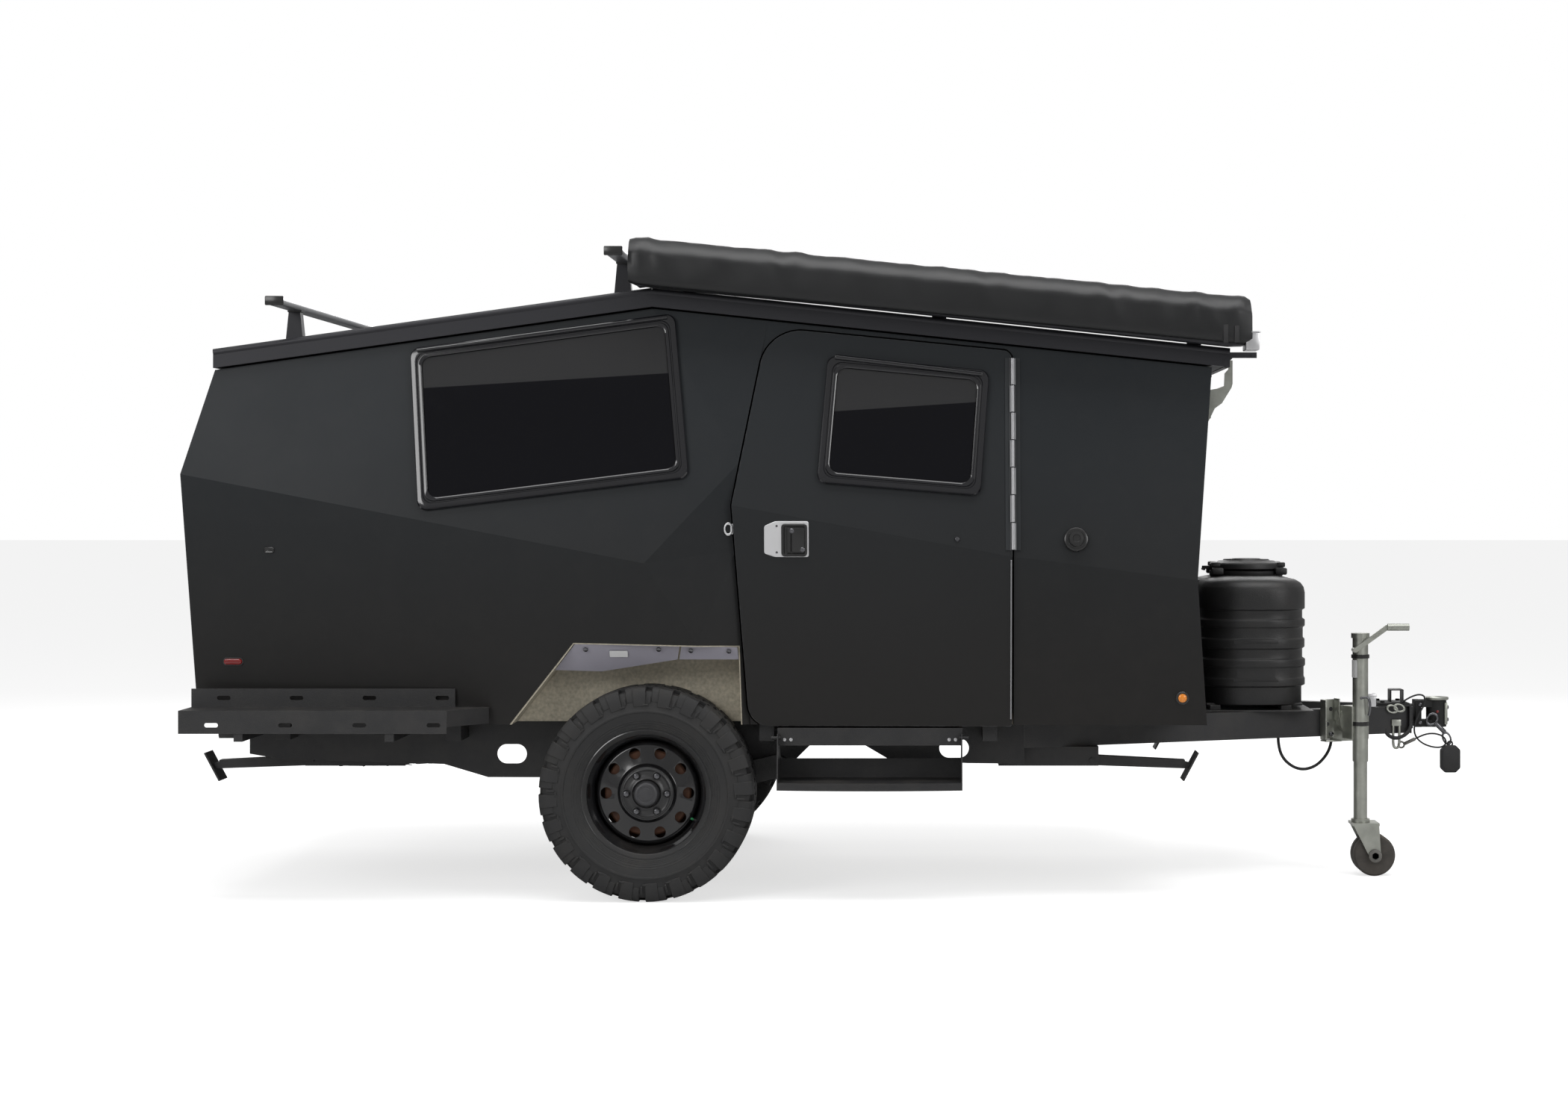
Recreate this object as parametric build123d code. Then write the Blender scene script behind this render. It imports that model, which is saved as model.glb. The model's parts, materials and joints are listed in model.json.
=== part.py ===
from build123d import *
import math
import os

# Compact off-road travel trailer with a faceted hull, a pop-up roof and an A-frame tongue.
# Millimetres. While modelling, X is measured forward from the wheel axle, Y to the left and
# Z up from the ground. Pieces are written out moved along X by AXLE_X, so that the origin is
# on the ground on the centreline, midway between the rear-most and the front-most point.

# Wheels and tyres
TYRE_RADIUS = 367.5
TYRE_WIDTH = 235
TRACK = 1780
HUB_TO_WEB = 190
ARCH_GAP = 12.5
RIM_SEAT_RADIUS = 203
RIM_LIP_RADIUS = 222
RIM_HALF_WIDTH = 98
VENT_COUNT = 10
VENT_RADIUS = 20
VENT_CIRCLE_RADIUS = 141
STUD_COUNT = 6
STUD_CIRCLE = 139.7
STUD_RADIUS = 6
NUT_RADIUS = 13
HUB_CAP_RADIUS = 39
DRUM_RADIUS = 150
AXLE_RADIUS = 22
SEAT_GAP = 0.3
RUNNING_GAP = 0.05
MOVING_GAP = 6

# Hull profile, seen from the side (X, Z)
WALL = 38
HULL_BOTTOM = 600
REAR_TOP_X = -1498
REAR_TOP_Z = 1820
REAR_CREASE_X = -1604
REAR_CREASE_Z = 1460
REAR_BOTTOM_X = -1565
PEAK_X = 11
PEAK_Z = 2031
NOSE_TOP_X = 1941
NOSE_TOP_Z = 1829
NOSE_CREASE_X = 1881
NOSE_CREASE_Z = 1097
NOSE_BOTTOM_X = 1917

# Hull half widths
ROOF_HALF_WIDTH = 870
BULGE_HALF_WIDTH = ROOF_HALF_WIDTH + 135
SILL_HALF_WIDTH_AT_AXLE = ROOF_HALF_WIDTH + 75
DOOR_CREASE_HALF_WIDTH = ROOF_HALF_WIDTH + 112
DOOR_SILL_HALF_WIDTH = ROOF_HALF_WIDTH + 62
SIDE_VERTEX_X = -5
SIDE_VERTEX_Z = 1156
REAR_OF_DOOR_HALF_WIDTH = ROOF_HALF_WIDTH + 80
SILL_AT_DOOR_HALF_WIDTH = ROOF_HALF_WIDTH + 30

# Side door
DOOR_PROUD = 12
DOOR_THICKNESS = 36
DOOR_HINGE_X = 1249
DOOR_CORNER_RADIUS = 70
DOOR_BOTTOM_Z = 596
DOOR_REAR_X = 349
DOOR_CREASE_X = 291
DOOR_CREASE_Z = 1353
DOOR_TOP_REAR_X = 410
DOOR_TOP_REAR_Z = 1966
DOOR_TOP_FRONT_Z = 1884
HINGE_CREASE_Z = 1179
HINGE_PIN_RADIUS = 7

# Roof and what it carries
FASCIA_HEIGHT = 66
FASCIA_THICKNESS = 20
ROOF_THICKNESS = 40
ROOF_REAR_X = -1500
ROOF_FRONT_X = 2001
ROOF_HINGE_RADIUS = 9
BEAD_RADIUS = 13
BAR_WIDTH = 62
BAR_HEIGHT = 30
BAR_HALF_LENGTH = ROOF_HALF_WIDTH + 130
BAR_FOOT_Y = ROOF_HALF_WIDTH - 190
REAR_BAR_X = -1263
REAR_BAR_Z = 2035
FRONT_BAR_X = -110
FRONT_BAR_Z = 2205
AWNING_DEPTH = 132
AWNING_HEIGHT = 158
AWNING_REAR_X = -63
AWNING_FRONT_X = 2069
AWNING_REAR_BOTTOM_Z = 2116
AWNING_FRONT_BOTTOM_Z = 1908
AWNING_OUTER_Y = ROOF_HALF_WIDTH + 140
AWNING_BRACKET_XS = (140, 1000, 1880)

# Chassis and tongue
WEB_Y = TRACK / 2 - HUB_TO_WEB
WEB_THICKNESS = 5
FLANGE_WIDTH = 50
MEMBER_WIDTH = 50
MEMBER_HEIGHT = 60
TONGUE_RAIL_HEIGHT = 100
TONGUE_RAIL_WIDTH = 50
TONGUE_START_X = 1300
TONGUE_START_Y = WEB_Y - 28
TONGUE_END_X = 2760
TONGUE_END_Y = 40
COUPLER_X = 2874
COUPLER_Z = 571
COUPLER_RADIUS = 38
COUPLER_BORE_RADIUS = 25
COUPLER_BORE_DEPTH = 70
COUPLER_BELOW = 52
COUPLER_ABOVE = 48
COUPLER_ARM = 26
COUPLER_BACK_X = 2790

# Jack on the right rail of the tongue
JACK_ALONG_RAIL = 1293
JACK_OFFSET = 120
JACK_TUBE_RADIUS = 28.5
JACK_LEG_RADIUS = 25
JACK_PIVOT_Z = 556
JACK_TUBE_BOTTOM = 415
JACK_TUBE_TOP = 866
CRANK_PIVOT_Z = 823
CRANK_SHEET = 6
CASTER_RADIUS = 76
CASTER_TRAIL = 45
CASTER_WHEEL_WIDTH = 42

# Where the row's origin lies, from the two furthest points
REAR_REACH = -REAR_CREASE_X
FRONT_REACH = COUPLER_X + COUPLER_RADIUS
AXLE_X = (REAR_REACH - FRONT_REACH) / 2


def block(x_range, y_range, z_range):
    """Box from its limits along X, Y and Z."""
    lows = [r[0] for r in (x_range, y_range, z_range)]
    sizes = [r[1] - r[0] for r in (x_range, y_range, z_range)]
    centre = [low + size / 2 for low, size in zip(lows, sizes)]
    return Pos(*centre) * Box(*sizes)


def slab(outline, y_range):
    """Outline of (X, Z) points, run along Y."""
    points = [(x, y_range[0], z) for x, z in outline]
    face = Face(Wire.make_polygon(points, close=True))
    return extrude(face, amount=y_range[1] - y_range[0], dir=(0, 1, 0))


def section_run(outline, x_range):
    """Outline of (Y, Z) points, run along X."""
    points = [(x_range[0], y, z) for y, z in outline]
    face = Face(Wire.make_polygon(points, close=True))
    return extrude(face, amount=x_range[1] - x_range[0], dir=(1, 0, 0))


def rod(start, end, radius):
    """Round bar between two points."""
    a = Vector(*start)
    b = Vector(*end)
    return Plane(origin=(a + b) / 2, z_dir=b - a) * Cylinder(radius, (b - a).length)


def rounded_face(corners, radii):
    """Flat face from corner points, each corner rounded by its own radius."""
    face = make_face(Polyline(*corners, close=True))
    for corner, radius in zip(corners, radii):
        vertex = min(face.vertices(), key=lambda v: (Vector(*corner) - v.center()).length)
        face = fillet(vertex, radius)
    return face


def to_left(shape):
    """Copy mirrored to the left side."""
    return mirror(shape, about=Plane.XZ)


def both_sides(shape):
    """The right-hand piece and its mirror image, as separate solids."""
    return shape.solids() + to_left(shape).solids()


def outward_plane(centre):
    """Sketch plane for turned pieces on the right: X outward, Y up."""
    return Plane(origin=centre, x_dir=(0, -1, 0), z_dir=(-1, 0, 0))


def turned(profile, centre):
    """Piece turned about the wheel's axis; the profile is (outward, radius)."""
    plane = outward_plane((0, 0, 0))
    face = plane * make_face(Polyline(*profile, close=True))
    return Pos(*centre) * revolve(face, axis=Axis.Y)


# Side planes of the right half: Y as a linear function of X and Z
def side_plane(a, b, c):
    """Coefficients (k0, kx, kz) of the plane y = k0 + kx x + kz z through three points."""
    normal = (Vector(*b) - Vector(*a)).cross(Vector(*c) - Vector(*a))
    k_x = -normal.X / normal.Y
    k_z = -normal.Z / normal.Y
    return (a[1] - k_x * a[0] - k_z * a[2], k_x, k_z)


def side_y(plane, x, z):
    """Y on a side plane."""
    return plane[0] + plane[1] * x + plane[2] * z


def side_point(plane, x, z):
    """Point on a side plane."""
    return (x, side_y(plane, x, z), z)


def facet(plane, outline, inward_from, inward_to):
    """Prism behind or before a side plane, between two distances inward from it."""
    shift = inward_from
    points = [(x, side_y(plane, x, z) + shift, z) for x, z in outline]
    face = Face(Wire.make_polygon(points, close=True))
    return extrude(face, amount=inward_to - inward_from, dir=(0, 1, 0))


def joined(shapes):
    """One shape from several that touch or overlap."""
    shapes = list(shapes)
    total = shapes[0]
    for shape in shapes[1:]:
        total = total + shape
    return total


REAR_SLOPE = (PEAK_Z - REAR_TOP_Z) / (PEAK_X - REAR_TOP_X)
FRONT_SLOPE = (NOSE_TOP_Z - PEAK_Z) / (NOSE_TOP_X - PEAK_X)


def hull_top(x):
    """Height of the hull's upper edge at X."""
    slope = REAR_SLOPE if x < PEAK_X else FRONT_SLOPE
    return PEAK_Z + slope * (x - PEAK_X)


def roof_top(x):
    """Height of the edge rail's top at X."""
    return hull_top(x) + MOVING_GAP + FASCIA_HEIGHT


REAR_TOP = (REAR_TOP_X, -ROOF_HALF_WIDTH, REAR_TOP_Z)
PEAK = (PEAK_X, -ROOF_HALF_WIDTH, PEAK_Z)
NOSE_TOP = (NOSE_TOP_X, -ROOF_HALF_WIDTH, NOSE_TOP_Z)
SIDE_VERTEX = (SIDE_VERTEX_X, -BULGE_HALF_WIDTH, SIDE_VERTEX_Z)
SIDE_UPPER_REAR = side_plane(REAR_TOP, PEAK, SIDE_VERTEX)
REAR_CREASE = side_point(SIDE_UPPER_REAR, REAR_CREASE_X, REAR_CREASE_Z)
SILL_AT_AXLE = (SIDE_VERTEX_X, -SILL_HALF_WIDTH_AT_AXLE, HULL_BOTTOM)
SIDE_LOWER_REAR = side_plane(REAR_CREASE, SIDE_VERTEX, SILL_AT_AXLE)
HINGE_CREASE = (DOOR_HINGE_X, -DOOR_CREASE_HALF_WIDTH, HINGE_CREASE_Z)
SIDE_UPPER_FRONT = side_plane(PEAK, NOSE_TOP, HINGE_CREASE)
DOOR_CREASE_REAR = side_point(SIDE_UPPER_FRONT, DOOR_CREASE_X, DOOR_CREASE_Z)
NOSE_CREASE = side_point(SIDE_UPPER_FRONT, NOSE_CREASE_X, NOSE_CREASE_Z)
DOOR_SILL_FRONT = (DOOR_HINGE_X, -DOOR_SILL_HALF_WIDTH, HULL_BOTTOM)
SIDE_LOWER_DOOR = side_plane(DOOR_CREASE_REAR, HINGE_CREASE, DOOR_SILL_FRONT)
SIDE_LOWER_FRONT = side_plane(HINGE_CREASE, NOSE_CREASE, DOOR_SILL_FRONT)

# The seam between the rear and front facets runs just inside the door's rear edge (X, Z)
SEAM_TOP = (DOOR_TOP_REAR_X, hull_top(DOOR_TOP_REAR_X))
SEAM_UPPER = (318, 1500)
SEAM_CREASE = (DOOR_CREASE_X + MOVING_GAP, DOOR_CREASE_Z)
SEAM_LOWER = (303, 1199)
SEAM_SILL = (DOOR_REAR_X + 3, HULL_BOTTOM)
ARCH_FOLD = (172, 880)
ARCH_FOLD_SILL = (172, HULL_BOTTOM)

SEAM_UPPER_POINT = side_point(SIDE_UPPER_REAR, *SEAM_UPPER)
SEAM_LOWER_POINT = (SEAM_LOWER[0], -REAR_OF_DOOR_HALF_WIDTH, SEAM_LOWER[1])
SEAM_SILL_POINT = (SEAM_SILL[0], -SILL_AT_DOOR_HALF_WIDTH, SEAM_SILL[1])
ARCH_FOLD_POINT = side_point(SIDE_LOWER_REAR, *ARCH_FOLD)
SEAM_TOP_POINT = (SEAM_TOP[0], -ROOF_HALF_WIDTH, SEAM_TOP[1])


def xz(point):
    """X and Z of a point."""
    return (point[0], point[2])


# Facets of one side: plane, then corners (X, Z)
SIDE_FACETS = [
    (SIDE_UPPER_REAR, [xz(REAR_TOP), xz(PEAK), SEAM_UPPER, xz(SIDE_VERTEX), xz(REAR_CREASE)]),
    (side_plane(PEAK, SEAM_TOP_POINT, SEAM_UPPER_POINT), [xz(PEAK), SEAM_TOP, SEAM_UPPER]),
    (side_plane(SIDE_VERTEX, SEAM_UPPER_POINT, SEAM_LOWER_POINT),
     [xz(SIDE_VERTEX), SEAM_UPPER, SEAM_CREASE, SEAM_LOWER]),
    (side_plane(SIDE_VERTEX, SEAM_LOWER_POINT, ARCH_FOLD_POINT),
     [xz(SIDE_VERTEX), SEAM_LOWER, ARCH_FOLD]),
    (SIDE_LOWER_REAR, [xz(REAR_CREASE), xz(SIDE_VERTEX), ARCH_FOLD, ARCH_FOLD_SILL,
                       (REAR_BOTTOM_X, HULL_BOTTOM)]),
    (side_plane(ARCH_FOLD_POINT, SEAM_LOWER_POINT, SEAM_SILL_POINT),
     [ARCH_FOLD, SEAM_LOWER, SEAM_SILL, ARCH_FOLD_SILL]),
    (SIDE_UPPER_FRONT, [SEAM_TOP, xz(NOSE_TOP), xz(NOSE_CREASE), xz(HINGE_CREASE), SEAM_CREASE,
                        SEAM_UPPER]),
    (SIDE_LOWER_DOOR, [SEAM_CREASE, xz(HINGE_CREASE), (DOOR_HINGE_X, HULL_BOTTOM), SEAM_SILL,
                       SEAM_LOWER]),
    (SIDE_LOWER_FRONT, [xz(HINGE_CREASE), xz(NOSE_CREASE), (NOSE_BOTTOM_X, HULL_BOTTOM),
                        (DOOR_HINGE_X, HULL_BOTTOM)]),
]


def side_layer(inward_from, inward_to):
    """All facets of the right side between two distances inward from the skin."""
    return joined(facet(plane, outline, inward_from, inward_to) for plane, outline in SIDE_FACETS)


CUTTER_DEPTH = 400
DOOR_OUTLINE = [(DOOR_TOP_REAR_X, DOOR_TOP_REAR_Z), (DOOR_CREASE_X, DOOR_CREASE_Z),
                (DOOR_REAR_X, DOOR_BOTTOM_Z), (DOOR_HINGE_X, DOOR_BOTTOM_Z),
                (DOOR_HINGE_X, DOOR_TOP_FRONT_Z)]
DOOR_RADII = [140, 60, 75, 8, 30]

ARCH_OUTLINE = [(-476, HULL_BOTTOM), (-251, 883), (316, 872), (324, HULL_BOTTOM)]
ARCH_INNER_Y = TRACK / 2 - TYRE_WIDTH / 2 - ARCH_GAP
ARCH_SHEET = 4


def door_outline_solid(growth, y_range):
    """The door's outline grown by a distance, run along Y."""
    face = rounded_face(DOOR_OUTLINE, DOOR_RADII)
    if growth:
        face = offset(face, growth)
    face = Plane.XZ * face
    length = y_range[1] - y_range[0]
    return Pos(0, y_range[0], 0) * extrude(face, amount=length, dir=(0, 1, 0))


def window_plane(plane, centre):
    """Sketch plane lying on a side plane: local X forward, local Z outward."""
    origin = Vector(*side_point(plane, *centre))
    ahead = Vector(*side_point(plane, centre[0] + 100, centre[1])) - origin
    up = Vector(*side_point(plane, centre[0], centre[1] + 100)) - origin
    return Plane(origin=origin, x_dir=ahead, z_dir=ahead.cross(up))


# Windows: side plane, corners of the frame (X, Z) from the upper rear corner clockwise,
# width of the frame's bar, corner radius
WINDOW_BAR = 40
WINDOW_RADIUS = 28
WINDOW_PROUD = 16
GLASS_THICKNESS = 6
PANE_RECESS = 4
BIG_WINDOW = [(-823, 1891), (90, 2013), (146, 1446), (-780, 1331)]
DOOR_WINDOW = [(616, 1865), (1173, 1813), (1141, 1381), (580, 1427)]


def window_face(plane, corners, inset):
    """Rounded face on a window's own plane, inset from the frame's outer edge."""
    centre = (sum(c[0] for c in corners) / 4, sum(c[1] for c in corners) / 4)
    local_plane = window_plane(plane, centre)
    local = [local_plane.to_local_coords(Vector(*side_point(plane, *c))) for c in corners]
    face = rounded_face([(p.X, p.Y) for p in local], [WINDOW_RADIUS] * 4)
    if inset:
        face = offset(face, -inset)
    return local_plane * face, local_plane.z_dir


def window_solid(plane, corners, inset, outward_from, outward_to):
    """Slice of a window, between two distances outward from the skin."""
    face, outward = window_face(plane, corners, inset)
    moved = Pos(*(outward * outward_from)) * face
    return extrude(moved, amount=outward_to - outward_from, dir=outward)


def window_opening(plane, corners):
    """Cut for a window, through the whole wall."""
    return window_solid(plane, corners, WINDOW_BAR - 8, -WALL - 30, 30)


def window_frame(plane, corners, skin):
    """Frame: an outer bar on the skin and a sleeve through the wall."""
    proud = skin + WINDOW_PROUD
    outer = window_solid(plane, corners, 0, skin + SEAT_GAP, proud)
    sleeve = window_solid(plane, corners, WINDOW_BAR - 8 + SEAT_GAP, skin - WALL, proud)
    hole = window_solid(plane, corners, WINDOW_BAR, skin - WALL - 1, proud + 1)
    return outer + sleeve - hole


def window_pane(plane, corners, skin):
    """Pane held inside the frame, a little below its front."""
    front = skin + WINDOW_PROUD - PANE_RECESS
    return window_solid(plane, corners, WINDOW_BAR + SEAT_GAP, front - GLASS_THICKNESS, front)


def hull_side(with_door):
    """Right side wall, with its openings; the left side has a window in place of the door."""
    wall = side_layer(0, WALL)
    wall = wall - window_opening(SIDE_UPPER_REAR, BIG_WINDOW)
    wall = wall - slab(ARCH_OUTLINE, (-1100, -600))
    if with_door:
        return wall - door_outline_solid(MOVING_GAP, (-1100, -700))
    return wall - window_opening(SIDE_UPPER_FRONT, DOOR_WINDOW)


def between_sides(shape):
    """What of a cross wall lies between the two side walls."""
    cutter = side_layer(WALL, -CUTTER_DEPTH)
    return shape - cutter - to_left(cutter)


def hull_front():
    outer = [(NOSE_TOP_X, NOSE_TOP_Z), (NOSE_CREASE_X, NOSE_CREASE_Z), (NOSE_BOTTOM_X, HULL_BOTTOM)]
    inner = [(x - WALL, z) for x, z in reversed(outer)]
    inner[2] = (NOSE_TOP_X - WALL, hull_top(NOSE_TOP_X - WALL))
    return between_sides(slab(outer + inner, (-1100, 1100)))


def hull_rear():
    outer = [(REAR_TOP_X, REAR_TOP_Z), (REAR_CREASE_X, REAR_CREASE_Z), (REAR_BOTTOM_X, HULL_BOTTOM)]
    inner = [(x + WALL, z) for x, z in reversed(outer)]
    inner[2] = (REAR_TOP_X + WALL, hull_top(REAR_TOP_X + WALL))
    return between_sides(slab(outer + inner, (-1100, 1100)))


FLOOR_THICKNESS = 36
SPARE_X = -1110
SPARE_BOTTOM = 400
SPARE_WELL_RADIUS = TYRE_RADIUS + 12


def floor_panel():
    outline = [(REAR_BOTTOM_X + WALL, HULL_BOTTOM), (NOSE_BOTTOM_X - WALL - 3, HULL_BOTTOM),
               (NOSE_BOTTOM_X - WALL - 3, HULL_BOTTOM + FLOOR_THICKNESS),
               (REAR_BOTTOM_X + WALL, HULL_BOTTOM + FLOOR_THICKNESS)]
    floor = between_sides(slab(outline, (-1100, 1100)))
    for side in (-1, 1):
        reach = sorted((side * (ARCH_INNER_Y - SEAT_GAP), side * 1100))
        floor = floor - slab(ARCH_OUTLINE, reach)
    well = Pos(SPARE_X, 0, HULL_BOTTOM) * Cylinder(SPARE_WELL_RADIUS, 4 * FLOOR_THICKNESS)
    return floor - well


def wheel_arches():
    """Sheet tunnel over each wheel, closed by its inner wall."""
    outer = slab(ARCH_OUTLINE, (-1100, -ARCH_INNER_Y))
    rear_low, rear_high, front_high, front_low = ARCH_OUTLINE
    inner_outline = [(rear_low[0] + 1.5 * ARCH_SHEET, HULL_BOTTOM - 1),
                     (rear_high[0] + ARCH_SHEET / 2, rear_high[1] - ARCH_SHEET),
                     (front_high[0] - ARCH_SHEET, front_high[1] - ARCH_SHEET),
                     (front_low[0] - ARCH_SHEET, HULL_BOTTOM - 1)]
    inner = slab(inner_outline, (-1101, -ARCH_INNER_Y - ARCH_SHEET))
    arch = outer - inner - side_layer(2, -CUTTER_DEPTH)
    return both_sides(arch)


FENDER_LEAN = math.radians(35)
FENDER_TOP_Y = SILL_HALF_WIDTH_AT_AXLE + 10
FENDER_TOP_Z = 876
FENDER_SHEET = 3
REAR_FENDER = [(-246, 878.4), (112, 871.6), (102, 824), (-161, 781), (-322, 786)]
FRONT_FENDER = [(118, 871.4), (309, 867.7), (312, 824), (108, 824)]


def fender_plates():
    """Two plates hung from the arch's upper edge, leaning inward."""
    k_z = -math.tan(FENDER_LEAN)
    plane = (-FENDER_TOP_Y - k_z * FENDER_TOP_Z, 0, k_z)
    plates = [facet(plane, outline, 0, FENDER_SHEET) for outline in (REAR_FENDER, FRONT_FENDER)]
    return [solid for plate in plates for solid in both_sides(plate)]


def door_skin(inward_from, inward_to):
    """The door's two facets, run past its outline."""
    slope = (HINGE_CREASE_Z - DOOR_CREASE_Z) / (DOOR_HINGE_X - DOOR_CREASE_X)
    rear_x = DOOR_CREASE_X - 100
    rear_z = DOOR_CREASE_Z - 100 * slope
    front_x = DOOR_HINGE_X + 100
    front_z = HINGE_CREASE_Z + 100 * slope
    upper = [(rear_x, rear_z), (rear_x, PEAK_Z), (front_x, PEAK_Z), (front_x, front_z)]
    lower = [(rear_x, rear_z), (front_x, front_z), (front_x, DOOR_BOTTOM_Z - 50),
             (rear_x, DOOR_BOTTOM_Z - 50)]
    return (facet(SIDE_UPPER_FRONT, upper, inward_from, inward_to)
            + facet(SIDE_LOWER_DOOR, lower, inward_from, inward_to))


# The door turns about a pin that lies along the upper part of its front edge
HINGE_LOW_Z = 1200
HINGE_HIGH_Z = 1860
HINGE_GAP_X = DOOR_HINGE_X + MOVING_GAP / 2


def hinge_point(z):
    """Point on the door hinge's axis."""
    y = side_y(SIDE_UPPER_FRONT, HINGE_GAP_X, z) - DOOR_PROUD - HINGE_PIN_RADIUS
    return (HINGE_GAP_X, y, z)


KNUCKLE_COUNT = 7
KNUCKLE_GAP = 1.7
LEAF_THICKNESS = 2.5
LEAF_WIDTH = 26


def knuckle_spans(own):
    """Lower and upper ends of every other knuckle: 0 for the hull's, 1 for the door's."""
    step = (HINGE_HIGH_Z - HINGE_LOW_Z) / KNUCKLE_COUNT
    lows = [HINGE_LOW_Z + index * step for index in range(KNUCKLE_COUNT) if index % 2 == own]
    return [(low + KNUCKLE_GAP, low + step - KNUCKLE_GAP) for low in lows]


def door_panel():
    panel = door_skin(-DOOR_PROUD, DOOR_THICKNESS - DOOR_PROUD)
    outline = door_outline_solid(0, (-1200, -700))
    panel = panel & outline
    return panel - window_opening(SIDE_UPPER_FRONT, DOOR_WINDOW)


def hinge_leaf(own):
    """Leaf and knuckles of the door's hinge: 0 on the hull, 1 on the door."""
    direction = 1 if own == 0 else -1
    skin = -DOOR_PROUD * own - SEAT_GAP
    low_x, high_x = sorted((HINGE_GAP_X + direction * 9, HINGE_GAP_X + direction * LEAF_WIDTH))
    outline = [(low_x, HINGE_LOW_Z), (high_x, HINGE_LOW_Z), (high_x, HINGE_HIGH_Z), (low_x, HINGE_HIGH_Z)]
    pieces = [facet(SIDE_UPPER_FRONT, outline, skin - LEAF_THICKNESS, skin)]
    near_x, far_x = sorted((HINGE_GAP_X, HINGE_GAP_X + direction * 11))
    for low, high in knuckle_spans(own):
        strip = [(near_x, low), (far_x, low), (far_x, high), (near_x, high)]
        pieces.append(facet(SIDE_UPPER_FRONT, strip, -DOOR_PROUD - HINGE_PIN_RADIUS - 2, skin))
        pieces.append(rod(hinge_point(low), hinge_point(high), HINGE_PIN_RADIUS))
    return joined(pieces)


HANDLE_X = 479
HANDLE_Z = 1239


def door_handle():
    """Plate with a rounded paddle latch, just below the door's crease."""
    plane = window_plane(SIDE_LOWER_DOOR, (HANDLE_X, HANDLE_Z))
    plate = Pos(0, 0, DOOR_PROUD + SEAT_GAP) * extrude(RectangleRounded(152, 122, 14), amount=4)
    paddle = Pos(8, 4, DOOR_PROUD + 4) * extrude(RectangleRounded(104, 64, 18), amount=14)
    return plane * (plate + paddle)


def roof_panel():
    """Two sloped halves that meet at the ridge over the axle."""
    xs = [ROOF_REAR_X, PEAK_X, ROOF_FRONT_X - FASCIA_THICKNESS]
    lower = [(x, hull_top(x) + MOVING_GAP) for x in xs]
    upper = [(x, z + ROOF_THICKNESS) for x, z in reversed(lower)]
    half_width = ROOF_HALF_WIDTH - SEAT_GAP
    return slab(lower + upper, (-half_width, half_width))


def roof_rails():
    """Edge rail along both sides and across the front and rear, with a round bead on top."""
    xs = [ROOF_REAR_X, PEAK_X, ROOF_FRONT_X]
    lower = [(x, hull_top(x) + MOVING_GAP) for x in xs]
    upper = [(x, z + FASCIA_HEIGHT - BEAD_RADIUS) for x, z in reversed(lower)]
    side = slab(lower + upper, (-ROOF_HALF_WIDTH - FASCIA_THICKNESS, -ROOF_HALF_WIDTH))
    bead_y = -ROOF_HALF_WIDTH - FASCIA_THICKNESS / 2
    ends = [(x, bead_y, z) for x, z in reversed(upper)]
    bead = rod(ends[0], ends[1], BEAD_RADIUS) + rod(ends[1], ends[2], BEAD_RADIUS)
    right = side + bead
    front_z = lower[2][1]
    front = block((ROOF_FRONT_X - FASCIA_THICKNESS, ROOF_FRONT_X), (-ROOF_HALF_WIDTH, ROOF_HALF_WIDTH),
                  (front_z, front_z + FASCIA_HEIGHT - BEAD_RADIUS))
    return right + to_left(right) + front


def roof_bars():
    """Two aluminium bars across the roof, ovals in section."""
    bars = []
    for x, z in ((REAR_BAR_X, REAR_BAR_Z), (FRONT_BAR_X, FRONT_BAR_Z)):
        face = Plane.XZ * SlotOverall(BAR_WIDTH, BAR_HEIGHT)
        bar = extrude(face, amount=2 * BAR_HALF_LENGTH, dir=(0, 1, 0))
        bars.append(Pos(x, -BAR_HALF_LENGTH, z + BAR_HEIGHT / 2) * bar)
    return bars


FOOT_LENGTH = 90
FOOT_WIDTH = 44


def roof_fittings():
    """Feet under the bars and brackets that carry the awning."""
    pieces = []
    for x, z in ((REAR_BAR_X, REAR_BAR_Z), (FRONT_BAR_X, FRONT_BAR_Z)):
        base = max(roof_skin(x - FOOT_LENGTH / 2), roof_skin(x + FOOT_LENGTH / 2))
        outline = [(x - FOOT_LENGTH / 2, roof_skin(x - FOOT_LENGTH / 2) + SEAT_GAP),
                   (x + FOOT_LENGTH / 2, roof_skin(x + FOOT_LENGTH / 2) + SEAT_GAP),
                   (x + FOOT_LENGTH / 3, base + 30), (x + 20, z - SEAT_GAP), (x - 20, z - SEAT_GAP),
                   (x - FOOT_LENGTH / 3, base + 30)]
        foot = slab(outline, (-BAR_FOOT_Y - FOOT_WIDTH / 2, -BAR_FOOT_Y + FOOT_WIDTH / 2))
        pieces += both_sides(foot)
    for x in AWNING_BRACKET_XS:
        pieces.append(awning_bracket(x))
    return pieces + roof_stay()


LIFT_Y = ROOF_HALF_WIDTH - 90
LIFT_SHEET = 5


def nose_x(z):
    """X of the hull's front wall at height Z, above its crease."""
    share = (NOSE_TOP_Z - z) / (NOSE_TOP_Z - NOSE_CREASE_Z)
    return NOSE_TOP_X + share * (NOSE_CREASE_X - NOSE_TOP_X)


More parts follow.
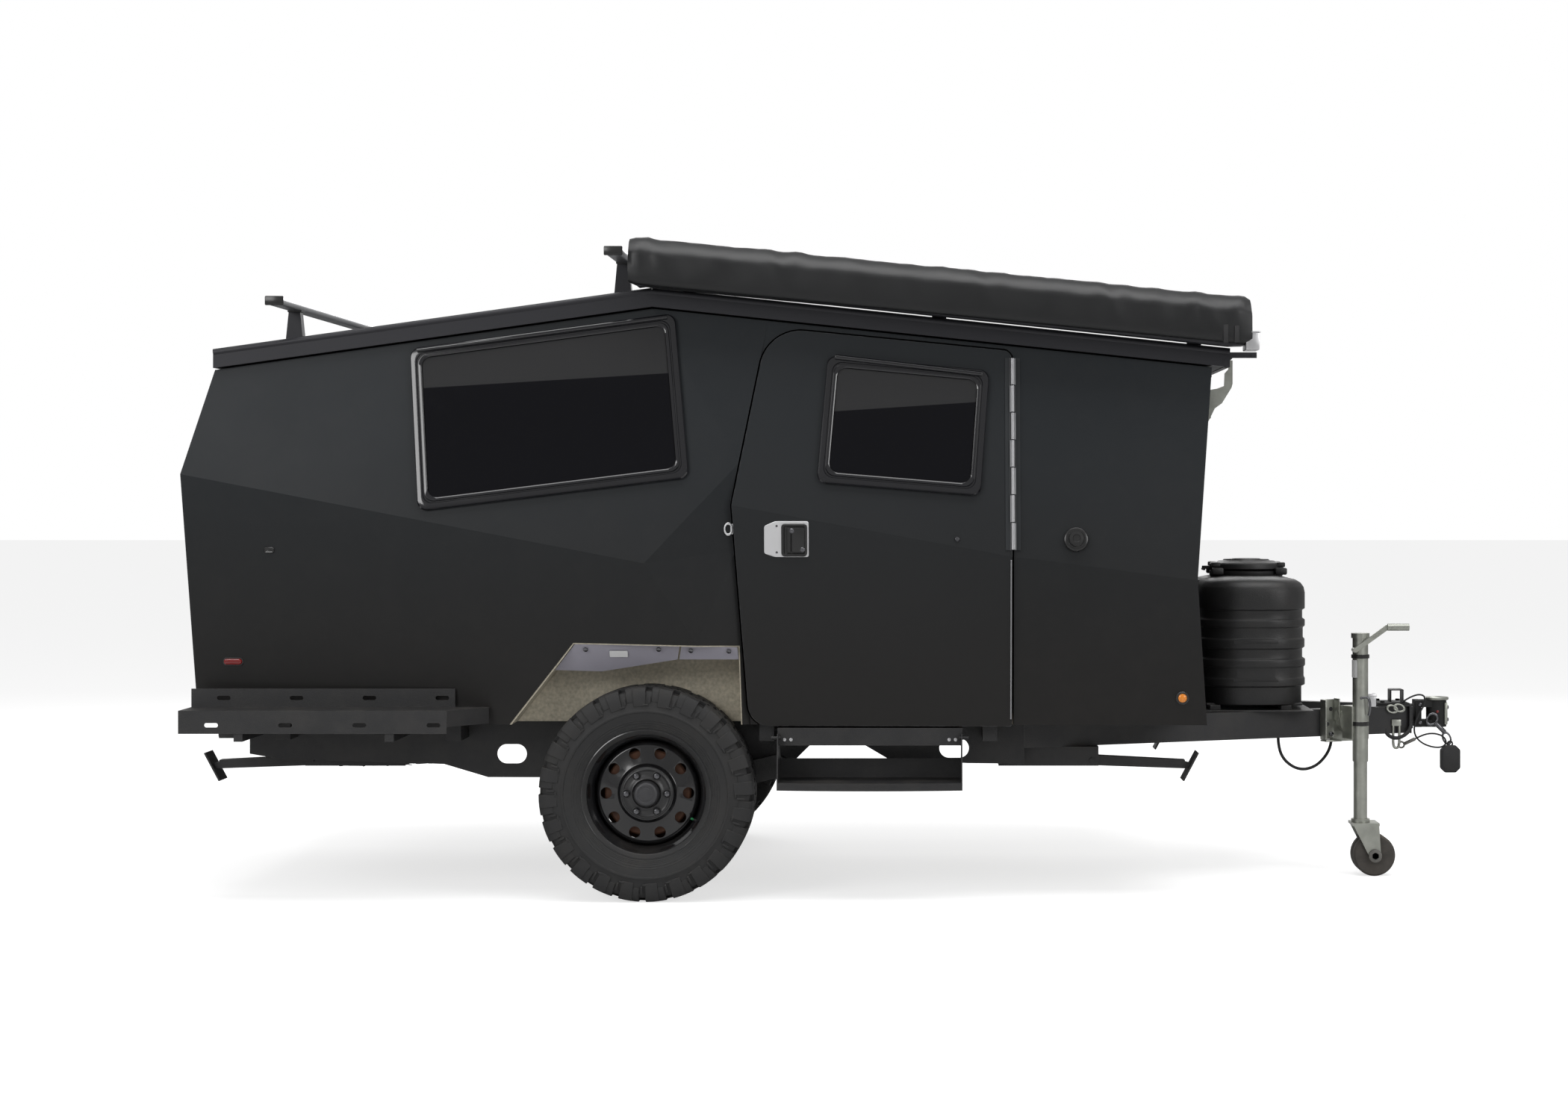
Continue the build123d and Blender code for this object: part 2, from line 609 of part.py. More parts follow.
def roof_lift():
    """Galvanized lift plates on the front wall, each a gooseneck round the roof's edge on a flange."""
    wall = nose_x(1753) + SEAT_GAP
    foot = nose_x(1612) + SEAT_GAP
    outline = [(foot, 1612), (foot + 12, 1640), (1960, 1690), (1985, 1708), (2018, 1762), (2022, 1776), (2022, 1857),
               (2008, 1858), (2007, 1826), (1994, 1812), (1992, 1768), (1968, 1759), (wall, 1753)]
    plate = slab(outline, (-LIFT_Y - LIFT_SHEET / 2, -LIFT_Y + LIFT_SHEET / 2))
    flange = slab([(foot, 1612), (foot + LIFT_SHEET, 1612), (wall + LIFT_SHEET, 1753), (wall, 1753)], (-LIFT_Y, -LIFT_Y + 34))
    bolts = [rod((nose_x(z) + 12, -LIFT_Y - 8, z), (nose_x(z) + 12, -LIFT_Y, z), 7) for z in (1740, 1660)]
    bolts.append(rod((2015, -LIFT_Y - 8, 1846), (2015, -LIFT_Y, 1846), 5))
    return both_sides(joined([plate, flange] + bolts))


def roof_stay():
    """Black stay bars that stand out from the roof's front edge beside the lift plates."""
    y_high = -LIFT_Y + LIFT_SHEET / 2 + MOVING_GAP + LIFT_SHEET
    front = ROOF_FRONT_X + SEAT_GAP
    outline = [(front, 1844), (front + 22, 1866), (front + 106, 1866), (front + 106, 1886), (front, 1886)]
    bar = slab(outline, (y_high - LIFT_SHEET, y_high))
    foot = block((front, front + 4), (y_high - LIFT_SHEET, y_high + 26), (1844, 1878))
    bolt = rod((front + 92, y_high - LIFT_SHEET - 3, 1876), (front + 92, y_high, 1876), 6)
    return both_sides(joined([bar, foot, bolt]))


def roof_skin(x):
    """Height of the roof panel's upper face at X."""
    return hull_top(x) + MOVING_GAP + ROOF_THICKNESS


def awning_bottom(x):
    """Height of the awning bag's underside at X."""
    share = (x - AWNING_REAR_X) / (AWNING_FRONT_X - AWNING_REAR_X)
    return AWNING_REAR_BOTTOM_Z + share * (AWNING_FRONT_BOTTOM_Z - AWNING_REAR_BOTTOM_Z)


AWNING_INNER_Y = AWNING_OUTER_Y - AWNING_DEPTH
BRACKET_SHEET = 5
BRACKET_WIDTH = 50


def awning_bracket(x):
    """Bent strip from the roof panel over the edge rail to the back of the bag."""
    low = roof_skin(x) + SEAT_GAP
    top = roof_top(x) + 12
    inner_y = -ROOF_HALF_WIDTH + 12
    outer_y = -AWNING_INNER_Y + SEAT_GAP
    profile = [(inner_y + 60, low), (inner_y, low), (inner_y, top), (outer_y, top),
               (outer_y, top + 70), (outer_y + BRACKET_SHEET, top + 70),
               (outer_y + BRACKET_SHEET, top + BRACKET_SHEET), (inner_y + BRACKET_SHEET, top + BRACKET_SHEET),
               (inner_y + BRACKET_SHEET, low + BRACKET_SHEET), (inner_y + 60, low + BRACKET_SHEET)]
    strip = section_run(profile, (x - BRACKET_WIDTH / 2, x + BRACKET_WIDTH / 2))
    lowest = roof_skin(x - BRACKET_WIDTH / 2) - roof_skin(x + BRACKET_WIDTH / 2)
    return Pos(0, 0, abs(lowest) / 2 + SEAT_GAP) * strip


def awning_bag():
    """Rolled awning in its bag, a soft body on the right edge of the roof."""
    xs = (AWNING_REAR_X, AWNING_FRONT_X)
    lower = [(x, awning_bottom(x)) for x in xs]
    upper = [(x, z + AWNING_HEIGHT) for x, z in reversed(lower)]
    bag = slab(lower + upper, (-AWNING_OUTER_Y, -AWNING_INNER_Y))
    long_edges = [e for e in bag.edges() if e.length > 1000]
    return fillet(long_edges, 34)


TENT_WALL = 8
TENT_INSET = 60
TENT_HEIGHT = 70


def tent_skirt():
    """Folded fabric that closes the gap under the open roof, a ring inside the hull's top."""
    xs = [REAR_TOP_X + TENT_INSET + 20, PEAK_X, NOSE_TOP_X - TENT_INSET]
    upper = [(x, hull_top(x) + MOVING_GAP - SEAT_GAP) for x in xs]
    lower = [(x, z - TENT_HEIGHT) for x, z in reversed(upper)]
    half_width = ROOF_HALF_WIDTH - TENT_INSET
    outer = slab(upper + lower, (-half_width, half_width))
    inset = [(xs[0] + TENT_WALL, 0), (xs[2] - TENT_WALL, 4000)]
    core = block((inset[0][0], inset[1][0]), (-half_width + TENT_WALL, half_width - TENT_WALL), (0, 4000))
    return outer - core


ROOF_HINGE_X = REAR_TOP_X - 24
ROOF_HINGE_Z = REAR_TOP_Z - 6
ROOF_KNUCKLE = 50


def roof_hinge(own):
    """Knuckles of the roof's hinge across the rear edge: 0 on the hull, 1 on the roof."""
    pieces = []
    for side in (-1, 1):
        for index in range(3):
            if index % 2 != own:
                continue
            y_low = side * 600 - 75 + index * ROOF_KNUCKLE + SEAT_GAP / 2
            y_range = (y_low, y_low + ROOF_KNUCKLE - SEAT_GAP)
            centre_y = sum(y_range) / 2
            pin = Pos(ROOF_HINGE_X, centre_y, ROOF_HINGE_Z) * Rot(90, 0, 0) * Cylinder(ROOF_HINGE_RADIUS, ROOF_KNUCKLE - SEAT_GAP)
            if own == 0:
                arm = block((ROOF_HINGE_X, REAR_TOP_X + 12), y_range, (ROOF_HINGE_Z - 9, ROOF_HINGE_Z - 1))
            else:
                arm = block((ROOF_HINGE_X - 4, ROOF_HINGE_X + 4), y_range, (ROOF_HINGE_Z, ROOF_HINGE_Z + 40))
                arm += block((ROOF_HINGE_X - 4, ROOF_REAR_X + 10), y_range, (ROOF_HINGE_Z + 26, ROOF_HINGE_Z + 40))
            pieces.append(pin + arm)
    return joined(pieces)


# Running gear, built for the right side about a wheel centre at Y = -TRACK / 2
WHEEL_CENTRE = (0, -TRACK / 2, TYRE_RADIUS)
LUG_COUNT = 24
LUG_HEIGHT = 11
TYRE_HALF = TYRE_WIDTH / 2


def tyre_profile():
    """Section of the tyre as (outward, radius) points, round the carcass and its air chamber."""
    base = TYRE_RADIUS - LUG_HEIGHT
    bead = RIM_SEAT_RADIUS + SEAT_GAP
    half = [(88, base), (108, base - 10), (TYRE_HALF, 300), (TYRE_HALF - 3, 270), (103, 234), (91, 224),
            (89, bead), (64, bead), (96, 262), (101, 300), (86, base - 16)]
    return half + [(-outward, radius) for outward, radius in reversed(half)]


def lug_ring(centre):
    """Blocks around both shoulders of the tread."""
    lugs = []
    step = 360 / LUG_COUNT
    base = TYRE_RADIUS - LUG_HEIGHT - 4
    for index in range(LUG_COUNT):
        for side in (-1, 1):
            angle = (index + (0.5 if side > 0 else 0)) * step
            reach = TYRE_HALF - (2 if index % 2 else 8)
            lug = Box(42, reach - 50, TYRE_RADIUS * math.cos(math.radians(3.3)) - base)
            radius = (TYRE_RADIUS * math.cos(math.radians(3.3)) + base) / 2
            lug = Pos(0, side * (reach + 50) / 2, radius) * lug
            lugs.append(Pos(*centre) * Rot(0, angle, 0) * lug)
    return lugs


def tyre(centre):
    carcass = turned(tyre_profile(), centre)
    centre_band = Pos(*centre) * Rot(90, 0, 0) * (Cylinder(TYRE_RADIUS - 2, 84) - Cylinder(TYRE_RADIUS - LUG_HEIGHT - 6, 84))
    return carcass + centre_band + lug_ring(centre)


def rim(centre):
    """Steel rim: rolled barrel and a pressed disc with vent and stud holes."""
    lip = RIM_LIP_RADIUS
    seat = RIM_SEAT_RADIUS
    half = RIM_HALF_WIDTH
    outer = [(-half, lip), (-half + 5, lip), (-half + 8, seat), (-60, seat), (-48, 186), (22, 186),
             (42, seat), (half - 8, seat), (half - 5, lip), (half, lip)]
    inner = [(half, lip - 6), (half - 4, seat - 6), (46, seat - 6), (26, 180), (-52, 180),
             (-64, seat - 6), (-half + 4, seat - 6), (-half, lip - 6)]
    barrel = turned(outer + inner, centre)
    face_out = [(12, 181), (30, 174), (44, 165), (44, 104), (62, 92), (62, 42)]
    face_in = [(57, 42), (57, 88), (39, 100), (39, 163), (26, 171), (7, 181)]
    disc = turned(face_out + face_in, centre)
    body = barrel + disc
    holes = []
    for index in range(VENT_COUNT):
        angle = 360 / VENT_COUNT * (index + 0.5)
        holes.append((angle, VENT_CIRCLE_RADIUS, VENT_RADIUS))
    for index in range(STUD_COUNT):
        holes.append((360 / STUD_COUNT * index + 30, STUD_CIRCLE / 2, STUD_RADIUS + 1))
    for angle, distance, radius in holes:
        drill = Pos(0, -45, distance) * Rot(90, 0, 0) * Cylinder(radius, 90)
        body = body - Pos(*centre) * Rot(0, angle, 0) * drill
    return body


AXLE_REACH = 30


def hub(centre):
    """Brake drum, mounting flange, studs with nuts and the centre cap."""
    drum = turned([(-34, 0), (-34, DRUM_RADIUS), (30, DRUM_RADIUS), (34, 80), (56.7, 80), (56.7, 38),
                   (98, HUB_CAP_RADIUS), (104, 30), (104, 0)], centre)
    for index in range(STUD_COUNT):
        stud = Pos(0, -62, STUD_CIRCLE / 2) * Rot(90, 0, 0) * Cylinder(STUD_RADIUS, 40)
        nut = Pos(0, -72.3, STUD_CIRCLE / 2) * Rot(90, 0, 0) * extrude(RegularPolygon(NUT_RADIUS, 6), amount=10, both=True)
        drum = drum + Pos(*centre) * Rot(0, 360 / STUD_COUNT * index + 30, 0) * (stud + nut)
    bore = Pos(0, -AXLE_REACH / 2 + 25, 0) * Rot(90, 0, 0) * Cylinder(AXLE_RADIUS + RUNNING_GAP, 110)
    return drum - Pos(*centre) * bore


ARM_Y = (-WEB_Y - 57, -WEB_Y - 12)
ARM_PIVOT = (430, 440)
SPRING_X = 175
SPRING_SEAT_Z = 442
SPRING_TOP_Z = 560
SPRING_RADIUS = 31


def suspension_arms():
    """Trailing arm from its pivot on the rail to the stub axle."""
    boss = block((ARM_PIVOT[0] - 40, ARM_PIVOT[0] + 40), ARM_Y, (ARM_PIVOT[1] - 40, ARM_PIVOT[1] + 40))
    outline = [(-62, TYRE_RADIUS - 55), (62, TYRE_RADIUS - 62), (ARM_PIVOT[0], ARM_PIVOT[1] - 40),
               (ARM_PIVOT[0], ARM_PIVOT[1] + 40), (70, TYRE_RADIUS + 34), (-45, TYRE_RADIUS + 45)]
    arm = slab(outline, ARM_Y) + fillet(boss.edges().filter_by(Axis.Y), 38)
    stub_outer = -TRACK / 2 - 26
    stub = rod((0, ARM_Y[1], TYRE_RADIUS), (0, stub_outer, TYRE_RADIUS), AXLE_RADIUS)
    plate = rod((0, ARM_Y[0] - 90, TYRE_RADIUS), (0, ARM_Y[0], TYRE_RADIUS), 46)
    pad = block((SPRING_X - 48, SPRING_X + 48), ARM_Y, (TYRE_RADIUS, SPRING_SEAT_Z))
    pivot_pin = rod((ARM_PIVOT[0], ARM_Y[1], ARM_PIVOT[1]), (ARM_PIVOT[0], -WEB_Y - SEAT_GAP, ARM_PIVOT[1]), 20)
    return both_sides(arm + pad + stub + plate + pivot_pin)


def rubber_springs():
    """Hourglass rubber spring between each arm and the bracket under the rail."""
    seat_z = SPRING_SEAT_Z + SEAT_GAP
    height = SPRING_TOP_Z - SEAT_GAP - seat_z
    waist = [(0, 0), (SPRING_RADIUS - 5, 0), (SPRING_RADIUS, height * 0.2), (SPRING_RADIUS - 9, height * 0.5),
             (SPRING_RADIUS, height * 0.8), (SPRING_RADIUS - 5, height), (0, height)]
    face = Plane.XZ * make_face(Polyline(*waist, close=True))
    spring = revolve(face, axis=Axis.Z)
    return both_sides(Pos(SPRING_X, (ARM_Y[0] + ARM_Y[1]) / 2, seat_z) * spring)


def spare_carrier():
    """Bar across the well, with the rod and plate that hold the spare wheel up."""
    bar_low = HULL_BOTTOM + FLOOR_THICKNESS + SEAT_GAP
    bar = block((SPARE_X - 25, SPARE_X + 25), (-SPARE_WELL_RADIUS - 40, SPARE_WELL_RADIUS + 40), (bar_low, bar_low + 14))
    face_z = SPARE_BOTTOM + TYRE_HALF - 62 - SEAT_GAP
    shaft = rod((SPARE_X, 0, face_z - 22), (SPARE_X, 0, bar_low + 8), 10)
    plate = rod((SPARE_X, 0, face_z - 8), (SPARE_X, 0, face_z), 60)
    return bar + shaft + plate


# Main rails: folded channels whose web shows below the hull (X, Z), rear to front
FRAME_TOP = HULL_BOTTOM - SEAT_GAP
RAIL_FRONT_X = TONGUE_START_X - SEAT_GAP
RAIL_REAR_X = -1530
WEB_OUTLINE = [(RAIL_REAR_X, FRAME_TOP), (RAIL_REAR_X, 540), (-1420, 540), (-1420, 480), (-1317, 463), (-737, 444), (-583, 398), (430, 395),
               (560, 523), (718, 523), (820, 463), (1101, 447), (RAIL_FRONT_X, 445), (RAIL_FRONT_X, FRAME_TOP)]
WEB_HOLES = [(-499, 480), (1053, 500), (150, 470)]
WEB_HOLE_SIZE = (104, 68)


def main_rails():
    web = slab(WEB_OUTLINE, (-WEB_Y, -WEB_Y + WEB_THICKNESS))
    for x, z in WEB_HOLES:
        hole = Plane.XZ * SlotOverall(*WEB_HOLE_SIZE)
        web = web - Pos(x, -WEB_Y - 20, z) * extrude(hole, amount=60, dir=(0, 1, 0))
    top = block((RAIL_REAR_X, RAIL_FRONT_X), (-WEB_Y, -WEB_Y + FLANGE_WIDTH), (FRAME_TOP - WEB_THICKNESS, FRAME_TOP))
    return both_sides(web + top)


MEMBER_XS = [RAIL_REAR_X, -700, -330, 330, 850]
FRONT_MEMBER_XS = [1420, 1860]
MEMBER_LOW = 540
OUTRIGGERS = [(-1300, 820), (-700, 870), (380, 870), (1150, 870)]


def cross_members():
    """Square tubes across the chassis, the outriggers that carry the hull and spring brackets."""
    top = FRAME_TOP - WEB_THICKNESS - SEAT_GAP
    pieces = []
    for x in MEMBER_XS:
        half = WEB_Y - WEB_THICKNESS - SEAT_GAP
        pieces.append(block((x, x + MEMBER_WIDTH), (-half, half), (top - MEMBER_HEIGHT, top)))
    for x in FRONT_MEMBER_XS:
        half = tongue_y(x + MEMBER_WIDTH) - TONGUE_RAIL_WIDTH / 2 - SEAT_GAP
        pieces.append(block((x, x + MEMBER_WIDTH), (-half, half), (FRAME_TOP - MEMBER_HEIGHT, FRAME_TOP)))
    for x, reach in OUTRIGGERS:
        arm = block((x, x + MEMBER_WIDTH), (-reach, -WEB_Y - SEAT_GAP), (MEMBER_LOW, FRAME_TOP))
        pieces += both_sides(arm)
    y_low, y_high = ARM_Y
    cap = block((SPRING_X - 60, SPRING_X + 60), (y_low, -WEB_Y - SEAT_GAP), (SPRING_TOP_Z, SPRING_TOP_Z + 12))
    pieces += both_sides(cap)
    return pieces


def tongue_y(x):
    """Half distance between the tongue rails' centre lines at X."""
    share = (x - TONGUE_START_X) / (TONGUE_END_X - TONGUE_START_X)
    return TONGUE_START_Y + share * (TONGUE_END_Y - TONGUE_START_Y)


TONGUE_TOP = FRAME_TOP
TONGUE_BOTTOM = TONGUE_TOP - TONGUE_RAIL_HEIGHT


def tongue_rails():
    """Two rails that meet at the nose, with the nose plate that carries the coupler."""
    half = TONGUE_RAIL_WIDTH / 2
    points = [(TONGUE_START_X, -TONGUE_START_Y - half), (TONGUE_END_X, -TONGUE_END_Y - half),
              (TONGUE_END_X, -TONGUE_END_Y + half), (TONGUE_START_X, -TONGUE_START_Y + half)]
    face = Face(Wire.make_polygon([(x, y, TONGUE_BOTTOM) for x, y in points], close=True))
    rail = extrude(face, amount=TONGUE_RAIL_HEIGHT, dir=(0, 0, 1))
    rail = rail - block((1000, 3000), (-TONGUE_END_Y + half - 14, 10), (0, 1000))
    nose = block((2630, TONGUE_END_X + 8), (-80, 80), (TONGUE_TOP, TONGUE_TOP + 8))
    end = block((TONGUE_END_X, TONGUE_END_X + 8), (-80, 80), (TONGUE_BOTTOM, TONGUE_TOP))
    web = block((2630, TONGUE_END_X), (-TONGUE_END_Y + half - 15, TONGUE_END_Y - half + 15), (TONGUE_BOTTOM, TONGUE_BOTTOM + 8))
    return joined([rail, to_left(rail), nose, end, web] + hose_glands())


def coupler_mount():
    """Round shaft housing on the nose plate."""
    flange = block((TONGUE_END_X + 8 + SEAT_GAP, TONGUE_END_X + 16), (-62, 62), (COUPLER_Z - 55, COUPLER_Z + 25))
    shaft = rod((TONGUE_END_X + 10, 0, COUPLER_Z), (TONGUE_END_X + 46, 0, COUPLER_Z), 20)
    return flange + shaft


def coupler_head():
    """Cast yoke that rolls on the shaft: neck and back plate, two arms and the upright hitch socket."""
    low = COUPLER_Z - COUPLER_BELOW
    high = COUPLER_Z + COUPLER_ABOVE
    neck = rod((TONGUE_END_X + 17, 0, COUPLER_Z), (COUPLER_BACK_X + 20, 0, COUPLER_Z), 34)
    post = rod((COUPLER_X, 0, low), (COUPLER_X, 0, high), COUPLER_RADIUS)
    back = block((COUPLER_BACK_X, COUPLER_BACK_X + 22), (-40, 40), (low, high))
    head = neck + post + back
    for z_range in ((low, low + COUPLER_ARM), (high - COUPLER_ARM, high)):
        head += block((COUPLER_BACK_X + 10, COUPLER_X), (-32, 32), z_range)
    cap = rod((COUPLER_X, 0, high), (COUPLER_X, 0, high + 10), COUPLER_RADIUS - 8)
    socket = rod((TONGUE_END_X, 0, COUPLER_Z), (TONGUE_END_X + 48, 0, COUPLER_Z), 20 + RUNNING_GAP)
    bore = rod((COUPLER_X, 0, low - 1), (COUPLER_X, 0, low + COUPLER_BORE_DEPTH), COUPLER_BORE_RADIUS)
    return head + cap - socket - bore


TONGUE_ANGLE = math.degrees(math.atan2(TONGUE_START_Y - TONGUE_END_Y, TONGUE_END_X - TONGUE_START_X))


def on_rail(along, outward, height):
    """Place beside the right tongue rail: along it, out from its outer face, and up."""
    angle = math.radians(TONGUE_ANGLE)
    direction = Vector(math.cos(angle), math.sin(angle), 0)
    normal = Vector(math.sin(angle), -math.cos(angle), 0)
    start = Vector(TONGUE_START_X, -TONGUE_START_Y, 0)
    return start + direction * along + normal * (outward + TONGUE_RAIL_WIDTH / 2 * math.cos(angle)) + Vector(0, 0, height)


def on_rail_box(along_range, outward_range, z_range):
    """Box beside the right tongue rail, square to it."""
    centre = on_rail(sum(along_range) / 2, sum(outward_range) / 2, sum(z_range) / 2)
    size = (along_range[1] - along_range[0], outward_range[1] - outward_range[0], z_range[1] - z_range[0])
    return Pos(centre.X, centre.Y, centre.Z) * Rot(0, 0, TONGUE_ANGLE) * Box(*size)


BRACKET_FACE = 40


def jack_bracket():
    """Plate on the rail's outer face with the swivel's round boss."""
    along = JACK_ALONG_RAIL
    plate = on_rail_box((along - 50, along + 50), (SEAT_GAP, 8), (TONGUE_BOTTOM - 20, TONGUE_TOP + 12))
    boss = rod(on_rail(along, 4, JACK_PIVOT_Z), on_rail(along, BRACKET_FACE, JACK_PIVOT_Z), 36)
    pivot = rod(on_rail(along, 4, JACK_PIVOT_Z), on_rail(along, BRACKET_FACE + 14, JACK_PIVOT_Z), 16)
    return plate + boss + pivot


def jack_centre():
    """Plan position of the jack's tube."""
    return on_rail(JACK_ALONG_RAIL, JACK_OFFSET, 0)


def jack_tube():
    """Outer tube with its swivel collar, cap and folding crank."""
    centre = jack_centre()
    along = JACK_ALONG_RAIL
    tube = rod((centre.X, centre.Y, JACK_TUBE_BOTTOM), (centre.X, centre.Y, JACK_TUBE_TOP), JACK_TUBE_RADIUS)
    collar = rod(on_rail(along, BRACKET_FACE + SEAT_GAP, JACK_PIVOT_Z), on_rail(along, BRACKET_FACE + 16, JACK_PIVOT_Z), 46)
    block_out = on_rail_box((along - 36, along + 36), (BRACKET_FACE + 14, JACK_OFFSET), (JACK_PIVOT_Z - 60, JACK_PIVOT_Z + 60))
    crank_y = centre.Y - JACK_TUBE_RADIUS - 8
    boss = rod((centre.X - 24, crank_y - 6, CRANK_PIVOT_Z), (centre.X - 24, centre.Y, CRANK_PIVOT_Z), 9)
    body = tube + collar + block_out + boss
    body -= rod((centre.X, centre.Y, 0), (centre.X, centre.Y, JACK_TUBE_TOP - 12), JACK_LEG_RADIUS + SEAT_GAP)
    body -= rod(on_rail(along, 0, JACK_PIVOT_Z), on_rail(along, BRACKET_FACE + 15, JACK_PIVOT_Z), 16 + RUNNING_GAP)
    cap = rod((centre.X, centre.Y, JACK_TUBE_TOP), (centre.X, centre.Y, JACK_TUBE_TOP + 18), JACK_TUBE_RADIUS + 5)
    low = (centre.X - 24, CRANK_PIVOT_Z)
    high = (centre.X + 96, CRANK_PIVOT_Z + 84)
    arm = slab([(low[0] - 10, low[1] + 2), (low[0] + 2, low[1] - 10), (high[0] + 4, high[1] - 6), (high[0] + 4, high[1] + 8),
                (high[0] - 8, high[1] + 8)], (crank_y - CRANK_SHEET / 2, crank_y + CRANK_SHEET / 2))
    grip = rod((high[0] - 2, crank_y, high[1]), (high[0] + 76, crank_y, high[1]), 13)
    return body + cap + arm + grip


LEG_FOOT_Z = 200
FORK_TOP_Z = LEG_FOOT_Z - 8


def jack_leg():
    """Inner tube with the plate that the caster turns under."""
    centre = jack_centre()
    leg = rod((centre.X, centre.Y, LEG_FOOT_Z), (centre.X, centre.Y, 650), JACK_LEG_RADIUS)
    plate = rod((centre.X, centre.Y, LEG_FOOT_Z - 6), (centre.X, centre.Y, LEG_FOOT_Z + 6), 34)
    stem = rod((centre.X, centre.Y, LEG_FOOT_Z - 22), (centre.X, centre.Y, LEG_FOOT_Z), 12)
    return leg + plate + stem


CASTER_AXLE_RADIUS = 9
FORK_HALF = CASTER_WHEEL_WIDTH + 9


def jack_fork():
    """Caster fork: top plate and two cheeks down to the axle."""
    centre = jack_centre()
    x = centre.X
    y = centre.Y
    top_z = LEG_FOOT_Z - 6 - SEAT_GAP
    crown = block((x - 36, x + 62), (y - FORK_HALF - 6, y + FORK_HALF + 6), (top_z - 10, top_z))
    fork = crown
    axle_x = x + CASTER_TRAIL
    for side in (-1, 1):
        outline = [(x - 34, top_z - 5), (x + 60, top_z - 5), (axle_x + 22, CASTER_RADIUS), (axle_x, CASTER_RADIUS - 22),
                   (axle_x - 22, CASTER_RADIUS)]
        fork += slab(outline, sorted((y + side * FORK_HALF, y + side * (FORK_HALF + 6))))
    fork -= rod((x, y, 0), (x, y, 1000), 12 + RUNNING_GAP)
    return fork - rod((axle_x, y - 80, CASTER_RADIUS), (axle_x, y + 80, CASTER_RADIUS), CASTER_AXLE_RADIUS + RUNNING_GAP)


def jack_wheels():
    """Two solid wheels on one axle bolt."""
    centre = jack_centre()
    x = centre.X + CASTER_TRAIL
    y = centre.Y
    wheels = rod((x, y - FORK_HALF - 16, CASTER_RADIUS), (x, y + FORK_HALF + 16, CASTER_RADIUS), CASTER_AXLE_RADIUS)
    for side in (-1, 1):
        near = y + side * 4
        far = y + side * (4 + CASTER_WHEEL_WIDTH)
        wheel = rod((x, near, CASTER_RADIUS), (x, far, CASTER_RADIUS), CASTER_RADIUS)
        wheel = chamfer(wheel.edges(), 7)
        wheels += wheel
        wheels += rod((x, y + side * (FORK_HALF + 7), CASTER_RADIUS), (x, y + side * (FORK_HALF + 16), CASTER_RADIUS), 15)
    spacer = rod((x, y - FORK_HALF + 1, CASTER_RADIUS), (x, y + FORK_HALF - 1, CASTER_RADIUS), 16)
    return wheels + spacer


# Stabilizer legs: name, pivot X, direction they point when folded (1 forward), pivot Z
LEG_LENGTH = 330
LEG_WIDTH = 46
LEG_Y = WEB_Y - 90
STABILIZERS = {
    "stabilizer_leg_front_right": (1540, 1, -1),
    "stabilizer_leg_front_left": (1540, 1, 1),
    "stabilizer_leg_rear_right": (-1215, -1, -1),
    "stabilizer_leg_rear_left": (-1215, -1, 1),
}
LEG_PIVOT_Z = 452
LEG_PIN_RADIUS = 8
MOUNT_LENGTH = 330
REAR_MOUNT_TOP = 520
REAR_MOUNT_ARMS = (60, 240)
LEG_SHEET = 4


def stabilizer_mounts():
    """Channels under the chassis, open downward, each with the pin its leg turns on."""
    mounts = []
    for pivot_x, ahead, side in STABILIZERS.values():
        y = side * LEG_Y
        half = LEG_WIDTH / 2 + 6
        xs = sorted((pivot_x - ahead * MOUNT_LENGTH, pivot_x + ahead * 24))
        top = TONGUE_BOTTOM - SEAT_GAP if ahead > 0 else REAR_MOUNT_TOP
        mount = block(xs, (y - half, y + half), (LEG_PIVOT_Z - 20, top))
        mount -= block((xs[0] - 1, xs[1] + 1), (y - half + LEG_SHEET, y + half - LEG_SHEET), (0, top - LEG_SHEET))
        mount += rod((pivot_x, y - half - 8, LEG_PIVOT_Z), (pivot_x, y + half + 8, LEG_PIVOT_Z), LEG_PIN_RADIUS)
        if ahead < 0:
            reach = sorted((side * (LEG_Y + half - 2), side * (WEB_Y - WEB_THICKNESS - SEAT_GAP)))
            for start in REAR_MOUNT_ARMS:
                mount += block((pivot_x + start, pivot_x + start + 50), reach, (top - 26, top))
        mounts.append(mount)
    return mounts


def stabilizer_leg(pivot_x, ahead, side):
    """Channel leg with a tilted foot plate, folded up under the hull."""
    y = side * LEG_Y
    half = LEG_WIDTH / 2
    tip_x = pivot_x + ahead * LEG_LENGTH
    tip_z = LEG_PIVOT_Z - 18
    outline = [(pivot_x - ahead * 18, LEG_PIVOT_Z - 18), (pivot_x - ahead * 18, LEG_PIVOT_Z + 18),
               (tip_x, tip_z + 18), (tip_x, tip_z - 12)]
    leg = slab(outline, (y - half, y + half))
    inner = [(pivot_x + ahead * 40, LEG_PIVOT_Z - 30), (pivot_x + ahead * 40, LEG_PIVOT_Z + 12),
             (tip_x + ahead, tip_z + 14), (tip_x + ahead, tip_z - 40)]
    leg -= slab(inner, (y - half + LEG_SHEET, y + half - LEG_SHEET))
    foot = Pos(tip_x + ahead * 18, y, tip_z - 4) * Rot(0, ahead * -62, 0) * Box(112, 104, 6)
    knuckle = rod((tip_x - ahead * 8, y - half, tip_z), (tip_x - ahead * 8, y + half, tip_z), 12)
    tab = slab([(tip_x - ahead * 12, tip_z - 12), (tip_x - ahead * 12, tip_z + 14), (tip_x + ahead * 20, tip_z + 6),
                (tip_x + ahead * 20, tip_z - 10)], (y - half, y + half))
    leg = leg + foot + knuckle + tab
    return leg - rod((pivot_x, y - 100, LEG_PIVOT_Z), (pivot_x, y + 100, LEG_PIVOT_Z), LEG_PIN_RADIUS + RUNNING_GAP)


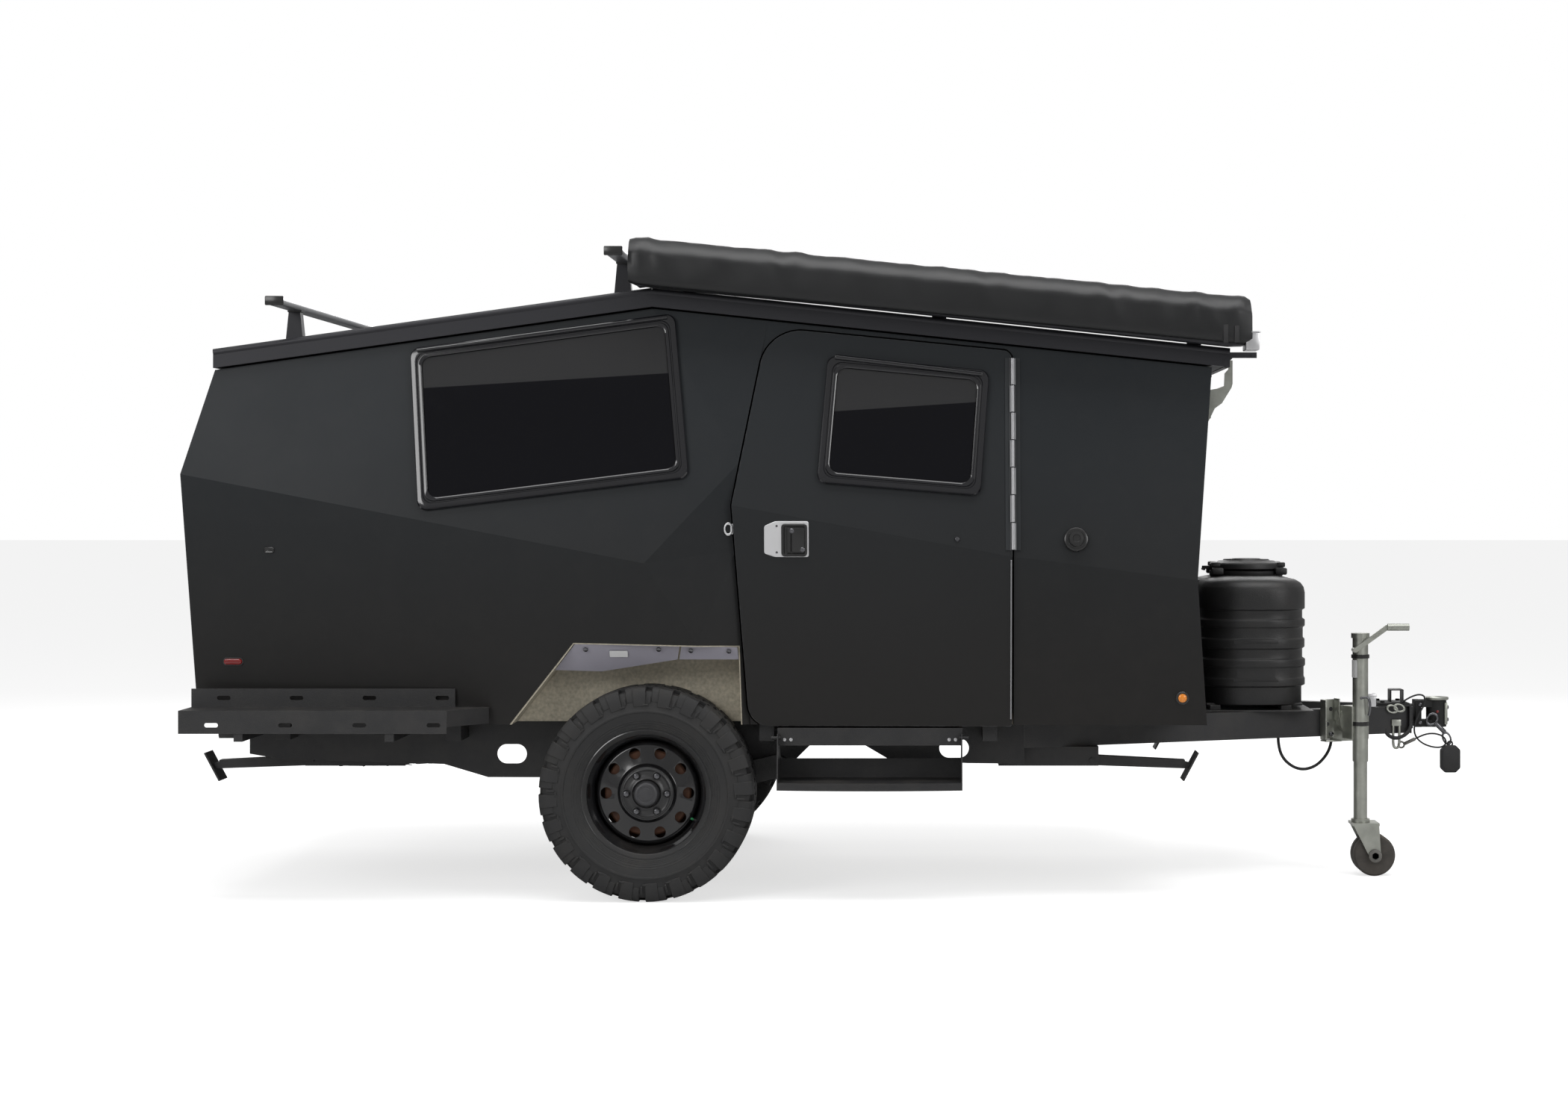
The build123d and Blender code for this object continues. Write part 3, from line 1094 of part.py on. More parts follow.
SHELF_REAR_X = -1566
SHELF_FRONT_X = -661
SHELF_INNER_Y = SILL_HALF_WIDTH_AT_AXLE - 27
SHELF_OUTER_Y = SHELF_INNER_Y + 172
SHELF_TOP = 661
SHELF_FLANGE_TOP = 724
SHELF_FACE_BOTTOM = 583
SHELF_SHEET = 4
SHELF_SLOT = (47, 15)
SLOT_XS = [-1455, -1205, -955, -705]


def side_shelves():
    """Folded shelf with slots in its flange and its face, an end flange and an angled end piece."""
    t = SHELF_SHEET
    profile = [(-SHELF_INNER_Y, SHELF_FLANGE_TOP), (-SHELF_INNER_Y, SHELF_TOP - t), (-SHELF_OUTER_Y + t, SHELF_TOP - t),
               (-SHELF_OUTER_Y + t, SHELF_FACE_BOTTOM), (-SHELF_OUTER_Y, SHELF_FACE_BOTTOM), (-SHELF_OUTER_Y, SHELF_TOP),
               (-SHELF_INNER_Y - t, SHELF_TOP), (-SHELF_INNER_Y - t, SHELF_FLANGE_TOP)]
    shelf = section_run(profile, (SHELF_REAR_X, SHELF_FRONT_X))
    shelf += block((SHELF_REAR_X, SHELF_REAR_X + t), (-SHELF_OUTER_Y, -SHELF_INNER_Y), (SHELF_FACE_BOTTOM, SHELF_TOP))
    slot = Plane.XZ * SlotOverall(*SHELF_SLOT)
    for x in SLOT_XS:
        for y, z in ((SHELF_OUTER_Y, 612), (SHELF_INNER_Y + t, 692)):
            shelf -= Pos(x, -y - 5, z) * extrude(slot, amount=2 * t + 6, dir=(0, 1, 0))
    end = [(SHELF_FRONT_X + SEAT_GAP, -SHELF_OUTER_Y), (SHELF_FRONT_X + 118, -SHELF_INNER_Y - 20),
           (SHELF_FRONT_X + 118, -SHELF_INNER_Y), (SHELF_FRONT_X + SEAT_GAP, -SHELF_INNER_Y)]
    top = extrude(Face(Wire.make_polygon([(x, y, SHELF_TOP - t) for x, y in end], close=True)), amount=t, dir=(0, 0, 1))
    lip = Face(Wire.make_polygon([(x, y, SHELF_TOP - 55) for x, y in
                                  (end[0], end[1], (end[1][0], end[1][1] + t), (end[0][0], end[0][1] + t))], close=True))
    end_piece = top + extrude(lip, amount=55, dir=(0, 0, 1))
    bracket = [block((x, x + 30), (-SHELF_OUTER_Y + t + SEAT_GAP, -WEB_Y - SEAT_GAP), (556, FRAME_TOP)) for x in (-1380, -870)]
    supports = [piece + block((x, x + 30), (-SHELF_OUTER_Y + t + 2, -SHELF_INNER_Y - 12), (556, SHELF_TOP - t - SEAT_GAP))
                for piece, x in zip(bracket, (-1380, -870))]
    return [solid for piece in [shelf, end_piece] + supports for solid in both_sides(piece)]


STEP_X = (446, 1079)
STEP_OUTER_Y = DOOR_SILL_HALF_WIDTH + 68
STEP_INNER_Y = STEP_OUTER_Y - 200
STEP_Z = 408
STEP_TOP_Z = 572
STEP_SHEET = 4


def drop_step():
    """Step hung under the door: two side brackets, a channel between them and a tread with a curved lip."""
    x_low, x_high = STEP_X
    t = STEP_SHEET
    body = None
    for x, inward in ((x_low, 1), (x_high, -1)):
        outer = sorted((x, x + inward * t))
        cheek = [(-STEP_OUTER_Y + 30, STEP_TOP_Z), (-STEP_OUTER_Y, STEP_Z + 14), (-STEP_OUTER_Y, STEP_Z - 26),
                 (-STEP_INNER_Y, STEP_Z - 10), (-STEP_INNER_Y, STEP_Z + 60), (-STEP_INNER_Y - 70, STEP_TOP_Z)]
        plate = section_run(cheek, outer)
        body = plate if body is None else body + plate
        pin = sorted((x + inward * 10, x - inward * 22))
        body += rod((pin[0], -STEP_OUTER_Y + 62, STEP_TOP_Z - 16), (pin[1], -STEP_OUTER_Y + 62, STEP_TOP_Z - 16), 6)
    top = DOOR_BOTTOM_Z - MOVING_GAP
    hanger = block((x_low, x_high), (-STEP_OUTER_Y + 66, -STEP_OUTER_Y + 66 + t), (STEP_TOP_Z - 42, top))
    flange = block((x_low, x_high), (-STEP_OUTER_Y + 66, -WEB_Y - SEAT_GAP), (top - t, top))
    back = block((x_low, x_high), (-STEP_INNER_Y - t, -STEP_INNER_Y), (STEP_Z - 4, STEP_Z + 66))
    bow = 24
    arc = ThreePointArc((x_low, -STEP_OUTER_Y), ((x_low + x_high) / 2, -STEP_OUTER_Y - bow), (x_high, -STEP_OUTER_Y))
    rest = Polyline((x_high, -STEP_OUTER_Y), (x_high, -STEP_INNER_Y), (x_low, -STEP_INNER_Y), (x_low, -STEP_OUTER_Y))
    tread_face = make_face(arc + rest)
    tread = Pos(0, 0, STEP_Z - t) * extrude(tread_face, amount=t)
    lip_face = tread_face - Pos(0, t, 0) * tread_face
    lip_face = lip_face & Pos((x_low + x_high) / 2, -STEP_OUTER_Y, 0) * Rectangle(x_high - x_low, 120)
    lip = Pos(0, 0, STEP_Z - 26) * extrude(lip_face, amount=26)
    return body + hanger + flange + back + tread + lip


COVER_X = (1962, 2355)
COVER_HALF_Y = 330
TRAY_SHEET = 4
TRAY_FOOT = 16
COVER_BOTTOM = TONGUE_TOP + SEAT_GAP + TRAY_SHEET + TRAY_FOOT
COVER_SHOULDER = 1085
COVER_WALL = 6
COVER_FLANGE = 12
COVER_CORNER = (COVER_X[1] - COVER_X[0]) / 2 - 46.5
LID_RADIUS = 148
LID_TOP = COVER_SHOULDER + 63
COVER_HOLE_RADIUS = 120


def gas_cover():
    """Moulded cover for the gas cylinders, on a tray across the tongue rails."""
    length = COVER_X[1] - COVER_X[0]
    centre_x = sum(COVER_X) / 2
    def shell(inset):
        face = RectangleRounded(length - 2 * inset, 2 * (COVER_HALF_Y - inset), COVER_CORNER - inset)
        height = COVER_SHOULDER - COVER_BOTTOM - inset
        solid = Pos(centre_x, 0, COVER_BOTTOM) * extrude(face, amount=height)
        return fillet(solid.faces().sort_by(Axis.Z)[-1].edges(), 55 - inset)
    outer = shell(0)
    rim = RectangleRounded(length + 2 * COVER_FLANGE, 2 * (COVER_HALF_Y + COVER_FLANGE), COVER_CORNER)
    flange = Pos(centre_x, 0, COVER_BOTTOM) * extrude(rim, amount=16)
    rib_y = block((COVER_X[0] - 9, COVER_X[1] + 9), (-9, 9), (COVER_BOTTOM, COVER_SHOULDER - 30))
    collar = Pos(centre_x, 0, COVER_SHOULDER + 9) * Cylinder(LID_RADIUS - 14, 22)
    cover = outer + flange + rib_y + collar
    panels = []
    for side in (-1, 1):
        panel = Pos(centre_x, side * COVER_HALF_Y, 870) * Box(210, 8, 330)
        cover -= panel
    cover -= shell(COVER_WALL)
    hole = Pos(centre_x, 0, COVER_SHOULDER) * Cylinder(COVER_HOLE_RADIUS, 100)
    cover -= hole
    tray_half = COVER_HALF_Y + COVER_FLANGE
    tray_z = (COVER_BOTTOM - TRAY_FOOT - TRAY_SHEET, COVER_BOTTOM - TRAY_FOOT)
    tray = block((COVER_X[0] - 30, COVER_X[1] + COVER_FLANGE), (-tray_half, tray_half), tray_z)
    foot = block((COVER_X[0] + 30, COVER_X[0] + 70), (-COVER_HALF_Y + 30, COVER_HALF_Y - 30), (COVER_BOTTOM - TRAY_FOOT, COVER_BOTTOM))
    foot2 = Pos(260, 0, 0) * foot
    cover += tray + foot + foot2
    for side in (-1, 1):
        y_range = sorted((side * 21, side * 31))
        cover += block((LID_HINGE_X - 9, LID_HINGE_X + 5), y_range, (COVER_SHOULDER - 12, LID_HINGE_Z + 9))
        cover += block((LID_HINGE_X - 9, LID_HINGE_X + 40), y_range, (COVER_SHOULDER - 12, COVER_SHOULDER + 10))
    cover -= rod((LID_HINGE_X, -50, LID_HINGE_Z), (LID_HINGE_X, 50, LID_HINGE_Z), LID_PIN_RADIUS + RUNNING_GAP)
    clear = block((LID_HINGE_X - 20, LID_HINGE_X + 60), (-21, 21), (LID_LOW - 8, LID_LOW + 60))
    return cover - clear


LID_HINGE_X = sum(COVER_X) / 2 - LID_RADIUS - 14
LID_LOW = COVER_SHOULDER + 20 + SEAT_GAP
LID_HINGE_Z = LID_LOW + 6
LID_PIN_RADIUS = 5


def gas_cover_lid():
    """Round lid that swings back on two ears."""
    centre_x = sum(COVER_X) / 2
    lid = Pos(centre_x, 0, (LID_LOW + LID_TOP) / 2) * Cylinder(LID_RADIUS, LID_TOP - LID_LOW)
    lid = fillet(lid.faces().sort_by(Axis.Z)[-1].edges(), 18)
    lid += Pos(centre_x, 0, LID_TOP - 3) * Cylinder(58, 14)
    lid += block((LID_HINGE_X, LID_HINGE_X + 30), (-20, 20), (LID_LOW, LID_LOW + 12))
    return lid + rod((LID_HINGE_X, -33, LID_HINGE_Z), (LID_HINGE_X, 33, LID_HINGE_Z), LID_PIN_RADIUS)


def hull_lamps():
    """Side markers on both sides, tail lamps on the rear wall."""
    pieces = []
    for x, z, plane in ((1843, 702, SIDE_LOWER_FRONT), (-1436, 814, SIDE_LOWER_REAR)):
        spot = window_plane(plane, (x, z))
        lamp = spot * (Pos(0, 0, SEAT_GAP) * extrude(SlotOverall(64, 20), amount=10))
        pieces += both_sides(lamp)
    lean = (REAR_BOTTOM_X - REAR_CREASE_X) / (REAR_CREASE_Z - HULL_BOTTOM)
    for side in (-1, 1):
        z_low, z_high = 740, 880
        x_low = REAR_BOTTOM_X - lean * (z_low - HULL_BOTTOM)
        x_high = REAR_BOTTOM_X - lean * (z_high - HULL_BOTTOM)
        outline = [(x_low - SEAT_GAP, z_low), (x_low - 24, z_low + 8), (x_high - 20, z_high - 8), (x_high - SEAT_GAP, z_high)]
        pieces.append(slab(outline, sorted((side * 560, side * 700))))
    return pieces


def hull_fittings():
    """Filler knob, side catch and rear latch."""
    knob_plane = window_plane(SIDE_UPPER_FRONT, (1467, 1236))
    knob = knob_plane * (Pos(0, 0, SEAT_GAP) * (extrude(Circle(42), amount=14) + extrude(Circle(26), amount=34)))
    catch_plane = window_plane(SIDE_LOWER_REAR, (-1300, 1200))
    catch = catch_plane * (Pos(0, 0, SEAT_GAP) * extrude(RectangleRounded(34, 20, 6), amount=7))
    return [knob, catch]


BED_TOP = 860


def interior_cabinets():
    """Bed base across the rear and a kitchen cabinet on the left."""
    floor_z = HULL_BOTTOM + FLOOR_THICKNESS + SEAT_GAP
    half = ROOF_HALF_WIDTH - 180
    base = block((-1480, -420), (-half, half), (floor_z, BED_TOP))
    base -= block((-1460, -440), (-half + 20, half - 20), (0, BED_TOP - 20))
    reach = ROOF_HALF_WIDTH - 10
    cabinet = block((520, 1240), (reach - 430, reach), (floor_z, 1130))
    cabinet -= block((540, 1220), (reach - 431, reach - 20), (floor_z + 20, 1110))
    return [base, cabinet]


def mattress():
    """Mattress on the bed base."""
    half = ROOF_HALF_WIDTH - 190
    pad = block((-1470, -430), (-half, half), (BED_TOP + SEAT_GAP, BED_TOP + 140))
    return fillet(pad.edges(), 30)


def cord(name, points, radius):
    """Tube along straight runs joined by tangent arcs; prints each arc's radius."""
    vectors = [Vector(*p) for p in points]
    radii = []
    for before, corner, after in zip(vectors, vectors[1:], vectors[2:]):
        turn = (corner - before).get_angle(after - corner)
        shorter = min((corner - before).length, (after - corner).length)
        radii.append(0.45 * shorter / math.tan(math.radians(turn / 2)))
    path = FilletPolyline(*points, radius=radii)
    start = Plane(origin=points[0], z_dir=vectors[1] - vectors[0])
    tube = sweep(start * Circle(radius), path=path)
    ratio = tube.volume / (math.pi * radius ** 2 * path.length)
    print(name, "arc radii", [round(r, 1) for r in radii], "length", round(path.length, 1), "volume ratio", round(ratio, 4))
    return tube


# Gas hose, as (X, Z) points of the loop it hangs in, inside the right tongue rail
GAS_HOSE_RADIUS = 5.5
GLAND_RADIUS = 9
GLAND_LENGTH = 26
GLAND_Z = 512
GAS_HOSE = [(2250, GLAND_Z), (2250, 458), (2279, 404), (2336, 372), (2396, 382), (2440, 422), (2461, 468), (2461, GLAND_Z)]


def hose_point(x, z):
    """Place of the hose beside the right tongue rail's inner face."""
    return (x, -tongue_y(x) + TONGUE_RAIL_WIDTH / 2 + GLAND_RADIUS - 1, z)


def hose_glands():
    """Short unions on the rail's inner face that the gas hose hangs from."""
    unions = []
    for x, z in (GAS_HOSE[0], GAS_HOSE[-1]):
        y = hose_point(x, z)[1]
        unions.append(rod((x, y, z), (x, y, z + GLAND_LENGTH), GLAND_RADIUS))
    return unions


def gas_hose():
    return cord("gas hose", [hose_point(x, z) for x, z in GAS_HOSE], GAS_HOSE_RADIUS)


def trailer():
    """All nodes by name."""
    nodes = {
        "main_rails": main_rails(),
        "cross_members": cross_members(),
        "tongue_rails": tongue_rails(),
        "coupler_mount": coupler_mount(),
        "coupler_head": coupler_head(),
        "floor_panel": floor_panel(),
        "hull_side_right": hull_side(True),
        "hull_side_left": to_left(hull_side(False)),
        "hull_front": hull_front(),
        "hull_rear": hull_rear() + roof_hinge(0),
        "wheel_arches": wheel_arches(),
        "fender_plates": fender_plates(),
        "window_frames": window_frames_fixed(),
        "window_glass": window_glass_fixed(),
        "door_hinge": hinge_leaf(0),
        "door_panel": door_panel(),
        "door_hinge_leaf": hinge_leaf(1),
        "door_window_frame": window_frame(SIDE_UPPER_FRONT, DOOR_WINDOW, DOOR_PROUD),
        "door_window_glass": window_pane(SIDE_UPPER_FRONT, DOOR_WINDOW, DOOR_PROUD),
        "door_handle": door_handle(),
        "roof_panel": roof_panel() + roof_hinge(1),
        "roof_rails": roof_rails(),
        "roof_bars": roof_bars(),
        "roof_fittings": roof_fittings(),
        "roof_lift": roof_lift(),
        "awning_bag": awning_bag(),
        "tent_skirt": tent_skirt(),
        "suspension_arms": suspension_arms(),
        "rubber_springs": rubber_springs(),
        "side_shelves": side_shelves(),
        "spare_carrier": spare_carrier(),
        "drop_step": drop_step(),
        "gas_hose": gas_hose(),
        "gas_cover": gas_cover(),
        "gas_cover_lid": gas_cover_lid(),
        "jack_bracket": jack_bracket(),
        "jack_tube": jack_tube(),
        "jack_leg": jack_leg(),
        "jack_fork": jack_fork(),
        "jack_wheels": jack_wheels(),
        "stabilizer_mounts": stabilizer_mounts(),
        "hull_lamps": hull_lamps(),
        "hull_fittings": hull_fittings(),
        "interior_cabinets": interior_cabinets(),
        "mattress": mattress(),
    }
    for name, (pivot_x, ahead, side) in STABILIZERS.items():
        nodes[name] = stabilizer_leg(pivot_x, ahead, side)
    right_tyre = tyre(WHEEL_CENTRE)
    right_rim = rim(WHEEL_CENTRE)
    right_hub = hub(WHEEL_CENTRE)
    for name, piece in (("tyre", right_tyre), ("rim", right_rim), ("hub", right_hub)):
        nodes[name + "_right"] = piece
        nodes[name + "_left"] = to_left(piece)
    lay_flat = Pos(SPARE_X, 0, SPARE_BOTTOM + TYRE_HALF) * Rot(90, 0, 0)
    nodes["spare_tyre"] = lay_flat * tyre((0, 0, 0))
    nodes["spare_rim"] = lay_flat * rim((0, 0, 0))
    return nodes


def window_frames_fixed():
    """Frames on the hull: the big ones, and the left side's front one."""
    frames = both_sides(window_frame(SIDE_UPPER_REAR, BIG_WINDOW, 0))
    frames += to_left(window_frame(SIDE_UPPER_FRONT, DOOR_WINDOW, 0)).solids()
    return frames


def window_glass_fixed():
    """Panes of the hull's windows."""
    panes = both_sides(window_pane(SIDE_UPPER_REAR, BIG_WINDOW, 0))
    panes += to_left(window_pane(SIDE_UPPER_FRONT, DOOR_WINDOW, 0)).solids()
    return panes


def write(name, shape):
    """One STEP file for a node, moved to the row's origin."""
    shapes = shape if isinstance(shape, (list, ShapeList, tuple)) else [shape]
    solids = [solid for piece in shapes for solid in piece.solids()]
    moved = [Pos(AXLE_X, 0, 0) * solid for solid in solids]
    whole = moved[0] if len(moved) == 1 else Compound(children=moved)
    whole.label = name
    export_step(whole, f"parts/{name}.step")


os.makedirs("parts", exist_ok=True)
for node_name, node_shape in trailer().items():
    write(node_name, node_shape)
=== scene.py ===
import json
import logging
import math
from dataclasses import dataclass
from enum import Enum
from typing import Callable, Iterable, Sequence

import bmesh
import bpy
from mathutils import Matrix, Vector, noise


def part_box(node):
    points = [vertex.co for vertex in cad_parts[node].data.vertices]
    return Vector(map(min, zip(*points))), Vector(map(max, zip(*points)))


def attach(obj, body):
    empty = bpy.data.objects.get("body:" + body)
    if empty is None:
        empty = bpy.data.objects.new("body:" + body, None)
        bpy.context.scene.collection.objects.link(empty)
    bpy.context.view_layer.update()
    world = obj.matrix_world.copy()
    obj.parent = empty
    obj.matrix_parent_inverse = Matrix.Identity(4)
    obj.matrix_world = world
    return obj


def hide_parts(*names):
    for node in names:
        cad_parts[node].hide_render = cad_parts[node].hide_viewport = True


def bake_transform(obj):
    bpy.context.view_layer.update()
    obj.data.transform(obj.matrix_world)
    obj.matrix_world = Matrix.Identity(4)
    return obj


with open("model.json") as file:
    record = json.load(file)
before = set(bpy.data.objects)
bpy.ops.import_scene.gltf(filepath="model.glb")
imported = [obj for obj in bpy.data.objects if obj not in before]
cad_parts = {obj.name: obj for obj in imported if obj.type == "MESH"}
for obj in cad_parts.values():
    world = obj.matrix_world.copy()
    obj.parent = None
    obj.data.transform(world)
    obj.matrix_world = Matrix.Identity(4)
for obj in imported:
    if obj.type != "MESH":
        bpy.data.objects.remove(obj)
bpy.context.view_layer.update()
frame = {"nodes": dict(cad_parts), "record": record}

LOG = logging.getLogger("trailer")
Colour = tuple[float, float, float]
Point = tuple[float, float, float]

AXLE_X = -0.654
AXLE = Vector((0, 1, 0))
UP = Vector((0, 0, 1))
MIRROR = Matrix.Diagonal((1, -1, 1, 1))


def at(x: float, y: float, z: float) -> Vector:
    """Point from millimetres measured from the axle.

    Args:
        x: Forward of the axle, in millimetres.
        y: To the left of the centreline, in millimetres.
        z: Above the ground, in millimetres.

    Returns:
        The point in metres, in the frame's own axes.
    """
    return Vector((x / 1000 + AXLE_X, y / 1000, z / 1000))


class Side(Enum):
    """Side of the trailer, with the letter that ends a piece's name."""

    RIGHT = "r"
    LEFT = "l"


# Node groups shared by the materials

def new_group(name: str, inputs: Iterable[tuple[str, str, object]],
              outputs: Iterable[tuple[str, str]]) -> bpy.types.ShaderNodeTree:
    """Empty shader node group with named sockets.

    Args:
        name: Name of the group.
        inputs: Name, socket type and default value of each input.
        outputs: Name and socket type of each output.

    Returns:
        The node tree, with its Group Input and Group Output nodes in place.
    """
    tree = bpy.data.node_groups.new(name, "ShaderNodeTree")
    for label, kind, default in inputs:
        socket = tree.interface.new_socket(label, in_out="INPUT", socket_type=kind)
        socket.default_value = default
    for label, kind in outputs:
        tree.interface.new_socket(label, in_out="OUTPUT", socket_type=kind)
    tree.nodes.new("NodeGroupInput").name = "in"
    tree.nodes.new("NodeGroupOutput").name = "out"
    return tree


class Wiring:
    """Short calls that add and join the nodes of one tree."""

    def __init__(self, tree: bpy.types.NodeTree) -> None:
        """Keeps the tree that nodes are added to."""
        self.tree = tree

    def add(self, kind: str, **settings: object) -> bpy.types.Node:
        """Adds a node and sets its properties.

        Args:
            kind: Blender's identifier of the node.
            settings: Properties of the node.

        Returns:
            The new node.
        """
        node = self.tree.nodes.new(kind)
        for name, value in settings.items():
            setattr(node, name, value)
        return node

    def join(self, source: bpy.types.NodeSocket, target: bpy.types.NodeSocket) -> None:
        """Links an output to an input."""
        self.tree.links.new(source, target)

    def feed(self, node: bpy.types.Node, values: dict) -> bpy.types.Node:
        """Sets a node's inputs, each from a socket or a plain value.

        Args:
            node: Node whose inputs are set.
            values: Socket or value by input name or number.

        Returns:
            The same node.
        """
        for key, value in values.items():
            if isinstance(value, bpy.types.NodeSocket):
                self.join(value, node.inputs[key])
            else:
                node.inputs[key].default_value = value
        return node

    def maths(self, operation: str, *values: object) -> bpy.types.NodeSocket:
        """Result of a Math node on sockets or numbers."""
        node = self.add("ShaderNodeMath", operation=operation)
        self.feed(node, dict(enumerate(values)))
        return node.outputs[0]

    def noise(self, vector: bpy.types.NodeSocket, scale: object, detail: float = 4.0,
              roughness: float = 0.55) -> bpy.types.NodeSocket:
        """Noise value over a coordinate.

        Args:
            vector: Coordinate socket.
            scale: Number of features per metre, as a number or a socket.
            detail: Octaves.
            roughness: Weight of the finer octaves.

        Returns:
            The noise factor, about 0.3 to 0.7.
        """
        node = self.add("ShaderNodeTexNoise")
        self.feed(node, {"Vector": vector, "Scale": scale, "Detail": detail, "Roughness": roughness})
        return node.outputs["Fac"]

    def spread(self, value: bpy.types.NodeSocket, low: float, high: float, to_low: object = 0.0,
               to_high: object = 1.0) -> bpy.types.NodeSocket:
        """Value mapped smoothly and clamped from one range to another."""
        node = self.add("ShaderNodeMapRange", interpolation_type="SMOOTHSTEP")
        self.feed(node, {0: value, 1: low, 2: high, 3: to_low, 4: to_high})
        return node.outputs[0]

    def blend(self, factor: object, first: object, second: object) -> bpy.types.NodeSocket:
        """Mix of two colours.

        Args:
            factor: Share of the second colour.
            first: Colour or socket.
            second: Colour or socket.

        Returns:
            The mixed colour.
        """
        node = self.add("ShaderNodeMix", data_type="RGBA")
        for index, value in ((0, factor), (6, first), (7, second)):
            if isinstance(value, tuple):
                value = (*value, 1.0)
            self.feed(node, {index: value})
        return node.outputs[2]

    def coordinates(self) -> bpy.types.NodeSocket:
        """Object coordinates of the piece."""
        return self.add("ShaderNodeTexCoord").outputs["Object"]

    def split(self, vector: bpy.types.NodeSocket) -> bpy.types.NodeOutputs:
        """The X, Y and Z of a vector."""
        return self.feed(self.add("ShaderNodeSeparateXYZ"), {0: vector}).outputs

    def scaled(self, colour: object, factor: object) -> bpy.types.NodeSocket:
        """Colour made lighter or darker by a factor."""
        node = self.add("ShaderNodeVectorMath", operation="SCALE")
        return self.feed(node, {0: colour, "Scale": factor}).outputs[0]

    def bump(self, height: object, strength: float, distance: float) -> bpy.types.NodeSocket:
        """Normal with a fine relief of a strength and a depth in metres."""
        node = self.add("ShaderNodeBump")
        return self.feed(node, {"Height": height, "Strength": strength, "Distance": distance}).outputs[0]


def surface_group() -> bpy.types.ShaderNodeTree:
    """Group for a painted or moulded skin: mottled colour, fine grain, dust, edge wear that is partly a painted edge
    highlight, and a painted fade by height from shade low down to sky reflection higher up.

    Returns:
        Tree whose outputs are the colour, the roughness and a height for the bump.
    """
    tree = new_group("weathered_skin", [
        ("Colour", "NodeSocketColor", (0.1, 0.1, 0.1, 1.0)),
        ("Lower Painted Shade Colour", "NodeSocketColor", (0.1, 0.1, 0.1, 1.0)),
        ("Edge Wear And Highlight Colour", "NodeSocketColor", (0.3, 0.3, 0.3, 1.0)),
        ("Dust Colour", "NodeSocketColor", (0.25, 0.22, 0.18, 1.0)),
        ("Roughness", "NodeSocketFloat", 0.5),
        ("Grain Scale", "NodeSocketFloat", 400.0),
        ("Mottle", "NodeSocketFloat", 0.15),
        ("Mottle Scale", "NodeSocketFloat", 3.0),
        ("Edge Wear And Highlight", "NodeSocketFloat", 0.0),
        ("Edge Wear And Highlight Width", "NodeSocketFloat", 0.002),
        ("Dust", "NodeSocketFloat", 0.0),
    ], [("Colour", "NodeSocketColor"), ("Roughness", "NodeSocketFloat"), ("Height", "NodeSocketFloat"),
        ("Worn And Highlit", "NodeSocketFloat")])
    wire = Wiring(tree)
    given = tree.nodes["in"].outputs
    place = wire.coordinates()
    grain = wire.noise(place, given["Grain Scale"], 3.0)
    cloud = wire.noise(place, given["Mottle Scale"], 5.0)
    # Painted light: from 0.55 m to 1.75 m high the colour fades from the lower colour, a painted darker shade, to the
    # colour, a painted lighter sky reflection; it shows only where the two differ.
    rise = wire.spread(wire.split(place)[2], 0.55, 1.75)
    colour = wire.blend(rise, given["Lower Painted Shade Colour"], given["Colour"])
    light = wire.maths("MULTIPLY_ADD", wire.maths("SUBTRACT", cloud, 0.5),
                       wire.maths("MULTIPLY", given["Mottle"], 2.0), 1.0)
    # Edge wear that is partly a painted edge highlight: sharp edges take the lighter wear colour, which is real wear
    # and also stands in for the highlight along a rounded edge.
    shape = wire.add("ShaderNodeNewGeometry")
    bevel = wire.add("ShaderNodeBevel", samples=4)
    wire.join(given["Edge Wear And Highlight Width"], bevel.inputs["Radius"])
    dot = wire.add("ShaderNodeVectorMath", operation="DOT_PRODUCT")
    wire.feed(dot, {0: bevel.outputs[0], 1: shape.outputs["Normal"]})
    edge = wire.spread(dot.outputs["Value"], 0.995, 0.86)
    patchy = wire.spread(wire.noise(place, 38.0, 6.0, 0.7), 0.42, 0.60)
    worn_and_highlit = wire.maths("MULTIPLY", wire.maths("MULTIPLY", edge, patchy), given["Edge Wear And Highlight"])
    colour = wire.blend(worn_and_highlit, wire.scaled(colour, light), given["Edge Wear And Highlight Colour"])
    lying = wire.spread(wire.split(shape.outputs["Normal"])[2], 0.1, 0.95, 0.35, 1.0)
    film = wire.spread(wire.noise(place, 9.0, 7.0, 0.68), 0.40, 0.72)
    dusty = wire.maths("MULTIPLY", wire.maths("MULTIPLY", film, lying), given["Dust"])
    colour = wire.blend(dusty, colour, given["Dust Colour"])
    rough = wire.maths("MULTIPLY_ADD", wire.maths("SUBTRACT", cloud, 0.5), 0.22, given["Roughness"])
    rough = wire.maths("MULTIPLY_ADD", dusty, 0.35, rough)
    rough = wire.maths("SUBTRACT", rough, wire.maths("MULTIPLY", worn_and_highlit, 0.12))
    for label, value in (("Colour", colour), ("Roughness", rough), ("Height", grain), ("Worn And Highlit", worn_and_highlit)):
        wire.join(value, tree.nodes["out"].inputs[label])
    return tree


@dataclass(frozen=True)
class Finish:
    """What all finishes share: a name, a colour and one material made from them."""

    name: str
    colour: Colour

    def build(self) -> bpy.types.Material:
        """Makes the material, or returns the one already made."""
        if self.name in bpy.data.materials:
            return bpy.data.materials[self.name]
        material = bpy.data.materials.new(self.name)
        material.use_nodes = True
        self.wire_up(Wiring(material.node_tree), material.node_tree.nodes["Principled BSDF"])
        return material

    def wire_up(self, wire: Wiring, shader: bpy.types.Node) -> None:
        """Feeds the shader of a new material."""
        raise NotImplementedError


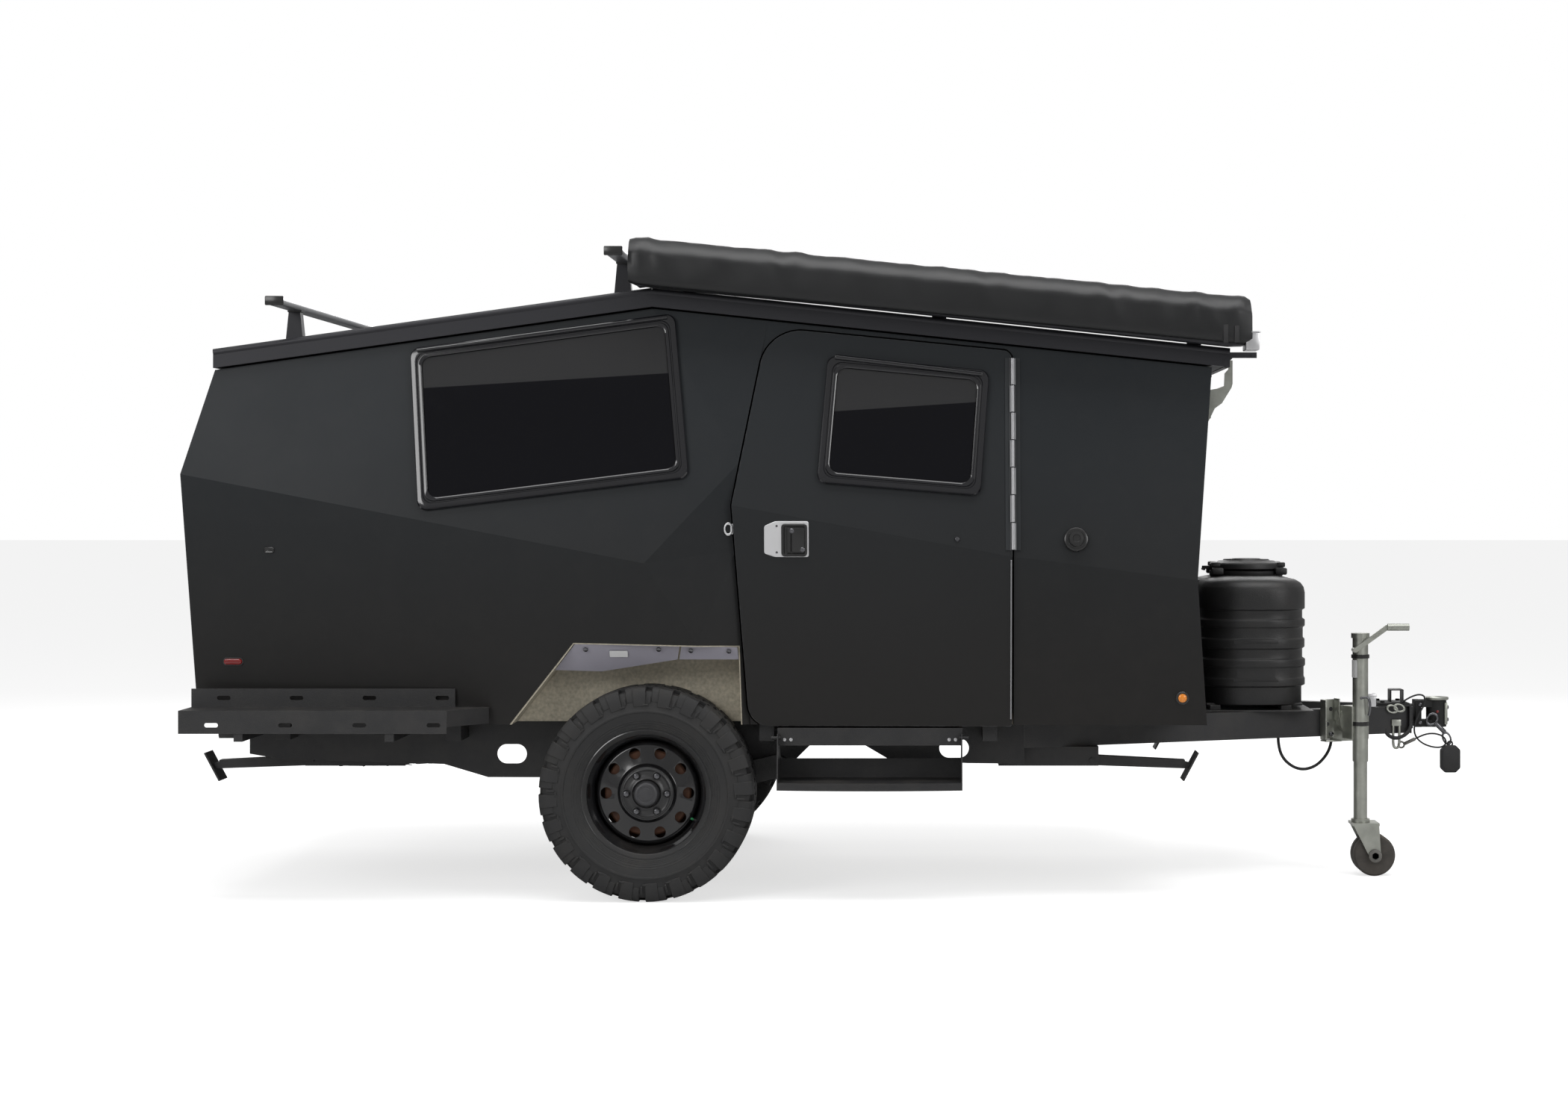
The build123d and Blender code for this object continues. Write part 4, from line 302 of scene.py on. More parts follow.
@dataclass(frozen=True)
class Skin(Finish):
    """Finish of a painted, plated or moulded surface.

    Attributes are the inputs of the shared group and of the shader itself.
    """

    # The lower colour is the foot of a painted fade by height: painted shade low down, fading to the colour, a painted
    # sky reflection, higher up.
    lower: Colour | None = None
    roughness: float = 0.5
    metallic: float = 0.0
    specular: float = 0.5
    grain_scale: float = 500.0
    grain_depth: float = 0.02
    mottle: float = 0.10
    mottle_scale: float = 3.0
    # Wear lightens sharp edges towards its colour: partly real wear, partly a painted edge highlight.
    edge_wear_and_highlight: float = 0.0
    edge_wear_and_highlight_colour: Colour = (0.30, 0.30, 0.30)
    edge_wear_and_highlight_width: float = 0.002
    dust: float = 0.0
    dust_colour: Colour = (0.25, 0.22, 0.18)
    coat: float = 0.0
    coat_roughness: float = 0.1
    strip: tuple[float, float] | None = None
    strip_colour: Colour = (0.5, 0.5, 0.5)

    def wire_up(self, wire: Wiring, shader: bpy.types.Node) -> None:
        """Feeds the shader from the shared group, with a bright strip where one is asked for."""
        group = bpy.data.node_groups.get("weathered_skin") or surface_group()
        skin = wire.add("ShaderNodeGroup", node_tree=group)
        wire.feed(skin, {
            "Colour": (*self.colour, 1.0), "Lower Painted Shade Colour": (*(self.lower or self.colour), 1.0),
            "Edge Wear And Highlight Colour": (*self.edge_wear_and_highlight_colour, 1.0), "Dust Colour": (*self.dust_colour, 1.0),
            "Roughness": self.roughness, "Grain Scale": self.grain_scale, "Mottle": self.mottle,
            "Mottle Scale": self.mottle_scale, "Edge Wear And Highlight": self.edge_wear_and_highlight, "Edge Wear And Highlight Width": self.edge_wear_and_highlight_width,
            "Dust": self.dust})
        relief = wire.bump(skin.outputs["Height"], min(1.0, self.grain_depth * 20), 0.0006)
        colour, metallic = skin.outputs["Colour"], self.metallic
        if self.strip:
            along = wire.split(wire.coordinates())[0]
            off = wire.maths("ABSOLUTE", wire.maths("SUBTRACT", along, self.strip[0]))
            inside = wire.spread(off, self.strip[1], self.strip[1] - 0.0006)
            colour = wire.blend(inside, colour, self.strip_colour)
            metallic = wire.maths("MULTIPLY", inside, 0.8)
        wire.feed(shader, {
            "Base Color": colour, "Roughness": skin.outputs["Roughness"],
            "Metallic": metallic, "Specular IOR Level": self.specular, "Coat Weight": self.coat,
            "Coat Roughness": self.coat_roughness, "Normal": relief})


@dataclass(frozen=True)
class TintedPane(Finish):
    """Dark acrylic pane, with a paler band along its upper edge.

    The band lies above a sloping line, given as its height at X = 0 and its rise per metre.
    """

    band: tuple[float, float]
    band_colour: Colour = (0.034, 0.034, 0.035)
    roughness: float = 0.05
    transmission: float = 0.08

    def wire_up(self, wire: Wiring, shader: bpy.types.Node) -> None:
        """Feeds the shader with the tint, the band and a faint unevenness."""
        cloud = wire.noise(wire.coordinates(), 2.5, 3.0)
        tone = wire.blend(cloud, self.colour, tuple(1.25 * c for c in self.colour))
        place = wire.split(wire.coordinates())
        level = wire.maths("SUBTRACT", place[2], wire.maths("MULTIPLY_ADD", place[0], self.band[1], self.band[0]))
        tone = wire.blend(wire.spread(level, -0.002, 0.002), tone, self.band_colour)
        rough = wire.spread(wire.noise(wire.coordinates(), 14.0, 5.0), 0.45, 0.75, self.roughness,
                            self.roughness + 0.05)
        wire.feed(shader, {"Base Color": tone, "Roughness": rough, "Metallic": 0.0, "IOR": 1.28,
                           "Transmission Weight": self.transmission})


@dataclass(frozen=True)
class Cloth(Finish):
    """Coated or woven fabric."""

    roughness: float = 0.6
    thread: float = 900.0
    depth: float = 0.3
    sheen: float = 0.0
    specular: float = 0.5

    def wire_up(self, wire: Wiring, shader: bpy.types.Node) -> None:
        """Feeds the shader from the shared weave."""
        group = bpy.data.node_groups.get("plain_weave") or weave_group()
        weave = wire.add("ShaderNodeGroup", node_tree=group)
        wire.feed(weave, {"Colour": (*self.colour, 1.0), "Thread Scale": self.thread,
                          "Roughness": self.roughness})
        wire.feed(shader, {
            "Base Color": weave.outputs["Colour"], "Roughness": weave.outputs["Roughness"],
            "Sheen Weight": self.sheen, "Specular IOR Level": self.specular,
            "Normal": wire.bump(weave.outputs["Height"], self.depth, 0.0005)})


def weave_group() -> bpy.types.ShaderNodeTree:
    """Group for cloth: crossed threads with slow colour variation.

    Returns:
        Tree whose outputs are the colour, the roughness and a height for the bump.
    """
    tree = new_group("plain_weave", [
        ("Colour", "NodeSocketColor", (0.1, 0.1, 0.1, 1.0)),
        ("Thread Scale", "NodeSocketFloat", 900.0),
        ("Roughness", "NodeSocketFloat", 0.7),
    ], [("Colour", "NodeSocketColor"), ("Roughness", "NodeSocketFloat"), ("Height", "NodeSocketFloat")])
    wire = Wiring(tree)
    given = tree.nodes["in"].outputs
    place = wire.coordinates()
    parts = wire.split(place)
    waves = []
    for first, second in ((0, 1), (2, 1)):
        along = wire.maths("MULTIPLY", parts[first], given["Thread Scale"])
        across = wire.maths("MULTIPLY", parts[second], given["Thread Scale"])
        waves.append(wire.maths("MULTIPLY", wire.maths("SINE", along), wire.maths("COSINE", across)))
    threads = wire.maths("MULTIPLY", wire.maths("ADD", waves[0], waves[1]), 0.5)
    cloud = wire.noise(place, 6.0, 6.0, 0.6)
    light = wire.maths("MULTIPLY_ADD", wire.maths("SUBTRACT", cloud, 0.5), 0.35, 1.0)
    light = wire.maths("MULTIPLY_ADD", threads, 0.06, light)
    rough = wire.maths("MULTIPLY_ADD", wire.maths("SUBTRACT", cloud, 0.5), 0.2, given["Roughness"])
    for label, value in (("Colour", wire.scaled(given["Colour"], light)), ("Roughness", rough),
                         ("Height", threads)):
        wire.join(value, tree.nodes["out"].inputs[label])
    return tree


# Hull and door paints: the lower colour is a painted darker brownish shade and the colour a painted lighter bluish sky
# reflection; their lighter edges are partly a painted edge highlight.
HULL_PAINT = Skin("hull_paint", (0.0125, 0.0152, 0.0178), (0.0105, 0.0096, 0.0090), roughness=0.50,
                  specular=0.28, grain_scale=900, grain_depth=0.012, mottle=0.05, mottle_scale=1.6, dust=0.02,
                  edge_wear_and_highlight=0.25, edge_wear_and_highlight_colour=(0.05, 0.05, 0.052), edge_wear_and_highlight_width=0.003)
DOOR_PAINT = Skin("door_paint", (0.0132, 0.0156, 0.0180), (0.0110, 0.0101, 0.0095), roughness=0.50,
                  specular=0.30, grain_scale=900, grain_depth=0.012, mottle=0.05, mottle_scale=1.6, edge_wear_and_highlight=0.9,
                  edge_wear_and_highlight_colour=(0.09, 0.09, 0.095), edge_wear_and_highlight_width=0.0035)
HINGE_LEAF = Skin("hinge_leaf", (0.0150, 0.0175, 0.0200), roughness=0.42, grain_scale=500, mottle=0.1,
                  strip=(0.598, 0.0100), strip_colour=(0.36, 0.36, 0.37))
CHASSIS_COAT = Skin("chassis_coat", (0.016, 0.016, 0.017), roughness=0.48, grain_scale=350, grain_depth=0.05,
                    mottle=0.2, mottle_scale=8, edge_wear_and_highlight=0.6, edge_wear_and_highlight_colour=(0.09, 0.085, 0.08), dust=0.10)
ZINC_PLATE = Skin("zinc_plate", (0.40, 0.41, 0.37), roughness=0.34, metallic=0.85, grain_scale=60,
                  grain_depth=0.02, mottle=0.35, mottle_scale=22, edge_wear_and_highlight=0.3, edge_wear_and_highlight_colour=(0.55, 0.53, 0.48),
                  dust=0.25, dust_colour=(0.20, 0.17, 0.13))
FENDER_SILVER = Skin("fender_silver", (0.30, 0.29, 0.335), roughness=0.42, metallic=0.10, grain_scale=250,
                     mottle=0.08, mottle_scale=5, edge_wear_and_highlight=0.5, edge_wear_and_highlight_colour=(0.12, 0.11, 0.11))
ARCH_LINER = Skin("arch_liner", (0.46, 0.42, 0.33), roughness=0.62, metallic=0.05, grain_scale=140,
                  grain_depth=0.05, mottle=0.55, mottle_scale=90, dust=0.15)
GLOSS_FRAME = Skin("gloss_frame", (0.008, 0.008, 0.010), roughness=0.14, grain_scale=80, grain_depth=0.003,
                   mottle=0.1, coat=0.5, coat_roughness=0.05)
HINGE_STEEL = Skin("hinge_steel", (0.30, 0.30, 0.31), roughness=0.36, metallic=0.9, grain_scale=300,
                   mottle=0.25, mottle_scale=30, edge_wear_and_highlight=0.4, edge_wear_and_highlight_colour=(0.5, 0.5, 0.5))
RAIL_BLACK = Skin("rail_black", (0.011, 0.011, 0.012), roughness=0.36, grain_scale=500, mottle=0.1,
                  edge_wear_and_highlight=0.3, edge_wear_and_highlight_colour=(0.08, 0.08, 0.085))
BAR_ALUMINIUM = Skin("bar_aluminium", (0.62, 0.62, 0.63), roughness=0.30, metallic=0.9, grain_scale=700,
                     mottle=0.08, mottle_scale=12)
RUBBER_BLACK = Skin("rubber_black", (0.017, 0.017, 0.018), roughness=0.72, grain_scale=300, grain_depth=0.06,
                    mottle=0.25, mottle_scale=14, dust=0.16, dust_colour=(0.10, 0.088, 0.072))
TYRE_BLACK = Skin("tyre_black", (0.016, 0.016, 0.0165), roughness=0.68, grain_scale=420, grain_depth=0.05,
                  mottle=0.3, mottle_scale=18, edge_wear_and_highlight=0.5, edge_wear_and_highlight_colour=(0.045, 0.043, 0.040), edge_wear_and_highlight_width=0.003,
                  dust=0.22, dust_colour=(0.09, 0.078, 0.062))
RIM_BLACK = Skin("rim_black", (0.006, 0.006, 0.007), roughness=0.22, grain_scale=60, grain_depth=0.003,
                 mottle=0.1, coat=0.6, coat_roughness=0.08, dust=0.06)
DRUM_BROWN = Skin("drum_brown", (0.075, 0.030, 0.014), roughness=0.75, metallic=0.1, grain_scale=160,
                  grain_depth=0.08, mottle=0.7, mottle_scale=40)
MOULDED_BLACK = Skin("moulded_black", (0.0135, 0.0135, 0.0140), roughness=0.44, grain_scale=260,
                     grain_depth=0.06, mottle=0.12, mottle_scale=7, dust=0.07, edge_wear_and_highlight=0.25,
                     edge_wear_and_highlight_colour=(0.05, 0.05, 0.05))
CAST_BLACK = Skin("cast_black", (0.020, 0.019, 0.018), roughness=0.5, metallic=0.35, grain_scale=90,
                  grain_depth=0.10, mottle=0.4, mottle_scale=26, edge_wear_and_highlight=1.0, edge_wear_and_highlight_colour=(0.20, 0.15, 0.11),
                  edge_wear_and_highlight_width=0.004, dust=0.2)
CASTER_GREY = Skin("caster_grey", (0.052, 0.047, 0.042), roughness=0.8, grain_scale=120, grain_depth=0.1,
                   mottle=0.5, mottle_scale=35, dust=0.5, dust_colour=(0.17, 0.145, 0.12))
LENS_RED = Skin("lens_red", (0.20, 0.006, 0.006), roughness=0.2, coat=0.6, mottle=0.15)
FITTING_BLACK = Skin("fitting_black", (0.012, 0.012, 0.013), roughness=0.3, grain_scale=200, mottle=0.1,
                     edge_wear_and_highlight=0.3, edge_wear_and_highlight_colour=(0.06, 0.06, 0.06))
FLOOR_BOARD = Skin("floor_board", (0.045, 0.043, 0.042), roughness=0.6, grain_scale=120, grain_depth=0.06,
                   mottle=0.4, mottle_scale=30)
CABINET_BOARD = Skin("cabinet_board", (0.34, 0.33, 0.31), roughness=0.45, grain_scale=200, mottle=0.08,
                     mottle_scale=5)
HANDLE_SILVER = Skin("handle_silver", (0.66, 0.66, 0.67), roughness=0.32, metallic=0.35, grain_scale=400,
                     mottle=0.05, coat=0.2)
LENS_AMBER = Skin("lens_amber", (0.75, 0.23, 0.01), roughness=0.25, coat=0.6, mottle=0.1)
LABEL_WHITE = Skin("label_white", (0.62, 0.62, 0.62), roughness=0.5, mottle=0.06, mottle_scale=20)
WORN_STEEL = Skin("worn_steel", (0.16, 0.155, 0.145), roughness=0.45, metallic=0.6, mottle=0.5, mottle_scale=30,
                  grain_scale=120, grain_depth=0.05, dust=0.3, dust_colour=(0.14, 0.11, 0.09))
CAP_GREEN = Skin("cap_green", (0.01, 0.16, 0.05), roughness=0.4)
CENTRE_GREY = Skin("centre_grey", (0.019, 0.019, 0.020), roughness=0.36, grain_scale=250, grain_depth=0.03,
                   mottle=0.15, coat=0.2, coat_roughness=0.3, dust=0.08)
CAP_GREY = Skin("cap_grey", (0.055, 0.055, 0.058), roughness=0.42, metallic=0.4, grain_scale=300, mottle=0.2,
                mottle_scale=30, edge_wear_and_highlight=0.5, edge_wear_and_highlight_colour=(0.20, 0.20, 0.21))
NUT_CHROME = Skin("nut_chrome", (0.16, 0.16, 0.17), roughness=0.18, metallic=0.95, mottle=0.2, mottle_scale=60)
DARK_PANE = TintedPane("dark_pane", (0.0035, 0.0035, 0.0050), (1.842, 0.0603))
DOOR_PANE = TintedPane("door_pane", (0.0035, 0.0035, 0.0050), (1.676, 0.0662))
MATTRESS_CLOTH = Cloth("mattress_cloth", (0.20, 0.20, 0.215), roughness=0.85, thread=1500, sheen=0.3)
SKIRT_CANVAS = Cloth("skirt_canvas", (0.17, 0.17, 0.165), roughness=0.85, thread=1200, sheen=0.2)
BAG_VINYL = Cloth("bag_vinyl", (0.0085, 0.0088, 0.0095), roughness=0.42, thread=1800, depth=0.12, specular=0.45)

SLOT_OF: dict[str, str] = {row["node"]: row["material_slot"] for row in frame["record"]["subparts"]}
FINISH_OF_SLOT: dict[str, Finish] = {
    "arch_beige": ARCH_LINER, "bag_black": BAG_VINYL, "bar_aluminium": BAR_ALUMINIUM, "cabinet_white": CABINET_BOARD,
    "caster_rubber": CASTER_GREY, "cast_black": CAST_BLACK, "chassis_black": CHASSIS_COAT, "cord_black": RUBBER_BLACK,
    "cover_plastic": MOULDED_BLACK, "door_black": DOOR_PAINT, "drum_rust": DRUM_BROWN, "fender_grey": FENDER_SILVER,
    "fitting_black": FITTING_BLACK, "floor_board": FLOOR_BOARD, "frame_gloss": GLOSS_FRAME, "glass_tint": DARK_PANE,
    "hinge_steel": HINGE_LEAF, "hull_black": HULL_PAINT, "lamp_red": LENS_RED, "mattress_grey": MATTRESS_CLOTH,
    "rail_black": RAIL_BLACK, "rim_gloss": RIM_BLACK, "spring_rubber": RUBBER_BLACK, "tent_grey": SKIRT_CANVAS,
    "tyre_rubber": TYRE_BLACK, "zinc": ZINC_PLATE,
}
# Nodes that differ from the rest of their slot
FINISH_OF_NODE: dict[str, Finish] = {"door_handle": HANDLE_SILVER, "door_window_glass": DOOR_PANE}


def dress(piece: bpy.types.Object, finish: Finish) -> bpy.types.Object:
    """Gives a piece one finish all over.

    Args:
        piece: Mesh or curve object.
        finish: Finish whose material it takes.

    Returns:
        The same piece.
    """
    piece.data.materials.clear()
    piece.data.materials.append(finish.build())
    return piece


def dress_frame() -> None:
    """Gives every node of the frame its finish."""
    for name, node in frame["nodes"].items():
        dress(node, FINISH_OF_NODE.get(name) or FINISH_OF_SLOT[SLOT_OF[name]])


# Hand-modelling steps shared by the sub-assemblies

def deselect() -> None:
    """Leaves nothing selected, in object mode."""
    if bpy.context.object and bpy.context.object.mode != "OBJECT":
        bpy.ops.object.mode_set(mode="OBJECT")
    bpy.ops.object.select_all(action="DESELECT")


def pick(piece: bpy.types.Object) -> None:
    """Selects one piece alone and makes it active."""
    deselect()
    piece.select_set(True)
    bpy.context.view_layer.objects.active = piece


def settle(piece: bpy.types.Object) -> bpy.types.Object:
    """Moves a piece's place, turn and size into its mesh.

    Args:
        piece: Object in object mode.

    Returns:
        The same object, at the origin.
    """
    pick(piece)
    bpy.ops.object.transform_apply(location=True, rotation=True, scale=True)
    return piece


def finish_modifier(piece: bpy.types.Object, kind: str, **settings: object) -> bpy.types.Object:
    """Adds a modifier and applies it.

    Args:
        piece: Mesh object.
        kind: Type of the modifier.
        settings: Its properties.

    Returns:
        The same object.
    """
    pick(piece)
    modifier = piece.modifiers.new(kind.lower(), kind)
    for name, value in settings.items():
        setattr(modifier, name, value)
    bpy.ops.object.modifier_apply(modifier=modifier.name)
    return piece


def smooth(piece: bpy.types.Object, angle: float = 32.0) -> bpy.types.Object:
    """Shades a piece smooth, apart from edges sharper than an angle in degrees."""
    pick(piece)
    bpy.ops.object.shade_smooth_by_angle(angle=math.radians(angle))
    return piece


def edit(piece: bpy.types.Object, select: str = "SELECT") -> None:
    """Opens one piece in edit mode with all or none of it selected."""
    pick(piece)
    bpy.ops.object.mode_set(mode="EDIT")
    bpy.ops.mesh.select_mode(type="VERT")
    bpy.ops.mesh.select_all(action=select)


def choose(piece: bpy.types.Object, kind: str, test: Callable[[object], bool]) -> None:
    """Selects the faces or edges of an edited piece that a test holds for.

    Args:
        piece: Piece in edit mode.
        kind: FACE or EDGE.
        test: Takes a face or an edge.
    """
    bpy.ops.mesh.select_mode(type=kind)
    mesh = bmesh.from_edit_mesh(piece.data)
    for element in mesh.faces if kind == "FACE" else mesh.edges:
        element.select_set(test(element))
    bmesh.update_edit_mesh(piece.data)


def bevelled(piece: bpy.types.Object, width: float, degrees: float, segments: int = 2) -> bpy.types.Object:
    """Rounds the edges that are sharper than an angle, by a width in metres."""
    return finish_modifier(piece, "BEVEL", width=width, segments=segments, limit_method="ANGLE",
                           angle_limit=math.radians(degrees))


def tidy_shell(piece: bpy.types.Object, gap: float = 0.00002) -> bpy.types.Object:
    """Merges doubled points and turns all faces outward."""
    edit(piece)
    bpy.ops.mesh.remove_doubles(threshold=gap)
    bpy.ops.mesh.normals_make_consistent(inside=False)
    bpy.ops.object.mode_set(mode="OBJECT")
    return piece


def joined(name: str, pieces: Sequence[bpy.types.Object]) -> bpy.types.Object:
    """Joins pieces into one object with one mesh.

    Args:
        name: Name of the result.
        pieces: Mesh objects.

    Returns:
        The joined object.
    """
    deselect()
    for piece in pieces:
        piece.select_set(True)
    bpy.context.view_layer.objects.active = pieces[0]
    if len(pieces) > 1:
        bpy.ops.object.join()
    pieces[0].name = name
    return settle(pieces[0])


def copied(piece: bpy.types.Object, name: str, matrix: Matrix | None = None) -> bpy.types.Object:
    """Copy of a piece with its own mesh, moved by a matrix.

    Args:
        piece: Object to copy.
        name: Name of the copy.
        matrix: Move or mirror that is worked into the mesh.

    Returns:
        The copy.
    """
    twin = piece.copy()
    twin.data = piece.data.copy()
    twin.name = name
    bpy.context.scene.collection.objects.link(twin)
    if matrix is not None:
        twin.data.transform(matrix)
        if matrix.determinant() < 0:
            twin.data.flip_normals()
    return twin


def mirrored(piece: bpy.types.Object, name: str) -> bpy.types.Object:
    """Copy of a piece on the other side of the trailer."""
    return copied(piece, name, MIRROR)


def block(low: Vector, high: Vector, rounding: float = 0.0, segments: int = 2) -> bpy.types.Object:
    """Box with rounded edges.

    Args:
        low: Lowest corner in metres.
        high: Highest corner in metres.
        rounding: Radius of its edges.
        segments: Steps in the rounding.

    Returns:
        The new object.
    """
    deselect()
    bpy.ops.mesh.primitive_cube_add(size=1, location=(Vector(low) + Vector(high)) / 2)
    piece = bpy.context.object
    piece.scale = Vector(high) - Vector(low)
    settle(piece)
    if rounding:
        edit(piece)
        bpy.ops.mesh.bevel(offset=rounding, segments=segments, affect="EDGES")
        bpy.ops.object.mode_set(mode="OBJECT")
    return piece


def rod(start: Vector, end: Vector, radius: float, sides: int = 20, rounding: float = 0.0) -> bpy.types.Object:
    """Round bar between two points, its end edges rounded.

    Args:
        start: Centre of one end.
        end: Centre of the other end.
        radius: Its radius.
        sides: Faces round it.
        rounding: Radius of its end edges.

    Returns:
        The new object.
    """
    start, end = Vector(start), Vector(end)
    deselect()
    bpy.ops.mesh.primitive_cylinder_add(vertices=sides, radius=radius, depth=(end - start).length,
                                        location=(start + end) / 2)
    piece = bpy.context.object
    if rounding:
        edit(piece, "DESELECT")
        choose(piece, "FACE", lambda face: abs(face.normal.z) > 0.9)
        bpy.ops.mesh.bevel(offset=rounding, segments=2, affect="EDGES")
        bpy.ops.object.mode_set(mode="OBJECT")
    piece.rotation_mode = "QUATERNION"
    piece.rotation_quaternion = (end - start).to_track_quat("Z", "Y")
    return settle(piece)


def drawn(points: Sequence[Vector], close: bool = False) -> bpy.types.Object:
    """Line drawn point by point by extruding its end, filled where it is closed.

    Args:
        points: Places of its corners in metres.
        close: Whether it comes back to its start and is filled.

    Returns:
        The new object.
    """
    deselect()
    bpy.ops.mesh.primitive_plane_add(size=0.001, location=points[0])
    piece = bpy.context.object
    edit(piece)
    bpy.ops.mesh.merge(type="CENTER")
    for before, after in zip(points, points[1:]):
        step = Vector(after) - Vector(before)
        bpy.ops.mesh.extrude_region_move(TRANSFORM_OT_translate={"value": step})
    if close:
        bpy.ops.mesh.select_all(action="SELECT")
        bpy.ops.mesh.edge_face_add()
    bpy.ops.object.mode_set(mode="OBJECT")
    return settle(piece)


def plate_of(points: Sequence[Vector], thickness: float, rounding: float, degrees: float) -> bpy.types.Object:
    """Outline extruded along Y by a thickness in metres, its edges rounded."""
    sheet = drawn(points, True)
    edit(sheet)
    bpy.ops.mesh.extrude_region_move(TRANSFORM_OT_translate={"value": (0, thickness, 0)})
    bpy.ops.object.mode_set(mode="OBJECT")
    return bevelled(tidy_shell(sheet), rounding, degrees)


def turned(points: Sequence[Vector], centre: Vector, axis: Vector, steps: int, angle: float = math.tau,
           close: bool = False) -> bpy.types.Object:
    """Piece spun round an axis from a drawn line or a filled outline.

    Args:
        points: Line in a plane through the axis.
        centre: Point on the axis.
        axis: Direction of the axis.
        steps: Faces round it.
        angle: Angle that it is spun by.
        close: Whether the line is closed and filled first.

    Returns:
        The new object, merged and facing outward.
    """
    piece = drawn(points, close)
    edit(piece)
    bpy.ops.mesh.spin(steps=steps, angle=angle, center=centre, axis=axis)
    bpy.ops.object.mode_set(mode="OBJECT")
    return tidy_shell(piece)


def ring_copies(piece: bpy.types.Object, count: int, centre: Vector, axis: Vector) -> bpy.types.Object:
    """Repeats a piece round an axis, all in one mesh."""
    edit(piece)
    bpy.ops.mesh.spin(steps=count - 1, angle=math.tau * (count - 1) / count, center=centre, axis=axis,
                      dupli=True)
    bpy.ops.object.mode_set(mode="OBJECT")
    return piece


def cut(piece: bpy.types.Object, tool: bpy.types.Object) -> bpy.types.Object:
    """Cuts one piece with another, which is then removed."""
    finish_modifier(piece, "BOOLEAN", object=tool, operation="DIFFERENCE", solver="EXACT")
    bpy.data.objects.remove(tool)
    return piece


def mount(piece: bpy.types.Object, name: str, body: str, finish: Finish | None,
          replaced: Sequence[str] = ()) -> bpy.types.Object:
    """Names a finished piece, dresses it and lets it ride on its body.

    Args:
        piece: Finished object.
        name: Its name.
        body: CAD body that it rides on.
        finish: Its finish, or None where it is dressed already.
        replaced: CAD nodes that it stands for.

    Returns:
        The same object.
    """
    piece.name = name
    piece.data.name = name
    if finish is not None:
        dress(piece, finish)
    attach(piece, body)
    if replaced:
        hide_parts(*replaced)
    LOG.info("%s rides on %s", name, body)
    return piece


